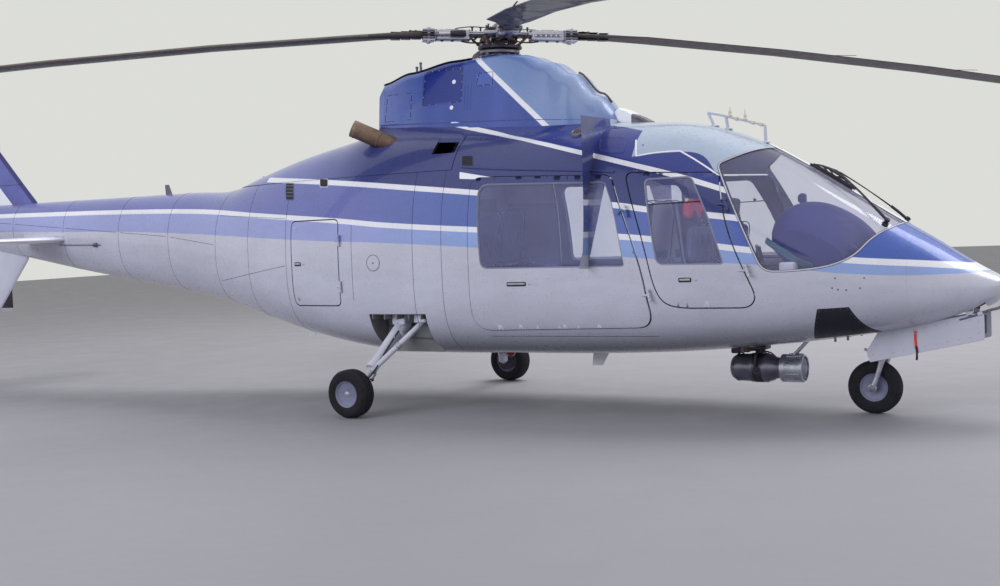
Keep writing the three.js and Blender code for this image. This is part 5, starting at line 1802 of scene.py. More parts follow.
def rotor_arm():
    """One arm: yoke plates, boxed grip, layered blade clamp, damper, horn and pitch link."""
    arm = Shape()
    for z0, z1 in ((-27, -13), (-9, 0), (3, 12)):
        rings = [
            [(x, y, z) for y, z in boxed(-wide, wide, z0, z1, 1.6)]
            for x, wide in ((70, 80), (112, 66), (180, 54), (236, 60), (262, 50))
        ]
        arm.grid(rings, caps=True, kind=0 if z0 > -10 else 3)
    for y in (-36, 36):
        for x in (128, 188):
            arm.bolt((x, y, 12), (0, 0, 1), 8, 12, 2)
            arm.bar((x, y, -27), (x, y, -42), 8, sides=14, kind=3)
    for k, (x, high) in enumerate(((104, 58), (150, 44), (214, 46))):
        arm.bar((x, 14 - 12 * k, 10), (x, 14 - 12 * k, high), 7, sides=14, kind=3)
        arm.bolt((x, 14 - 12 * k, high), (0, 0, 1), 9, 7, 2 if k == 1 else 4)
    arm.slab(231, 518, -55, 55, -55, 25, 9)
    for x0, x1 in ((231, 250), (486, 505)):
        arm.slab(x0, x1, -57.5, 57.5, -57.5, 27.5, 8, 1)
    arm.slab(262, 474, -57, 57, -30, -4, 3, 1)
    for x in (272, 312, 352, 392, 432, 464):
        for side in (-1, 1):
            arm.bolt((x, side * 57, -17), (0, side, 0), 5.5, 5, 2)
    for x in (290, 370, 450):
        arm.bolt((x, 0, 25), (0, 0, 1), 10, 9, 2)
        arm.bolt((x, 0, -55), (0, 0, -1), 10, 8, 3)
    arm.slab(318, 424, -30, 30, 24, 31, 3, 1)
    for z0, z1, kind in ((17, 29, 0), (1, 13, 1), (-25, -7, 3), (-43, -29, 1), (-61, -47, 0)):
        arm.slab(505.6, BLADE_ROOT - 0.5, -74, 74, z0, z1, 3, kind)
    arm.slab(508, 592, -56, 56, -60, 28, 4, 3)
    for y in (-50, 50):
        arm.bar((552, y, -68), (552, y, 38), 14, sides=22, kind=2)
        for z, way in ((29, 1), (-61, -1)):
            arm.bolt((552, y, z), (0, 0, way), 17, 12, 2)
        arm.bolt((524, y * 0.4, 29), (0, 0, 1), 8, 8, 2)
    arm.bar((272, 95, -8), (390, 95, -10), 23.5, sides=28, kind=3)
    arm.bar((390, 95, -10), (508, 95, -14), 13, sides=20, kind=2)
    for x in (296, 308, 320, 332, 344, 356):
        arm.bar((x, 95, -9), (x + 5, 95, -9), 25.5, sides=28, kind=3)
    arm.slab(272, 308, 30, 110, -21, 5, 5, 1)
    arm.slab(477, 513, 30, 110, -27, 1, 5, 1)
    for x, z in ((290, 5), (495, 1)):
        arm.bolt((x, 95, z), (0, 0, 1), 9, 8, 2)
    arm.slab(202, 238, -148, -52, -25, -1, 5)
    arm.bolt((219, -132, -1), (0, 0, 1), 10, 10, 3)
    low, high = np.array([130, -93, SWASHPLATE + 20.0]), np.array([216, -133, -14.0])
    arm.bar(low, high, 9, sides=18, kind=4)
    for share in (0.04, 0.3, 0.7, 0.92):
        arm.bar(low + (high - low) * share, low + (high - low) * (share + 0.1), 13, sides=18, kind=4)
    for place in (low, high):
        arm.lathe([(-11, 12), (-8, 18), (8, 18), (11, 12)], place, (0, 1, 0), 20, 4)
    arm.lathe([(-14, 12), (-12, 26), (12, 26), (14, 14)], (118, 58, -46), (0, 1, 0), 26, 4)
    arm.bar((96, 66, -20), (96, 66, 66), 6, sides=14, kind=3)
    arm.bolt((96, 66, 66), (0, 0, 1), 9, 7, 2)
    arm.tube([(96, 66, 40), (140, 72, 40), (230, 66, 44), (330, 62, 34), (352, 58, 26)], 4, 10, 3)
    arm.tube([(88, -40, -46), (150, -34, -64), (236, -24, -66), (300, -10, -57)], 6, 12, 4)
    return arm


def make_rotor_head():
    """The turning head with its four arms, and the fixed stack under the swashplate."""
    head = Shape()
    head.lathe([(MAST_FOOT + 0.5, 51), (-70, 51), (-66, 60), (-56, 62)], (0, 0, 0), UP, 48, 1)
    head.lathe([(-56, 90), (-50, 112), (-34, 118), (-28, 104), (-22, 104), (-18, 114), (-8, 114), (-4, 100),
                (16, 100), (20, 112), (34, 116), (44, 108), (48, 92)], (0, 0, 0), UP, 64, 3)
    head.lathe([(44, 70), (52, 70), (56, 62), (66, 58), (70, 46), (78, 42), (80, 30)], (0, 0, 0), UP, 48, 1)
    head.lathe([(80, 20), (96, 18), (104, 10), (106, 4)], (0, 0, 0), UP, 24, 2)
    for k, way in enumerate(spokes(12, shift=0.5)):
        head.bolt(way * 84 + UP * 47, UP, 8, 9, 2)
        head.bar(way * 88 + UP * -94, way * 88 + UP * -54, 7, sides=12, kind=3 if k % 3 else 4)
        head.bolt(way * 88 + UP * -94, -UP, 9, 8, 4)
    head.lathe([(-104, 62), (-102, 92), (-96, 96), (-90, 92), (-86, 64)], (0, 0, 0), UP, 48, 4)
    arm = rotor_arm()
    for degrees in (0, 90, 180, 270):
        head.join(arm, Matrix.Rotation(math.radians(degrees), 4, "Z"))
    ring = [(SWASHPLATE, 107), (SWASHPLATE, 164), (SWASHPLATE + 4, 171), (SWASHPLATE + 20, 171),
            (SWASHPLATE + 25, 162),
            (SWASHPLATE + 25, 114), (SWASHPLATE + 20, 107)]
    head.lathe(ring, (0, 0, 0), UP, 72, 3, closed=True)
    for way in spokes(8, shift=0.3):
        head.bolt(way * 142 + UP * (SWASHPLATE + 25), UP, 7, 8, 2)
    for degrees in (45, 225):
        link = Shape()
        link.slab(46, 124, -17, 17, SWASHPLATE + 5, SWASHPLATE + 21, 4, 1)
        link.turned_slab((66, 26, 12), (116, 0, -78), -58, "Y", 3)
        link.turned_slab((58, 26, 12), (112, 0, -44), 52, "Y", 3)
        link.bar((132, -22, -62), (132, 22, -62), 9, sides=18, kind=2)
        head.join(link, Matrix.Rotation(math.radians(degrees), 4, "Z"))
    whole = Shape().join(head, rotor_turn())
    made = whole.make("rotor_head", [BARE_METAL, DULL_METAL, BOLT_METAL, DARK_METAL, BROWN_METAL], 40)
    piece(made, "main_rotor", "bright_metal", "rotor_hub")

    fixed = Shape()
    top = SWASHPLATE - 8
    fixed.lathe([(top - 28, 62), (top - 28, 144), (top - 24, 154), (top - 6, 154), (top, 146), (top, 62)],
                (0, 0, 0), UP, 72, 1, closed=True)
    fixed.lathe([(MAST_FOOT, 62), (MAST_FOOT, 118), (-190, 118), (-182, 108), (-160, 104), (-150, 104),
                 (-150, 62)], (0, 0, 0), UP, 48, 1, closed=True)
    for way in spokes(3, shift=1 / 6):
        fixed.bar(way * 134 + UP * (top - 26), way * 134 + UP * -300, 11, sides=20, kind=2)
        fixed.bar(way * 134 + UP * (top - 60), way * 134 + UP * -215, 17, sides=20, kind=1)
        fixed.lathe([(-14, 12), (-10, 19), (10, 19), (14, 12)], way * 134 + UP * (top - 34),
                    (-way[1], way[0], 0), 20, 1)
    whole = Shape().join(fixed, rotor_turn(-ROTOR_AZIMUTH))
    made = whole.make("swashplate_stack", [BARE_METAL, DULL_METAL, BARE_METAL], 40)
    piece(made, "airframe", "dark_metal", "swashplate")


def make_blades():
    """Four blades: dark skin, steel leading edge, root doublers and the pin through each root."""
    rows = between(BLADE_SECTIONS, 10)

    def section_of_blade(reach):
        return [np.interp(reach, [r[0] for r in rows], [r[k] for r in rows]) for k in (1, 2, 3)]

    for i in range(4):
        blade = Shape()
        rings = np.array([
            foil_ring((reach, chord * 0.3, -droop), (reach, -chord * 0.7, -droop), thickness, UP)
            for reach, chord, thickness, droop in rows
        ])
        count = rings.shape[1]
        blade.grid(rings, caps=True)
        for face in range((len(rings) - 1) * count):
            row, k = divmod(face, count)
            if (k < 3 or k >= count - 3) and rings[row, 0, 0] > STEEL_EDGE_FROM:
                blade.kinds[face] = 1
        for reach, lift in ((640, 1.6), (720, 1.2), (800, 1.0)):
            chord, thickness, droop = section_of_blade(reach)
            for sign in (-1, 1):
                z = -droop + sign * (thickness / 2 + lift - 2.2)
                low, high = sorted((z, z + sign * 2.2))
                blade.slab(reach - 30, reach + 44, -chord * 0.4, chord * 0.16, low, high, 0.8, 2)
        for x in (650, 692):
            for y in (-18, 8):
                blade.bolt((x, y, 17), (0, 0, 1), 8, 7, 3)
        for reach in (2600, 3600, 4500):
            chord, _, droop = section_of_blade(reach)
            rear = -chord * 0.7
            blade.slab(reach, reach + 180, rear + 2, rear + 12, -droop - 1.6, -droop + 1.6, 0.5, 2)
        whole = Shape().join(blade, rotor_turn(90 * i))
        made = whole.make(f"blade_skin_{i + 1}", [BLADE_PAINT, BLADE_EDGE, BLADE_PAINT, DULL_METAL], 32)
        piece(made, "main_rotor", "blade_paint", f"rotor_blade_{i + 1}")


def make_tail_rotor():
    """Two blades on their hub, and the gearbox that carries them."""
    hub = np.array(TAIL_HUB, float)
    side = np.array([0, 1.0, 0])
    shape = Shape()
    shape.lathe([(-73, 48), (-60, 48), (-56, 40), (-20, 40), (-16, 46), (10, 46), (22, 34), (40, 30)],
                hub, side, 40, 2)
    shape.bar(hub - UP * 190, hub + UP * 190, 29, sides=28, kind=2)
    for way in (-1, 1):
        rows = [(150, 90, 44), (250, 200, 30), (TAIL_ROTOR_RADIUS - 40, 200, 24),
                (TAIL_ROTOR_RADIUS, 150, 14)]
        rings = []
        for reach, chord, depth in between(rows, 8):
            z = hub[2] + way * reach
            leading, trailing = ((hub[0] + way * run, hub[1], z) for run in (chord / 3, -2 * chord / 3))
            rings.append(foil_ring(leading, trailing, depth, side))
        rings = np.array(rings)
        start = len(shape.kinds)
        shape.grid(rings, caps=True)
        per_row = rings.shape[1]
        for face in range(start, start + (len(rings) - 1) * per_row):
            row = (face - start) // per_row
            reach = abs(rings[row, 0, 2] - hub[2])
            if reach > TAIL_ROTOR_RADIUS - 110 or 560 < reach < 660:
                shape.kinds[face] = 1
        for y in (-1, 1):
            shape.bolt(hub + UP * way * 175 + side * y * 26, side * y, 9, 8, 2)
        shape.tube([hub + (52, 30, way * 20), hub + (60, 20, way * 90), hub + (30, 8, way * 150)], 6, 10, 2)
    made = shape.make("tail_rotor_blades", [BLADE_PAINT, WHITE_PAINT, DULL_METAL], 32)
    piece(made, "tail_rotor", "blade_paint", "tail_rotor")
    case = Shape()
    x, _, z = TAIL_HUB
    foot = 70
    profile = [(0, 95), (40, 94), (60, 88), (66, 96), (78, 96), (84, 86), (130, 78), (150, 74),
               (180, 70), (186, 62),
               (190, 42), (256, 42), (256.7, 38)]
    case.lathe(profile, (x, foot, z), (0, 1, 0), 48)
    for way in spokes(8, "xz"):
        case.bolt((x, foot + 78, z) + way * 88, (0, 1, 0), 6, 6, 1)
    case.bar((x + 60, 170, z - 60), (x + 110, 120, z - 130), 16, sides=18)
    outline = loft(-6200, -5400, -0.3, 60, 96)
    made = carved(case, [outline], "tail_gearbox_case")
    paint_faces(made, [DARK_METAL])
    smoothed(made.data, 35)
    piece(made, "airframe", "dark_metal", "tail_gearbox")


# Wheels and landing gear
def wheel_shapes(centre, radius, half_width, rim, side):
    """A tyre with its grooves, and the rim, hub and bolts inside it, turned about the axle."""
    tyre, hub = Shape(), Shape()
    bead, swell, shoulder = rim + 1.5, half_width, half_width * 0.66
    outline = [
        (rim * 0.93, half_width * 0.62), (bead, half_width * 0.80), (rim + 7, half_width * 0.90),
        (radius * 0.66, half_width * 0.975), (radius * 0.75, swell), (radius * 0.84, half_width * 0.965),
        (radius * 0.90, half_width * 0.88), (radius * 0.945, half_width * 0.76),
        (radius * 0.975, shoulder * 0.96),
    ]
    tread = [(radius * 0.988, half_width * 0.56)]
    depth, half_groove = 6.0, 2.4
    for share in (0.46, 0.16):
        middle = half_width * share
        crown = radius - 4 * share
        tread += [(crown, middle + half_groove + 0.8), (crown - depth, middle + half_groove),
                  (crown - depth, middle - half_groove), (crown, middle - half_groove - 0.8)]
    half = outline + tread
    full = half + [(r, -y) for r, y in reversed(half)]
    tyre.lathe([(y, r) for r, y in full], centre, (0, 1, 0), 96, closed=True)
    for ring_radius in (radius * 0.70, radius * 0.87):
        for way in (-1, 1):
            y = half_width * (0.99 if ring_radius < radius * 0.8 else 0.945)
            ring = np.array(centre) + (0, way * y, 0) + ring_radius * spokes(64, "xz")
            tyre.ribbon(ring, 3, 1.2, normals=(0, way, 0), closed=True)
    for way in (-1, 1):
        w = half_width
        disc = [(0, 26), (0.30 * w, 27), (0.34 * w, 58), (0.40 * w, 66), (0.44 * w, rim * 0.80),
                (0.62 * w, rim * 0.86),
                (0.74 * w, rim * 0.93), (0.84 * w, rim + 1), (0.88 * w, rim + 6), (0.80 * w, rim + 8),
                (0.70 * w, rim * 0.95)]
        hub.lathe([(way * y, r) for y, r in disc], centre, (0, 1, 0), 72)
        cap = [(0.28 * w, 44), (0.52 * w, 42), (0.60 * w, 36), (0.62 * w, 27)]
        hub.lathe([(way * y, r) for y, r in cap], centre, (0, 1, 0), 48)
        for spoke, gap in zip(spokes(8, "xz"), spokes(8, "xz", 0.39 * 4 / math.pi)):
            hub.bolt(np.array(centre) + (0, way * 0.40 * w, 0) + spoke * 62, (0, way, 0), 6, 7, 1)
            # Small dark discs between the bolts stand for holes through the disc: painted shade.
            hole = np.array(centre) + (0, way * 0.345 * w, 0) + gap * 52
            hub.lathe([(0, 5), (0.6, 5)], hole, (0, way, 0), 16, 2)
    valve = np.array(centre) + (70, side * 0.46 * half_width, 0)
    hub.bar(valve, valve + (0, side * 16, 0), 3.2, sides=10, kind=1)
    return tyre, hub


def make_wheels():
    wheels = (
        ("main_wheel_right", (0, -HALF_TRACK, TYRE_RADIUS), 70, 92, -1),
        ("main_wheel_left", (0, HALF_TRACK, TYRE_RADIUS), 70, 92, 1),
        ("nose_wheel", (WHEELBASE, 0, TYRE_RADIUS), 48, 88, -1),
    )
    for body, centre, half_width, rim, side in wheels:
        tyre, hub = wheel_shapes(centre, TYRE_RADIUS - 0.2, half_width, rim, side)
        piece(tyre.make(f"{body}_tyre", [TYRE], 40), body, "tyre_rubber", body)
        piece(hub.make(f"{body}_rim", [RIM_PAINT, BARE_METAL, SEAM_DARK], 40), body, "bright_metal")


def make_main_legs():
    """A trailing leg with brace, axle and hose on each side, and the lining of its well."""
    for name, side in SIDES:
        leg = Shape()
        leg.bar((60, -500, 650), (60, -620, 560), 55, sides=36)
        leg.bar((60, -560, 640), (22, -920, 337), 42, 40, sides=36)
        leg.bar((26, -885, 367), (22, -920, 337), 47, sides=36)
        leg.bar((22, -920, 337), (10, -1035, 240), 31, sides=36, kind=1)
        leg.lathe([(0, 34), (6, 44), (40, 46), (58, 40), (62, 30)], (14, -1000, 269), (-12, -35, -29), 36)
        leg.bar((10, -1010, 262), (0, -1035, TYRE_RADIUS), 40, sides=32)
        leg.bar((0, -1030, TYRE_RADIUS), (0, -1195, TYRE_RADIUS), 22, sides=28, kind=1)
        leg.bolt((0, -1195, TYRE_RADIUS), (0, -1, 0), 15, 10, 1)
        leg.lathe([(0, 70), (3, 76), (11, 76), (14, 70)], (0, -1064, TYRE_RADIUS), (0, -1, 0), 48, 2)
        leg.turned_slab((84, 34, 62), (-6, -1056, 246), 0, "X", 7, 2)
        leg.bar((300, -560, 690), (25, -960, 300), 21, sides=24)
        for share in (0.06, 0.5, 0.93):
            start, way = np.array([300, -560, 690.0]), np.array([-275, -400, -390.0])
            leg.bar(start + way * (share - 0.03), start + way * (share + 0.03), 27, sides=24, kind=1)
        leg.slab(230, 340, -640, -480, 660, MAIN_WELL[5] - 0.3, 8)
        leg.slab(0, 120, -600, -460, 640, MAIN_WELL[5] - 0.3, 8)
        leg.slab(0, 320, -560, -500, 690, MAIN_WELL[5] - 0.3, 6)
        for start, end in (((52, -905, 300), (72, -985, 262)), ((72, -985, 262), (30, -1030, 222))):
            leg.bar(start, end, 9, sides=14, kind=1)
        leg.bar((60, -985, 262), (84, -985, 262), 12, sides=18, kind=2)
        hose = [(90, -640, 600), (84, -760, 500), (78, -880, 392), (74, -960, 318), (44, -1020, 262),
                (30, -1050, 250)]
        leg.tube(hose, 6, 12, 3)
        for x, y, z in ((86, -700, 552), (80, -850, 420)):
            leg.slab(x - 26, x + 10, y - 6, y + 6, z - 9, z + 9, 2, 1)
        materials = [SILVER_PAINT, BARE_METAL, DARK_METAL, SEAL_RUBBER]
        made = leg.on_side(side).make(f"main_leg_{name}", materials, 40)
        piece(made, "airframe", "body_paint", f"main_gear_leg_{name}")
        lining = Shape()
        for x in np.linspace(-110, 340, 5):
            lining.slab(x - 3, x + 3, -700, -446, 690, 729, 1)
        lining.slab(-146, 376, -446, -441, 420, 728, 1)
        for z in (520, 620):
            lining.tube([(-140, -452, z), (100, -452, z + 6), (370, -452, z)], 5, 10, 1)
        piece(lining.on_side(side).make(f"main_well_lining_{name}", [WELL_PRIMER, DULL_METAL], 40),
              "airframe", "dark_metal")


def make_nose_gear():
    """The fixed leg, and the fork that swivels in it."""
    leg = Shape()
    x = SWIVEL_X
    leg.bar((x, 0, 470), (x, 0, 740), 37, sides=36)
    for z in (474, 560, 640):
        leg.lathe([(0, 37), (2, 44), (16, 44), (18, 37)], (x, 0, z), UP, 36)
    leg.slab(x - 70, x + 70, -124, 124, 690, NOSE_WELL[5] - 0.3, 10, 1)
    leg.bar((x, -123, 722), (x, 123, 722), 26, sides=28)
    leg.bar((x + 20, 0, 560), (x + 330, 0, 740), 21, sides=24)
    for share in (0.12, 0.5, 0.86):
        place, way = np.array([x + 20, 0, 560.0]), np.array([310, 0, 180.0])
        leg.bar(place + way * (share - 0.03), place + way * (share + 0.03), 27, sides=24, kind=1)
    leg.slab(x + 260, x + 360, -60, 60, 700, NOSE_WELL[5] - 0.3, 8, 1)
    leg.tube([(x - 40, 30, 700), (x - 52, 34, 620), (x - 48, 34, 540), (x - 40, 28, 490)], 5, 10, 2)
    piece(leg.make("nose_leg", [BARE_METAL, DULL_METAL, SEAL_RUBBER], 40), "airframe", "bright_metal",
          "nose_gear_leg")

    fork = Shape()
    fork.bar((x, 0, 402), (x, 0, 469.7), 43, sides=40)
    fork.lathe([(0, 43), (3, 50), (16, 50), (19, 43)], (x, 0, 436), UP, 40, 1)
    crown = ((-90, 34, 26, 388, 414), (-60, 44, 34, 386, 418), (0, 50, 40, 385, 420), (60, 44, 34, 386, 418),
             (90, 34, 26, 388, 414))
    fork.grid([
        [(at, y, z) for at, z in boxed(x - back, x + front, low, high, 6)]
        for y, back, front, low, high in crown
    ], caps=True)
    for side in (-1, 1):
        arm = [(x - 4, side * 76, 404), (x - 22, side * 76, 350), (x - 48, side * 76, 270),
               (WHEELBASE, side * 76, 180)]
        fork.tube(arm, [20, 18, 17, 21], 22)
        fork.lathe([(0, 24), (3, 29), (19, 29), (22, 24)], (WHEELBASE, side * 64, 180), (0, side, 0), 32)
        fork.bolt((WHEELBASE, side * 96, 180), (0, side, 0), 15, 4, 1)
    fork.bar((WHEELBASE, -99, 180), (WHEELBASE, 99, 180), 22, sides=28, kind=1)
    for sign in (-1, 1):
        tow = [(x + 34, sign * 30, 402), (x + 52, sign * 30, 396), (x + 60, sign * 24, 396)]
        fork.tube(tow, 7, 12, 1)
    piece(fork.make("nose_fork_casting", [BARE_METAL, DULL_METAL], 40), "nose_fork", "bright_metal",
          "nose_gear_fork")


WELL_DOOR_FRONT = 4270
WELL_DOOR_BACK = 3605
WELL_DOOR_OUT = NOSE_WELL[3] - 0.3
WELL_DOOR_THICKNESS = 12
WELL_HINGE_HEIGHT = 34


def well_door_top(x):
    """The height of a nose well door's upper edge."""
    return 567 + (x - WELL_DOOR_BACK) * 0.184


def make_well_doors():
    back, front = WELL_DOOR_BACK, WELL_DOOR_FRONT
    outer, inner = WELL_DOOR_OUT, WELL_DOOR_OUT - WELL_DOOR_THICKNESS
    corners = [(back, well_door_top(back), 15), (front, well_door_top(front), 20), (front, 512, 15),
               (3540, 357, 12), (3520, 432, 15)]
    for name, side in SIDES:
        shape = Shape()
        rings = []
        for by, y in ((-3, outer), (-1, outer - 0.8), (0, outer - 3), (0, inner + 2), (-2, inner)):
            flat = rounded(corners, by, 8, 30)
            rings.append(upright(flat, side * y))
        shape.grid(rings)
        for ring in (rings[0], rings[-1]):
            shape.add(ring, [tuple(range(len(ring)))])
        pressed = rounded(corners, -34, 8, 30)
        shape.ribbon(upright(pressed, side * inner), 14, 5, normals=(0, -side, 0), closed=True, kind=1)
        for x in (3640, 4180):
            y0, y1 = sorted((side * inner, side * outer))
            shape.slab(x - 20, x + 20, y0, y1, well_door_top(x) - 10, well_door_top(x) + WELL_HINGE_HEIGHT, 2)
            pin = [(x + run, side * (inner + 6), well_door_top(x) + 28) for run in (-22, 22)]
            shape.bar(*pin, 8, sides=18, kind=1)
        edge = upright(pressed, side * outer)
        heads = spaced(np.vstack([edge, edge[:1]]), 70)
        shape.dots(heads, (0, side, 0), 3.2, 0.9, kind=1)
        shape.bar((3504, side * (outer - 14), 444), (3540, side * (outer - 14), 430), 9, sides=18, kind=2)
        rod = [(3560, side * (inner - 4), 470), (3606, side * 72, 590), (3614, side * 46, 690)]
        shape.tube(rod, 7, 14, 2)
        made = shape.make(f"well_door_{name}", [SILVER_PAINT, DULL_METAL, BARE_METAL], 35)
        piece(made, "airframe", "body_paint", f"nose_gear_door_{name}")


# Search light under the cockpit
LIGHT_X = 2740
LIGHT_HEIGHT = 295


def make_search_light():
    x, z = LIGHT_X, LIGHT_HEIGHT
    axis = np.array([1.0, 0, 0])
    light = Shape()
    body = [(-205, 40), (-203, 62), (-196, 74), (-182, 86), (-166, 94), (-160, 98), (-152, 98),
            (-146, 95), (-60, 99),
            (-54, 103), (-46, 103), (-40, 99), (40, 101), (46, 104), (58, 104), (64, 98), (100, 88),
            (120, 76), (160, 70),
            (165, 60)]
    light.lathe(body, (x, 0, z), axis, 64)
    for distance in np.linspace(-28, 28, 6):
        light.lathe([(distance - 2, 98), (distance - 1.5, 104), (distance + 1.5, 104), (distance + 2, 98)],
                    (x, 0, z), axis, 64, 1)
    housing = [(150, 60), (156, 88), (164, 97), (190, 98), (196, 95), (202, 98), (290, 98), (312, 98),
               (320, 92), (320, 84),
               (300, 82), (215, 74), (180, 40), (176, 20)]
    light.lathe(housing, (x, 0, z), axis, 64, 2)
    for way in spokes(9, "yz"):
        light.bar((x + 205, 0, z) + way * 99, (x + 305, 0, z) + way * 99, 4, sides=10, kind=2)
    light.lathe([(0, 14), (60, 12), (70, 6)], (x + 190, 0, z), axis, 24, 3)
    for way in spokes(3, "yz", 0.75 / math.pi):
        light.bar((x + 250, 0, z) + way * 8, (x + 262, 0, z) + way * 82, 3, sides=10, kind=1)
    yoke = [(x, -106, z), (x, -108, z + 60), (x, -88, z + 104), (x, 0, z + 116), (x, 88, z + 104),
            (x, 108, z + 60), (x, 106, z)]
    light.tube(yoke, 10, 14, 1)
    for side in (-1, 1):
        light.lathe([(-6, 20), (10, 20), (14, 15)], (x, side * 98, z), (0, side, 0), 28, 1)
    light.bar((x, 0, z + 100), (x, 0, 440), 22, sides=28, kind=1)
    light.lathe([(0, 32), (10, 34), (24, 34), (30, 26)], (x, 0, z + 108), UP, 32, 1)
    light.slab(x - 60, x + 60, -60, 60, 425, 451.7, 5, 1)
    light.slab(x - 200, x - 132, -44, 30, 396, 450, 6, 1)
    light.slab(x - 112, x - 70, -40, 26, 404, 450, 6, 3)
    light.tube([(x - 165, 0, 400), (x - 150, 10, z + 112), (x - 120, 0, z + 96)], 6, 12, 3)
    light.tube([(x - 80, 10, 410), (x - 40, 20, z + 118), (x + 60, 14, z + 108), (x + 110, 0, z + 80)], 5,
               12, 3)
    start, end = np.array([x + 238, 0, z + 84.0]), np.array([x + 345, 0, 486.0])
    for side in (-1, 1):
        light.bar(start + (0, side * 22, 0), end + (0, side * 16, 0), 10, sides=16, kind=2)
    slope = math.degrees(math.atan2(-(end - start)[2], (end - start)[0]))
    light.turned_slab((128, 46, 5), (start + end) / 2, slope, "Y", 2, 2)
    belly = loft(2300, 3300, -0.3, 60, 128)
    made = carved(light, [belly], "light_body")
    kinds = [face.material_index for face in made.data.polygons]
    paint_faces(made, [DARK_CHROME, DARK_METAL, BARE_METAL, BROWN_METAL], lambda centres, normals: kinds)
    smoothed(made.data, 38)
    piece(made, "airframe", "dark_metal", "search_light")
    lens = Shape().lathe([(0, 20), (0, 83), (3, 84), (8, 80), (14, 60), (17, 30), (18, 4)],
                         (x + 302, 0, z), axis, 56)
    piece(lens.make("light_lens", [GLASS], 40), "airframe", "clear_glass")


make_rotor_head()
make_blades()
make_tail_rotor()
make_wheels()
make_main_legs()
make_nose_gear()
make_well_doors()
make_search_light()


# Inside: padded seats, instrument panel and controls
SEAT_FABRIC = worn("seat_cloth", srgb(104, 102, 128), 0.9, tone=0.14, tone_scale=12, grain=0.0012,
                   grain_scale=900)
RED_FABRIC = worn("red_cloth", srgb(228, 66, 48), 0.85, tone=0.12, grain=0.0012, grain_scale=900)
DARK_RED_FABRIC = worn("dark_red_cloth", srgb(74, 34, 44), 0.85, tone=0.12, grain=0.0012, grain_scale=900)
PIPING = worn("seat_piping", srgb(70, 68, 88), 0.8, grain=0.0006, grain_scale=900)
SEAT_SHELL = worn("seat_shell", srgb(76, 74, 86), 0.6, tone=0.1)
WEBBING = worn("belt_webbing", srgb(58, 58, 66), 0.85, grain=0.001, grain_scale=1200)
PANEL_PLASTIC = worn("panel_plastic", srgb(30, 32, 106), 0.7, tone=0.12, grain=0.0003, grain_scale=900)
DIAL_FACE = worn("dial_face", srgb(22, 22, 30), 0.25, grain=0)
DIAL_WHITE = worn("dial_marks", srgb(214, 214, 220), 0.5, grain=0)
TEAL_TRIM = worn("teal_trim", srgb(62, 110, 122), 0.6, tone=0.12)
PALE_TRIM = worn("pale_trim", srgb(214, 216, 224), 0.6, tone=0.06)
CUSHION_VOXEL = 0.008
CUSHION_SWELL = 0.014
CLOTH_STEPS = 20


def cushion_blank(width, depth, height, crown):
    """A closed pillow: a rounded square in plan, crowned above and below, its sides drawn in at mid-edge."""
    rings = []
    power = 5.0
    across, along = np.cos(angles_of(44)), np.sin(angles_of(44))
    for tilt in np.linspace(-math.pi / 2 + 0.03, math.pi / 2 - 0.03, 26):
        reach = abs(math.cos(tilt)) ** (2 / 4.5)
        rise = math.copysign(abs(math.sin(tilt)) ** (2 / 3.2), math.sin(tilt))
        x = np.sign(across) * np.abs(across) ** (2 / power)
        y = np.sign(along) * np.abs(along) ** (2 / power)
        waist = 1 - 0.035 * (1 - np.minimum(np.abs(x), np.abs(y)) ** 2)
        bulge = 1 + crown * (1 - (x * reach) ** 2) * (1 - (y * reach) ** 2)
        rings.append(np.stack(
            [x * reach * waist * width / 2, y * reach * waist * depth / 2, rise * bulge * height / 2], 1,
        ))
    return Shape().grid(rings, caps=True)


def applied(made):
    """Turns a mesh's modifiers into its own shape."""
    shaped = made.evaluated_get(bpy.context.evaluated_depsgraph_get())
    mesh = bpy.data.meshes.new_from_object(shaped)
    made.modifiers.clear()
    old = made.data
    made.data = mesh
    bpy.data.meshes.remove(old)


def plumped(made):
    """Lets cloth under pressure swell a cushion, and keeps each point near where it was."""
    scene = bpy.context.scene
    remesh = made.modifiers.new("remesh", "REMESH")
    remesh.mode = "VOXEL"
    remesh.voxel_size = CUSHION_VOXEL
    applied(made)
    cloth = made.modifiers.new("cloth", "CLOTH")
    cloth.settings.use_pressure = True
    cloth.settings.uniform_pressure_force = 4.0
    cloth.settings.mass = 0.3
    cloth.settings.effector_weights.gravity = 0.0
    cloth.point_cache.frame_start = 1
    cloth.point_cache.frame_end = CLOTH_STEPS
    start = coordinates(made.data)
    for step in range(1, CLOTH_STEPS + 1):
        scene.frame_set(step)
    swollen = made.evaluated_get(bpy.context.evaluated_depsgraph_get())
    move = coordinates(swollen.data) - start
    made.modifiers.clear()
    length = np.linalg.norm(move, axis=1, keepdims=True)
    move *= np.minimum(1.0, CUSHION_SWELL / np.maximum(length, 1e-9))
    made.data.vertices.foreach_set("co", (start + move).ravel())
    scene.frame_set(1)


def sewn(made, seams, depth, spread, flat_below):
    """Presses sewn channels into the top, and flattens the underside where it rests."""
    places = coordinates(made.data) / MM
    for axis, value in seams:
        near = np.exp(-((places[:, axis] - value) / spread) ** 2)
        upper = np.clip(places[:, 2] / 30, 0, 1)
        places[:, 2] -= depth * near * upper
    wrinkle = np.sin(places[:, 0] * 0.071 + 1.3) * np.sin(places[:, 1] * 0.093)
    places[:, 2] += wrinkle * np.clip(places[:, 2] / 30, 0, 1) * 1.3
    places[:, 2] = np.maximum(places[:, 2], flat_below)
    made.data.vertices.foreach_set("co", (places * MM).ravel())
    made.data.update()


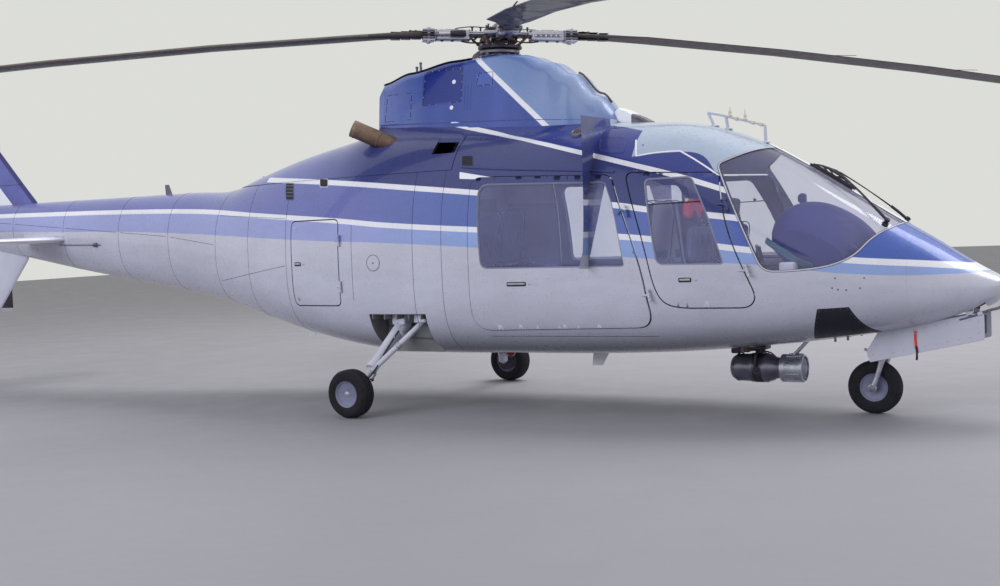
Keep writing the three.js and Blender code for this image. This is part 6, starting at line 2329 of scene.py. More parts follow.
PATTERNS = {}                 # each size of cushion, swelled and sewn once
def cushion(name, fabric, sizes, seams, place):
    """A padded piece, copied from its size's pattern to its place."""
    if sizes not in PATTERNS:
        width, depth, height = sizes
        blank = cushion_blank(width - 14, depth - 14, height - 10, 0.18)
        points = np.concatenate(blank.points) * MM
        mesh = bpy.data.meshes.new("cushion_pattern")
        mesh.from_pydata([tuple(p) for p in points], [], blank.faces)
        made = face_out(placed(bpy.data.objects.new("cushion_pattern", mesh)))
        plumped(made)
        sewn(made, seams, 9.0, 9.0, -height * 0.36)
        PATTERNS[sizes] = made.data
        bpy.data.objects.remove(made)
    mesh = PATTERNS[sizes].copy()
    mesh.name = name
    mesh.materials.clear()
    mesh.materials.append(fabric)
    mesh.vertices.foreach_set("co", in_frame(moved(coordinates(mesh) / MM, place)).ravel())
    mesh.polygons.foreach_set("use_smooth", np.ones(len(mesh.polygons), bool))
    mesh.update()
    made = placed(bpy.data.objects.new(name, mesh))
    return made


def seat_turn(x, y, z, facing):
    """From a cushion's own axes to its place: its width runs across the aircraft."""
    turned = Matrix.Scale(facing, 4, (1, 0, 0)) @ Matrix.Scale(facing, 4, (0, 1, 0))
    return Matrix.Translation(Vector((x, y, z))) @ turned


def outline_on(sizes, height, grow=0.0):
    """The seam round a cushion's edge, in the cushion's own axes."""
    width, depth, _ = sizes
    angles = angles_of(72)
    x = np.sign(np.cos(angles)) * np.abs(np.cos(angles)) ** 0.4
    y = np.sign(np.sin(angles)) * np.abs(np.sin(angles)) ** 0.4
    waist = 1 - 0.035 * (1 - np.minimum(np.abs(x), np.abs(y)) ** 2)
    return np.stack([x * waist * (width / 2 + grow), y * waist * (depth / 2 + grow), np.full(72, height)], 1)


def seat_place(x, y, facing, width, name, body_fabric, node=None, head=None):
    """One seat: pan, legs, shell, cushions, piping and belt. x is the back's foot, facing is +1 forwards."""
    low = FLOOR_HEIGHT
    bottom_size = (470, width - 10, 96)
    back_size = (300 if head else 470, width - 16, 84)
    bottom_place = seat_turn(x + facing * 262, y, low + 374, facing)
    back_tilt = Matrix.Rotation(math.radians(-82.5), 4, "Y")
    back_place = seat_turn(x + facing * (56 if head else 44), y, low + (572 if head else 660),
                           facing) @ back_tilt
    bottom = cushion(f"{name}_seat", body_fabric, bottom_size, ((1, -width / 6), (1, width / 6), (0, 150)),
                     bottom_place)
    nodes = (node,) if node else ()
    piece(bottom, "airframe", "seat_fabric", *nodes)
    rows = ((0, 60), (0, -60)) if head else ((0, 120), (0, 0), (0, -120))
    back = cushion(f"{name}_back", body_fabric, back_size, rows, back_place)
    piece(back, "airframe", "seat_fabric")
    if head:
        size = (164, 330, 84)
        rest_place = seat_turn(x + facing * 22, y, low + 818, facing) @ back_tilt
        rest = cushion(f"{name}_headrest", head, size, ((1, 0),), rest_place)
        piece(rest, "airframe", "seat_fabric")
    frame = Shape()
    for height in (-22, 24):
        frame.closed_tube(moved(outline_on(bottom_size, height, -1), bottom_place), 3.4, 8, 1)
        frame.closed_tube(moved(outline_on(back_size, height - 2, -1), back_place), 3.4, 8, 1)
    x0, x1 = sorted((x + facing * 24, x + facing * 492))
    half = width / 2
    frame.slab(x0, x1, y - half + 8, y + half - 8, low + 300, low + 334, 8)
    for side in (-1, 1):
        y0 = y + side * (half - 110)
        rail0, rail1 = sorted((x + facing * 70, x + facing * 450))
        frame.slab(rail0, rail1, y0 - 16, y0 + 16, low + 0.6, low + 22, 3, 2)
        for reach in (100, 410):
            frame.bar((x + facing * reach, y0, low + 20), (x + facing * (reach + 12), y0, low + 304), 13,
                      sides=18, kind=2)
        brace = [(x + facing * 110, y0, low + 30), (x + facing * 400, y0, low + 290)]
        frame.tube(brace, 7, 12, 2)
        post = [(x + facing * 40, y + side * (half - 26), low + 320),
                (x + facing * 4, y + side * (half - 26), low + 560),
                (x - facing * 36, y + side * (half - 40), low + 860)]
        frame.tube(post, 11, 14, 2)
    shell = []
    for share in np.linspace(0, 1, 9):
        z = low + 400 + 470 * share
        back_x = x + facing * (6 - 66 * share)
        shell.append([
            (back_x + facing * (thick - 10 * (1 - across ** 2)), y + across * (half - 14), z)
            for thick, ends in ((0, (-1, 1)), (5, (1, -1))) for across in np.linspace(*ends, 9)
        ])
    frame.grid(shell, caps=True)
    forward = np.array([facing, 0, 0.0])
    lap = [(x + facing * 96, y - half + 16, low + 350), (x + facing * 110, y - half + 24, low + 436),
           (x + facing * 190, y - 60, low + 446), (x + facing * 230, y, low + 448)]
    mirror = [(p[0], 2 * y - p[1], p[2]) for p in lap]
    for path in (lap, mirror):
        frame.belt(path, 44, [(0, 0, 1), (0, 0, 1)], 3)
    frame.slab(x + facing * 230 - 24, x + facing * 230 + 24, y - 30, y + 30, low + 446, low + 462, 4, 4)
    for side in (-1, 1):
        strap = [(x - facing * 14, y + side * 70, low + 868), (x + facing * 50, y + side * 74, low + 800),
                 (x + facing * 92, y + side * 60, low + 640), (x + facing * 130, y + side * 40, low + 500),
                 (x + facing * 214, y + side * 14, low + 452)]
        frame.belt(strap, 40, [forward, forward, forward, forward + (0, 0, 1)], 3)
    shell_paint = SEAT_SHELL if head else PALE_TRIM
    made = frame.make(f"{name}_frame", [shell_paint, PIPING, DULL_METAL, WEBBING, BARE_METAL], 40)
    piece(made, "airframe", "panel_plastic")


CREW_SEAT_Y = 330
HOOD_HALF = 456


def make_seats():
    for name, side in SIDES:
        head = RED_FABRIC if side < 0 else SEAT_FABRIC
        seat_place(2400, side * CREW_SEAT_Y, 1, 450, f"crew_{name}", SEAT_FABRIC, f"crew_seat_{name}", head)
    for row, x, facing in (("front", 2160, -1), ("rear", 470, 1)):
        for place, y in (("right", -378), ("middle", 0), ("left", 378)):
            node = f"cabin_seats_{row}" if place == "middle" else None
            seat_place(x, y, facing, 372, f"cabin_{row}_{place}", SEAT_FABRIC, node)


def hood_surface():
    """The instrument hood: highest in the middle, falling and drawing back to both sides."""
    middle = [(2925, 1262), (2922, 1300), (2950, 1356), (3020, 1412), (3110, 1440), (3230, 1428),
              (3360, 1370), (3470, 1290),
              (3556, 1180), (3572, 1060)]
    edge = [(3020, 1130), (3022, 1160), (3044, 1206), (3090, 1240), (3150, 1252), (3230, 1240),
            (3320, 1204), (3410, 1150),
            (3480, 1086), (3492, 1020)]
    middle = path_points([(x, 0, z) for x, z in middle], 24)
    edge = path_points([(x, 0, z) for x, z in edge], 24)
    share = np.linspace(0, 1, 22)

    def along(path):
        return np.stack([np.interp(share, np.linspace(0, 1, len(path)), path[:, k]) for k in (0, 2)], 1)

    middle, edge = along(middle), along(edge)
    outer, inner = [], []
    for y in np.linspace(-HOOD_HALF, HOOD_HALF, 34):
        blend = (abs(y) / HOOD_HALF) ** 2.4
        profile = middle * (1 - blend) + edge * blend
        outer.append([(x, y, z) for x, z in profile])
        centre = profile.mean(0)
        inner.append([(x + (centre[0] - x) * 0.035, y * 0.985, z - 10) for x, z in profile])
    return outer, inner


def make_panel():
    panel = Shape()
    outer, inner = hood_surface()
    panel.grid(outer, closed=False).grid(inner, closed=False)
    for index, y in ((0, -HOOD_HALF), (-1, HOOD_HALF)):
        low = [(3400, y, 1000), (3290, y, 1004), (3180, y, 1016), (3090, y, 1052)]
        ends = np.vstack([outer[index], low])
        panel.add(ends, [tuple(range(len(ends)))], 0)
    for k in (0, len(outer[0]) - 1):
        lip = [(outer[i][k], inner[i][k]) for i in range(len(outer))]
        panel.add(np.array(lip).reshape(-1, 3),
                  [(2 * i, 2 * i + 1, 2 * i + 3, 2 * i + 2) for i in range(len(lip) - 1)], 0)
    panel.slab(3180, 3220, -410, 410, 1012, 1250, 6)
    panel.slab(3176, 3190, -400, -130, 1030, 1240, 3, 1)
    panel.slab(3176, 3190, 130, 400, 1030, 1240, 3, 1)
    panel.slab(3172, 3190, -120, 120, 1030, 1330, 3, 1)
    panel.slab(3200, 3540, -395, 395, 1012, 1150, 30)
    for side in (-1, 1):
        for row, z in enumerate((1196, 1108)):
            for column in range(3):
                panel.dial((3176, side * (178 + 86 * column), z), 37, 0.5 + row + column * 1.1)
        for k in range(6):
            place = (3176, side * (150 + 44 * k), 1045)
            panel.bar(place, np.array(place) - (14, 0, 0), 6, sides=14, kind=4)
    for k in range(3):
        for column in (-1, 1):
            panel.dial((3172, column * 42, 1290 - 62 * k), 25, 0.8 * k + column)
    for z in (1128, 1096, 1064):
        panel.slab(3166, 3174, -100, 100, z - 12, z + 12, 2, 2)
        for y in (-84, 84):
            panel.bar((3166, y, z), (3152, y, z), 7, sides=14, kind=4)
    panel.slab(2962, 3336, -108, 108, FLOOR_HEIGHT + 0.6, 1040, 12)
    panel.slab(2972, 3160, -98, 98, 1036, 1052, 4, 1)
    for row in range(4):
        x = 2990 + 44 * row
        for y in (-66, -22, 22, 66):
            panel.bar((x, y, 1050), (x, y, 1068), 6, sides=12, kind=4)
        panel.slab(x + 16, x + 28, -88, 88, 1050, 1055, 1, 3 if row % 2 else 2)
    for y in (-40, 40):
        panel.tube([(3110, y, 1050), (3096, y, 1092), (3070, y * 0.9, 1126)], 6, 12, 4)
        panel.bar((3066, y * 0.9, 1122), (3058, y * 0.9, 1146), 14, sides=18, kind=4)
    ball = [(-64, 14), (-60, 34), (-44, 52), (-20, 62), (10, 62), (34, 52), (50, 30), (54, 12)]
    panel.lathe(ball, (3150, -300, 1300), (0.5, 0, 0.86), 40)
    panel.slab(3060, 3100, -36, 36, 1430, 1500, 12)
    panel.bar((3059, 0, 1466), (3052, 0, 1466), 26, sides=32, kind=2)
    made = panel.make("instrument_panel_body",
                      [PANEL_PLASTIC, SEAT_SHELL, DIAL_FACE, DIAL_WHITE, SEAL_RUBBER], 40)
    piece(made, "airframe", "panel_plastic", "instrument_panel")

    trim = Shape()
    for side in (-1, 1):
        strip = [(3000, side * 520, 1190), (3080, side * 512, 1130), (3180, side * 500, 1062),
                 (3290, side * 486, 1014)]
        trim.ribbon(path_points(strip, 20), 56, 16, normals=(-0.55, -side * 0.35, 0.76))
        trim.slab(3080, 3190, *sorted((side * 545, side * 470)), 975, 1050, 12, 1)
    piece(trim.make("cockpit_side_trim", [TEAL_TRIM, PALE_TRIM], 40), "airframe", "panel_plastic")


def make_controls():
    shape = Shape()
    for side in (-1, 1):
        y = side * CREW_SEAT_Y
        shape.tube([(2960, y, FLOOR_HEIGHT), (2950, y, 780), (2925, y, 900), (2900, y, 1010),
                    (2886, y, 1072)], [15, 14, 13, 12, 12], 14)
        shape.tube([(2887, y, 1050), (2876, y, 1100), (2868, y, 1152)], [19, 21, 17], 16, 1)
        shape.bar((2862, y, 1150), (2858, y, 1164), 12, sides=16, kind=2)
        shape.lathe([(0, 60), (10, 58), (60, 22), (90, 18)], (2960, y, FLOOR_HEIGHT + 0.5), UP, 28, 1)
        for offset in (-80, 80):
            shape.tube([(3230, y + offset, FLOOR_HEIGHT + 40), (3226, y + offset, 740),
                        (3200, y + offset, 800)], 9, 12)
            shape.slab(3176, 3200, y + offset - 42, y + offset + 42, 760, 850, 6, 1)
        shape.bar((3230, y - 130, FLOOR_HEIGHT + 46), (3230, y + 130, FLOOR_HEIGHT + 46), 14, sides=18)
        for offset in (-120, 120):
            shape.slab(3210, 3250, y + offset - 12, y + offset + 12, FLOOR_HEIGHT + 0.6, FLOOR_HEIGHT + 60, 3)
        lever_y = y + 262
        shape.tube([(2480, lever_y, FLOOR_HEIGHT + 60), (2640, lever_y, 760), (2800, lever_y, 880)], 12, 14)
        shape.tube([(2790, lever_y, 872), (2850, lever_y, 918), (2890, lever_y, 948)], 19, 16, 1)
        shape.bar((2480, lever_y - 26, FLOOR_HEIGHT + 60),
                  (2480, lever_y + 26, FLOOR_HEIGHT + 60), 22, sides=20)
        shape.slab(2450, 2512, lever_y - 18, lever_y + 18, FLOOR_HEIGHT + 0.6, FLOOR_HEIGHT + 56, 4)
    piece(shape.make("crew_controls", [DULL_METAL, SEAL_RUBBER, BARE_METAL], 40), "airframe", "panel_plastic")


def make_cabin_trim():
    trim = Shape()
    for y in (-230, 230):
        for x in (900, 1500, 2050):
            trim.lathe([(0, 60), (3, 58), (8, 40), (10, 20)], (x, y, CEILING_HEIGHT - 0.5), (0, 0, -1), 32, 1)
    trim.slab(2380, 2760, -120, 120, CEILING_HEIGHT - 62, CEILING_HEIGHT - 0.6, 16)
    for row in range(3):
        for y in (-72, -24, 24, 72):
            trim.bar((2440 + 90 * row, y, CEILING_HEIGHT - 60), (2440 + 90 * row, y, CEILING_HEIGHT - 76), 7,
                     sides=12, kind=2)
    for side in (-1, 1):
        hand = [(2000, side * 470, 1660), (1996, side * 476, 1600), (1996, side * 476, 1520),
                (2000, side * 470, 1460)]
        trim.tube(hand, 11, 12, 2)
    trim.slab(BULKHEAD_FRONT + 4, BULKHEAD_FRONT + 26, -420, 420, 1180, 1600, 14, 3)
    made = trim.make("cabin_trim", [HEADLINING, PALE_TRIM, DARK_METAL, TRIM_GREY], 40)
    piece(made, "airframe", "panel_plastic")


make_seats()
make_panel()
make_controls()
make_cabin_trim()


# Fittings on the skin: handles, seams, fastener rows, vents, wipers, aerials and lamps
PALE_INSULATOR = worn("pale_insulator", srgb(206, 196, 176), 0.6, tone=0.15, tone_scale=40)
RED_LENS = worn("red_lens", srgb(168, 30, 26), 0.15, tone=0.05, coat=0.8, Transmission_Weight=0.3)
SEAM_WIDTH = 3.2
SEAM_RISE = 0.9
BELLY_LAMP_X = 700
FILLER_CAP = (-69, 1125)


def to_flat(points):
    """Skin points as (X, section angle times ANGLE_SCALE)."""
    points = np.asarray(points, float)
    return np.stack([points[:, 0], skin_angle(points) * ANGLE_SCALE], 1)


def skin_loop(corners, radius, by=0.0):
    """A rounded outline through skin points, in flat points."""
    return rounded([(x, a, radius) for x, a in to_flat(corners)], by, 8, 16)


def skin_run(points, spacing, side, smooth=False):
    """A path on the skin through skin points."""
    flat = path_points([(x, 0, a) for x, a in to_flat(points)], spacing, smooth)
    return wrapped_place(0, side)(flat[:, [0, 2]])


def hoop(x, low, high, side):
    """A path round one side of the skin at a station, between two section angles in degrees."""
    angles = np.radians(np.linspace(low, high, 40))
    points = skin_points(np.full(40, float(x)), angles)
    points[:, 1] *= side
    return points


def make_seams():
    seams = Shape()
    for side in (-1, 1):
        for x, low, high in ((560, -62, 62), (300, -30, 62), (-1000, -70, 50), (-1480, -80, 70),
                             (-1935, -84, 84)):
            seams.seam(hoop(x, low, high, side))
        for x in (-2600, -3300, -4100, -4870, -5480):
            seams.seam(hoop(x, -88, 88, side))
        seams.seam(side_points(np.full(20, -280.0), np.linspace(841, 1423, 20), 0, side))
        for x, low, high in ((3225, -66, -6), (NOSE_JOINT - 22, -70, 36), (NOSE_JOINT + 22, -62, 62)):
            seams.dots(spaced(hoop(x, low, high, side), 40), None, 2.8, 0.8, sides=6)
        for z0, z1, x0, x1 in ((560, 566, 900, 2240), (1560, 1500, -1900, -1010), (1000, 1120, -1900, -1010)):
            seams.seam(side_path([(x0, z0), (x1, z1)], 30, 0, side), rows=(8,))
        for x0, x1 in ((-5450, -4900), (-4840, -4130), (-4070, -3330), (-3270, -2630), (-2570, -1960)):
            ends = [(x, section_at(x)[2] + 60) for x in (x0, x1)]
            seams.seam(side_path(ends, 40, 0, side), rows=(8,), spacing=60)
    for x, z in ((3429, 878), (3464, 867), (3512, 863), (3594, 873), (3619, 936), (3448, 941)):
        seams.screw(side_points(x, z, 0), 5, 2.5, 1)
    made = seams.make("skin_seams", [LIVERY, SEAM_DARK], 30)
    piece(made, "airframe", "body_paint")


def make_rails():
    """Drip rails, plates and edges on the roof, vents, filler caps and the nose's black plates."""
    rails = Shape()
    for side in (-1, 1):
        rail = [(688, side * 575, 1814), (1023, side * 586, 1779), (1526, side * 601, 1741),
                (1952, side * 608, 1702)]
        rails.ribbon(skin_run(rail, 24, side, True), 18, 9)
        wedge = [(678, side * 594, 1777), (690, side * 617, 1725), (1118, side * 624, 1693)]
        rails.skin_plate(wedge, 6, 3, 2, side)
        edge = [(2052, side * 447, 1921), (2093, side * 544, 1805), (2398, side * 492, 1820),
                (2683, side * 538, 1640)]
        rails.ribbon(skin_run(edge, 24, side), 12, 3.5, kind=2)
        roof = [(1765, side * 429, 1956), (1960, side * 431, 1942), (2004, side * 530, 1832),
                (1812, side * 532, 1844)]
        rails.skin_plate(roof, 34, 2.2, 0, side)
        rails.skin_edge(roof, 34, 5, 3.4, 0, side)
        heads = spaced(wrapped_place(2.2, side)(skin_loop(roof, 26, -14)), 40)
        rails.dots(heads, None, 3, 1, kind=3)
        # Black plate in the vent slot: painted shade where the opening would be.
        slot = [(658, side * 521, 1899), (756, side * 522, 1892), (783, side * 571, 1816),
                (686, side * 570, 1822)]
        rails.skin_plate(slot, 10, 1.4, 4, side)
        rails.skin_edge(slot, 12, 5, 3, 0, side)
        # Louvre: a black plate under its slats, painted shade for the openings between them.
        louvre = [(-1093, side * 476, 1793), (-988, side * 501, 1787), (-934, side * 576, 1647),
                  (-1032, side * 559, 1652)]
        rails.skin_plate(louvre, 12, 1.4, 4, side)
        rails.skin_edge(louvre, 14, 6, 3, 0, side)
        for share in (0.2, 0.4, 0.6, 0.8):
            start = np.array(louvre[0]) * (1 - share) + np.array(louvre[3]) * share
            end = np.array(louvre[1]) * (1 - share) + np.array(louvre[2]) * share
            rails.ribbon(skin_run([start, end], 12, side), 8, 5, kind=3)
        notch = [(-684, side * 542, 1802), (-590, side * 558, 1797), (-567, side * 591, 1732),
                 (-658, side * 578, 1737)]
        rails.skin_plate(notch, 12, 1.6, 4, side)
        rails.skin_edge(notch, 12, 5, 3, 2, side)
        black = [(3328, side * 543, 744), (3521, side * 494, 753), (3646, side * 194, 573),
                 (3232, side * 300, 534)]
        rails.skin_plate(black, 8, 2.0, 4, side)
        heads = spaced(wrapped_place(2.0, side)(skin_loop(black, 6, -14)), 44)
        rails.dots(heads, None, 3, 0.9, kind=3)
        ring = np.array(FILLER_CAP) + 62 * circle(48, np.array([1, 0]), np.array([0, 1]))
        rails.ribbon(side_points(ring[:, 0], ring[:, 1], 0, side), 5, 1.6, closed=True, kind=3)
        centre = side_points(*FILLER_CAP, 0, side)
        rails.lathe([(0, 56), (1.6, 55), (2.2, 20), (2.2, 0.5)], centre, skin_normal(centre), 40)
        rails.bar(centre, centre + skin_normal(centre) * 5, 7, sides=18, kind=3)
        for x, y, z in ((2101, 602, 1700), (2123, 602, 1699), (2120, 482, 1880), (731, 388, 2025),
                        (776, 390, 2021)):
            rails.screw(np.array([x, side * y, z], float), 6, 5, 3)
    vent = np.array([1560, -362, 2010.0])
    normal = skin_normal(vent)
    rails.lathe([(-6, 58), (10, 58), (16, 54), (18, 44), (10, 40), (4, 38)], vent, normal, 48, 3)
    rails.lathe([(4, 40), (5, 4)], vent, normal, 32, 4)
    across = np.cross(normal, UP)
    across /= np.linalg.norm(across)
    up = np.cross(across, normal)
    for offset in (-24, -8, 8, 24):
        middle = vent + normal * 11 + up * offset
        reach = across * math.sqrt(40 ** 2 - offset ** 2)
        rails.bar(middle - reach, middle + reach, 3.5, sides=10, kind=3)
    made = rails.make("skin_fittings", [LIVERY, SEAM_DARK, WHITE_PAINT, DULL_METAL, BLACK_PAINT_AND_VENT_SHADE], 35)
    piece(made, "airframe", "body_paint")


def handle(x0, x1, z, out, side):
    """A recessed pull handle with its lock."""
    shape = Shape()
    corners = [(x0, z - 19, 12), (x1, z - 19, 12), (x1, z + 19, 12), (x0, z + 19, 12)]
    shape.grid(rim_rings(corners, [(2, out - 2), (2, out + 1.6), (-2, out + 1.6), (-3, out + 0.4)], side))
    # The handle's shallow cup takes the dark seam colour: painted shade in the recess.
    shape.add(*filled(rounded(corners, -3, 8, 12), [], side_place(out + 0.4, side), 20), 1)
    middle = side_path([(x0 + 12, z + 2), (x1 - 12, z + 2)], 10, out, side)
    shape.ribbon(middle, 15, 5, sunk=-0.2, kind=2)
    lock = side_points(x1 + 26, z, out, side)
    normal = skin_normal(lock)
    shape.lathe([(-2, 9), (1.5, 9), (2.2, 7), (2.2, 1)], lock, normal, 24, 2)
    return shape


def make_door_fittings():
    for name, side in SIDES:
        cockpit = handle(2438, 2535, 953, 3, side)
        for x in (2440, 2470, 2530):
            cockpit.screw(side_points(x, 1000.0, 3, side), 4, 2, 2)
        pane = [(2211, 1466), (2604, 1472)]
        cockpit.ribbon(side_path(pane, 16, GLASS_OUT, side), 7, 3, kind=1)
        knob = side_points(2500.0, 1482.0, 2, side)
        cockpit.lathe([(0, 12), (8, 12), (10, 8)], knob, skin_normal(knob), 20, 2)
        made = cockpit.make(f"cockpit_door_handle_{name}", [SILVER_PAINT, SEAM_DARK, BARE_METAL], 35)
        piece(made, f"cockpit_door_{name}", "bright_metal")
        cabin = handle(1118, 1284, 945, 10, side)
        for x in (1330, 1352, 1375):
            cabin.screw(side_points(x, 940.0, 10, side), 4, 2, 2)
        made = cabin.make(f"cabin_door_handle_{name}", [SILVER_PAINT, SEAM_DARK, BARE_METAL], 35)
        piece(made, f"cabin_door_{name}", "bright_metal")
    bag = handle(-900, -820, 1130, 2, -1)
    for z in (1420, 850):
        place = side_points(-880, z, 2)
        bag.lathe([(0, 14), (2, 14), (3, 11), (3, 2)], place, skin_normal(place), 24, 2)
    piece(bag.make("baggage_handle", [SILVER_PAINT, SEAM_DARK, BARE_METAL], 35), "baggage_door_right",
          "bright_metal")


def make_wipers():
    """A wiper parked along the post on each pane: blade, spine, link and arm down to its spindle."""
    shape = Shape()
    for side in (-1, 1):
        def top(x, y, out):
            return roof_point(x, side * y, out)

        stations = np.linspace(3144, 3426, 12)
        edge = np.array([top(x, 36, 6) for x in stations])
        shape.ribbon(edge, 6, 12, kind=1)
        shape.tube(np.array([top(x, 36, 19) for x in stations]), 4, 10)
        for x0, x1 in ((3160, 3270), (3300, 3410)):
            ends = [top(x0, 36, 24), top((x0 + x1) / 2, 36, 40), top(x1, 36, 24)]
            shape.tube(ends, 4, 10)
        shape.tube([top(3215, 36, 40), top(3285, 36, 52), top(3355, 36, 40)], 5.5, 10)
        shape.turned_slab((60, 26, 14), top(3292, 40, 50), 35, "Y", 3)
        foot = top(3697, 250, 26)
        for gap in (-8, 8):
            arm = [top(3300, 42 + gap, 56), top(3440, 96 + gap, 48), top(3600, 200 + gap, 40),
                   foot + (6, 0, 4)]
            shape.tube(arm, 4.2, 10)
        shape.tube([top(3600, 200, 42), top(3650, 226, 40), top(3702, 246, 34)], 10, 14)
        shape.lathe([(-26, 22), (-12, 22), (-8, 15), (10, 15), (14, 18), (24, 18), (28, 10)], foot,
                    skin_normal(top(3697, 250, 0)), 28)
    piece(shape.make("wipers", [DARK_METAL, SEAL_RUBBER], 40), "airframe", "dark_metal")


def arched(x, half, low, high, edge):
    """A flat-footed section with rounded upper corners."""
    soft = edge * 0.3
    return [(x, -half, low), (x, -half, high - edge), (x, -half + soft, high - soft), (x, -half + edge, high),
            (x, half - edge, high), (x, half - soft, high - soft), (x, half, high - edge), (x, half, low)]


def make_aerials():
    """Roof rail aerial, scoop, short stubs, boom rod, belly blades and lamps."""
    shape = Shape()
    rail = [np.array(p, float) for p in ((2411, 0, 2106), (2524, 0, 2076), (2828, 0, 1985))]
    shape.tube(rail, 9, 16, smooth=False)
    for high, foot_x in ((rail[0], 2459), (rail[1] + (20, 0, -6), 2558), (rail[2], 2830)):
        foot = roof_point(foot_x, 0, 0)
        shape.bar(high, foot, 10, 13, sides=18)
        shape.lathe([(-4, 34), (4, 34), (8, 26), (12, 16)], foot, UP, 32)
        for way in spokes(4, shift=0.5):
            shape.bolt(foot + way * 26 + UP * 3, UP, 4, 4, 1, washer=False)
    for x, low, high in ((2576, 2062, 2132), (2686, 2028, 2110)):
        shape.lathe([(0, 15), (10, 17), (24, 9), (34, 13), (48, 6), (high - low, 2)], (x, 0, low), UP, 20, 2)
    for x in (2620, 2740, 2800):
        z = float(np.interp(x, [2524, 2828], [2076, 1985]))
        shape.lathe([(-14, 11), (-12, 15), (12, 15), (14, 11)], (x, 0, z), (0.958, 0, -0.287), 20, 2)
    scoop = ((1700, 60, 2170), (1745, 84, 2192), (1800, 90, 2172), (1852, 90, 2142))
    shape.grid([arched(x, half, 2040, high, 22) for x, half, high in scoop], caps=True, kind=3)
    mouth = ((1852.5, 84, 2138), (1905, 84, 2116), (1968, 80, 2080))
    shape.grid([arched(x, half, 2050, high, 16) for x, half, high in mouth], caps=True, kind=4)
    for x, top in ((-30, 2660), (8, 2690)):
        shape.bar((x, -60, 2560), (x, -60, top), 11, 9, sides=18, kind=4)
        shape.lathe([(0, 12), (10, 13), (16, 8)], (x, -60, top - 6), UP, 18, 4)
    arc = []
    for x in np.linspace(1395, 1660, 10):
        top = pylon_at(x)[0]
        arc.append((x, 0, top + 11 + 12 * math.sin(math.pi * (x - 1395) / 265)))
    shape.tube(arc, 8, 12, 5)
    for side in (-1, 1):
        rod = [(-3560, side * 262, 1352), (-3860, side * 243, 1360), (-4169, side * 224, 1368)]
        shape.tube(rod, 5, 12, 1)
        for x, y, z in ((-3575, 261, 1352), (-3860, 243, 1360), (-4150, 225, 1368)):
            foot = side_points(x, z, -2, side)
            shape.bar(foot, (x, side * y, z), 6, sides=12, kind=1)
        shape.lathe([(-22, 8), (-18, 20), (18, 20), (22, 8)], (-3626, side * 258, 1354), (1, 0, 0), 24, 4)
    for x, low, high, chord in ((-1700, 1770, 1890, 110), (-2900, 1780, 1880, 90)):
        foil = [foil_ring((x + chord * 0.5, 0, low), (x - chord * 0.5, 0, low), 14, np.array([0, 1.0, 0])),
                foil_ring((x + chord * 0.05, 0, high), (x - chord * 0.55, 0, high), 8, np.array([0, 1.0, 0]))]
        shape.grid(foil, caps=True, kind=4)
    for x, drop, chord in ((1500, 110, 150), (-1250, 90, 120)):
        low = section_at(x)[1]
        foil = [foil_ring((x + chord * 0.5, 0, low + 12), (x - chord * 0.5, 0, low + 12), 14,
                          np.array([0, 1.0, 0])),
                foil_ring((x, 0, low - drop), (x - chord * 0.6, 0, low - drop), 8, np.array([0, 1.0, 0]))]
        shape.grid(foil, caps=True, kind=3)
    for x, y in ((3329, 140), (3411, 120)):
        for side in (-1, 1):
            low = skin_points(np.array([float(x)]), np.array([-math.pi / 2 + 0.25]))[0]
            place = (x, side * abs(low[1]) * 0.9, low[2] + 4)
            shape.bar(place, np.array(place) - (0, 0, 30), 8, sides=16, kind=4)
    shape.tube([(4120, -118, 640), (4230, -120, 672), (4300, -118, 700), (4350, -90, 712), (4380, -60, 730)],
               9, 14, 4)
    shape.lathe([(-16, 11), (-12, 15), (12, 15), (16, 11)], (4247, -120, 680), (0.9, 0, 0.4), 20)
    materials = [SILVER_PAINT, DULL_METAL, PALE_INSULATOR, WHITE_PAINT, DARK_CHROME, WORN_STRIP]
    piece(shape.make("aerials", materials, 38), "airframe", "bright_metal")


def make_lamps():
    lamps = Shape()
    lamps.lathe([(0, 40), (8, 42), (10, 36), (34, 32), (52, 20), (58, 4)], (-5000, 0, 1792), UP, 36)
    lamps.lathe([(0, 44), (6, 44), (8, 40)], (-5000, 0, 1790), UP, 36, 1)
    below = (BELLY_LAMP_X, 0, section_at(BELLY_LAMP_X)[1] + 1)
    lamps.lathe([(-2, 44), (6, 44), (8, 38), (30, 34), (46, 20), (50, 4)], below, -UP, 36)
    piece(lamps.make("lamps", [RED_LENS, DULL_METAL], 35), "airframe", "clear_glass")


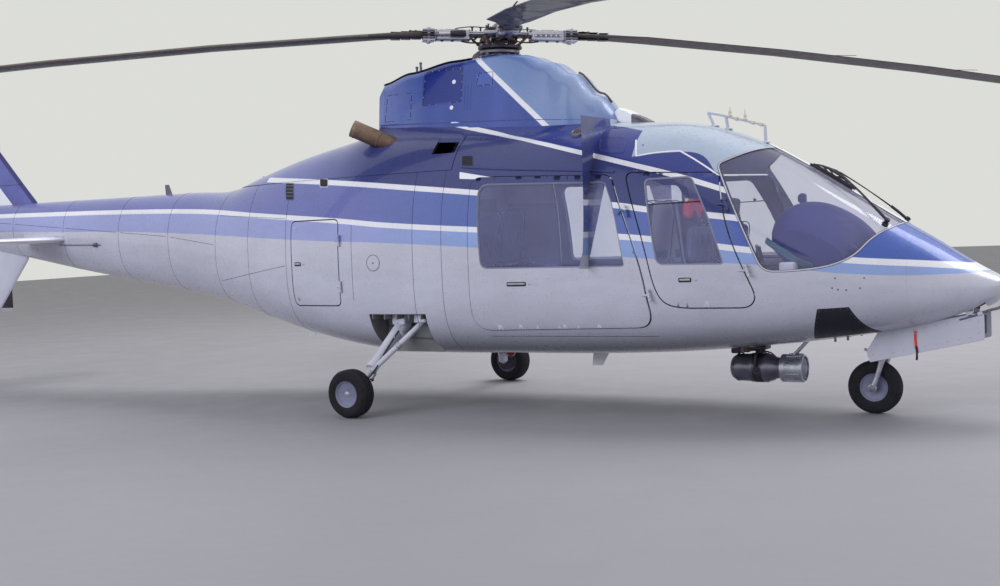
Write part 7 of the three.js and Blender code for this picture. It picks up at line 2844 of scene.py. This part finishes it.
def make_streamer():
    """The red streamer that hangs from the nose wheel's door: a flat cloth strip with its tie."""
    length, width = 190.0, 15.0
    path = [(3842, -128.2, 566), (3841, -130, 520), (3846, -131, 470), (3850, -130.5, 430),
            (3848, -129.5, 378)]
    rows = path_points(path, 9)
    strip = Shape()
    across = np.array([1.0, 0, 0.02])
    normal = np.array([0, -1.0, 0])
    rings = []
    for k, p in enumerate(rows):
        turn = 0.35 * math.sin(k * 0.55)
        side_way = across * math.cos(turn) + normal * math.sin(turn)
        face = normal * math.cos(turn) - across * math.sin(turn)
        rings.append([p - side_way * width / 2 - face * 0.5, p - side_way * width / 2 + face * 0.5,
                      p + side_way * width / 2 + face * 0.5, p + side_way * width / 2 - face * 0.5])
    half = len(rings) // 2
    strip.grid(rings[:half + 1], caps=True).grid(rings[half:], caps=True, kind=1)
    made = strip.make("red_streamer", [RED_FABRIC, DARK_RED_FABRIC], 60)
    piece(made, "airframe", "seat_fabric")
    pin = Shape()
    pin.bar((3842, -124, 572), (3842, -136, 572), 5, sides=16)
    pin.closed_tube((3842, -131, 562) + 11 * spokes(24, "xz"), 1.6, 8)
    holder = pin.make("streamer_pin", [BARE_METAL], 40)
    piece(holder, "airframe", "bright_metal")


make_seams()
make_rails()
make_door_fittings()
make_wipers()
make_aerials()
make_lamps()
make_streamer()


def make_stage():
    """A pale floor just under the wheels."""
    size = 40000
    low = -0.0005 / MM
    floor = Shape().add(
        [(-size, -size, low), (size, -size, low), (size, size, low), (-size, size, low)], [(0, 1, 2, 3)],
    ).make("studio_floor", [worn("pale_floor", srgb(136, 135, 144), 0.7, tone=0.02, tone_scale=0.6)], 0)


def area_light(name, place, target, size, energy, colour, mirrored=False):
    data = bpy.data.lights.new(name, "AREA")
    data.shape = "RECTANGLE"
    data.size, data.size_y = size
    data.energy = energy
    data.color = colour
    light = bpy.data.objects.new(name, data)
    light.location = place
    light.visible_glossy = mirrored
    light.rotation_euler = (Vector(target) - Vector(place)).to_track_quat("-Z", "Y").to_euler()
    placed(light)


def make_lights():
    world = bpy.data.worlds.new("studio_world")
    world.use_nodes = True
    background = world.node_tree.nodes["Background"]
    background.inputs["Color"].default_value = (0.895, 0.904, 0.865, 1)
    background.inputs["Strength"].default_value = 0.80
    bpy.context.scene.world = world
    area_light("key", (2.0, 7.0, 11.0), (1.0, 0.0, 1.5), (7, 7), 1500, (1.0, 0.97, 0.92))
    area_light("fill", (-3.0, -13.0, 6.0), (0.5, 0.0, 1.2), (9, 6), 1050, (0.88, 0.90, 1.0))
    area_light("front", (13.0, -1.0, 5.0), (3.0, 0.0, 1.0), (6, 5), 120, (0.90, 0.94, 1.0))
    area_light("glare", (10.0, 6.0, 9.0), (4.0, 0.0, 1.2), (6, 6), 450, (0.95, 0.97, 1.0), True)
    bpy.context.scene.view_settings.view_transform = "Standard"
    bpy.context.scene.view_settings.exposure = 0.0


make_stage()
make_lights()
bpy.context.view_layer.update()
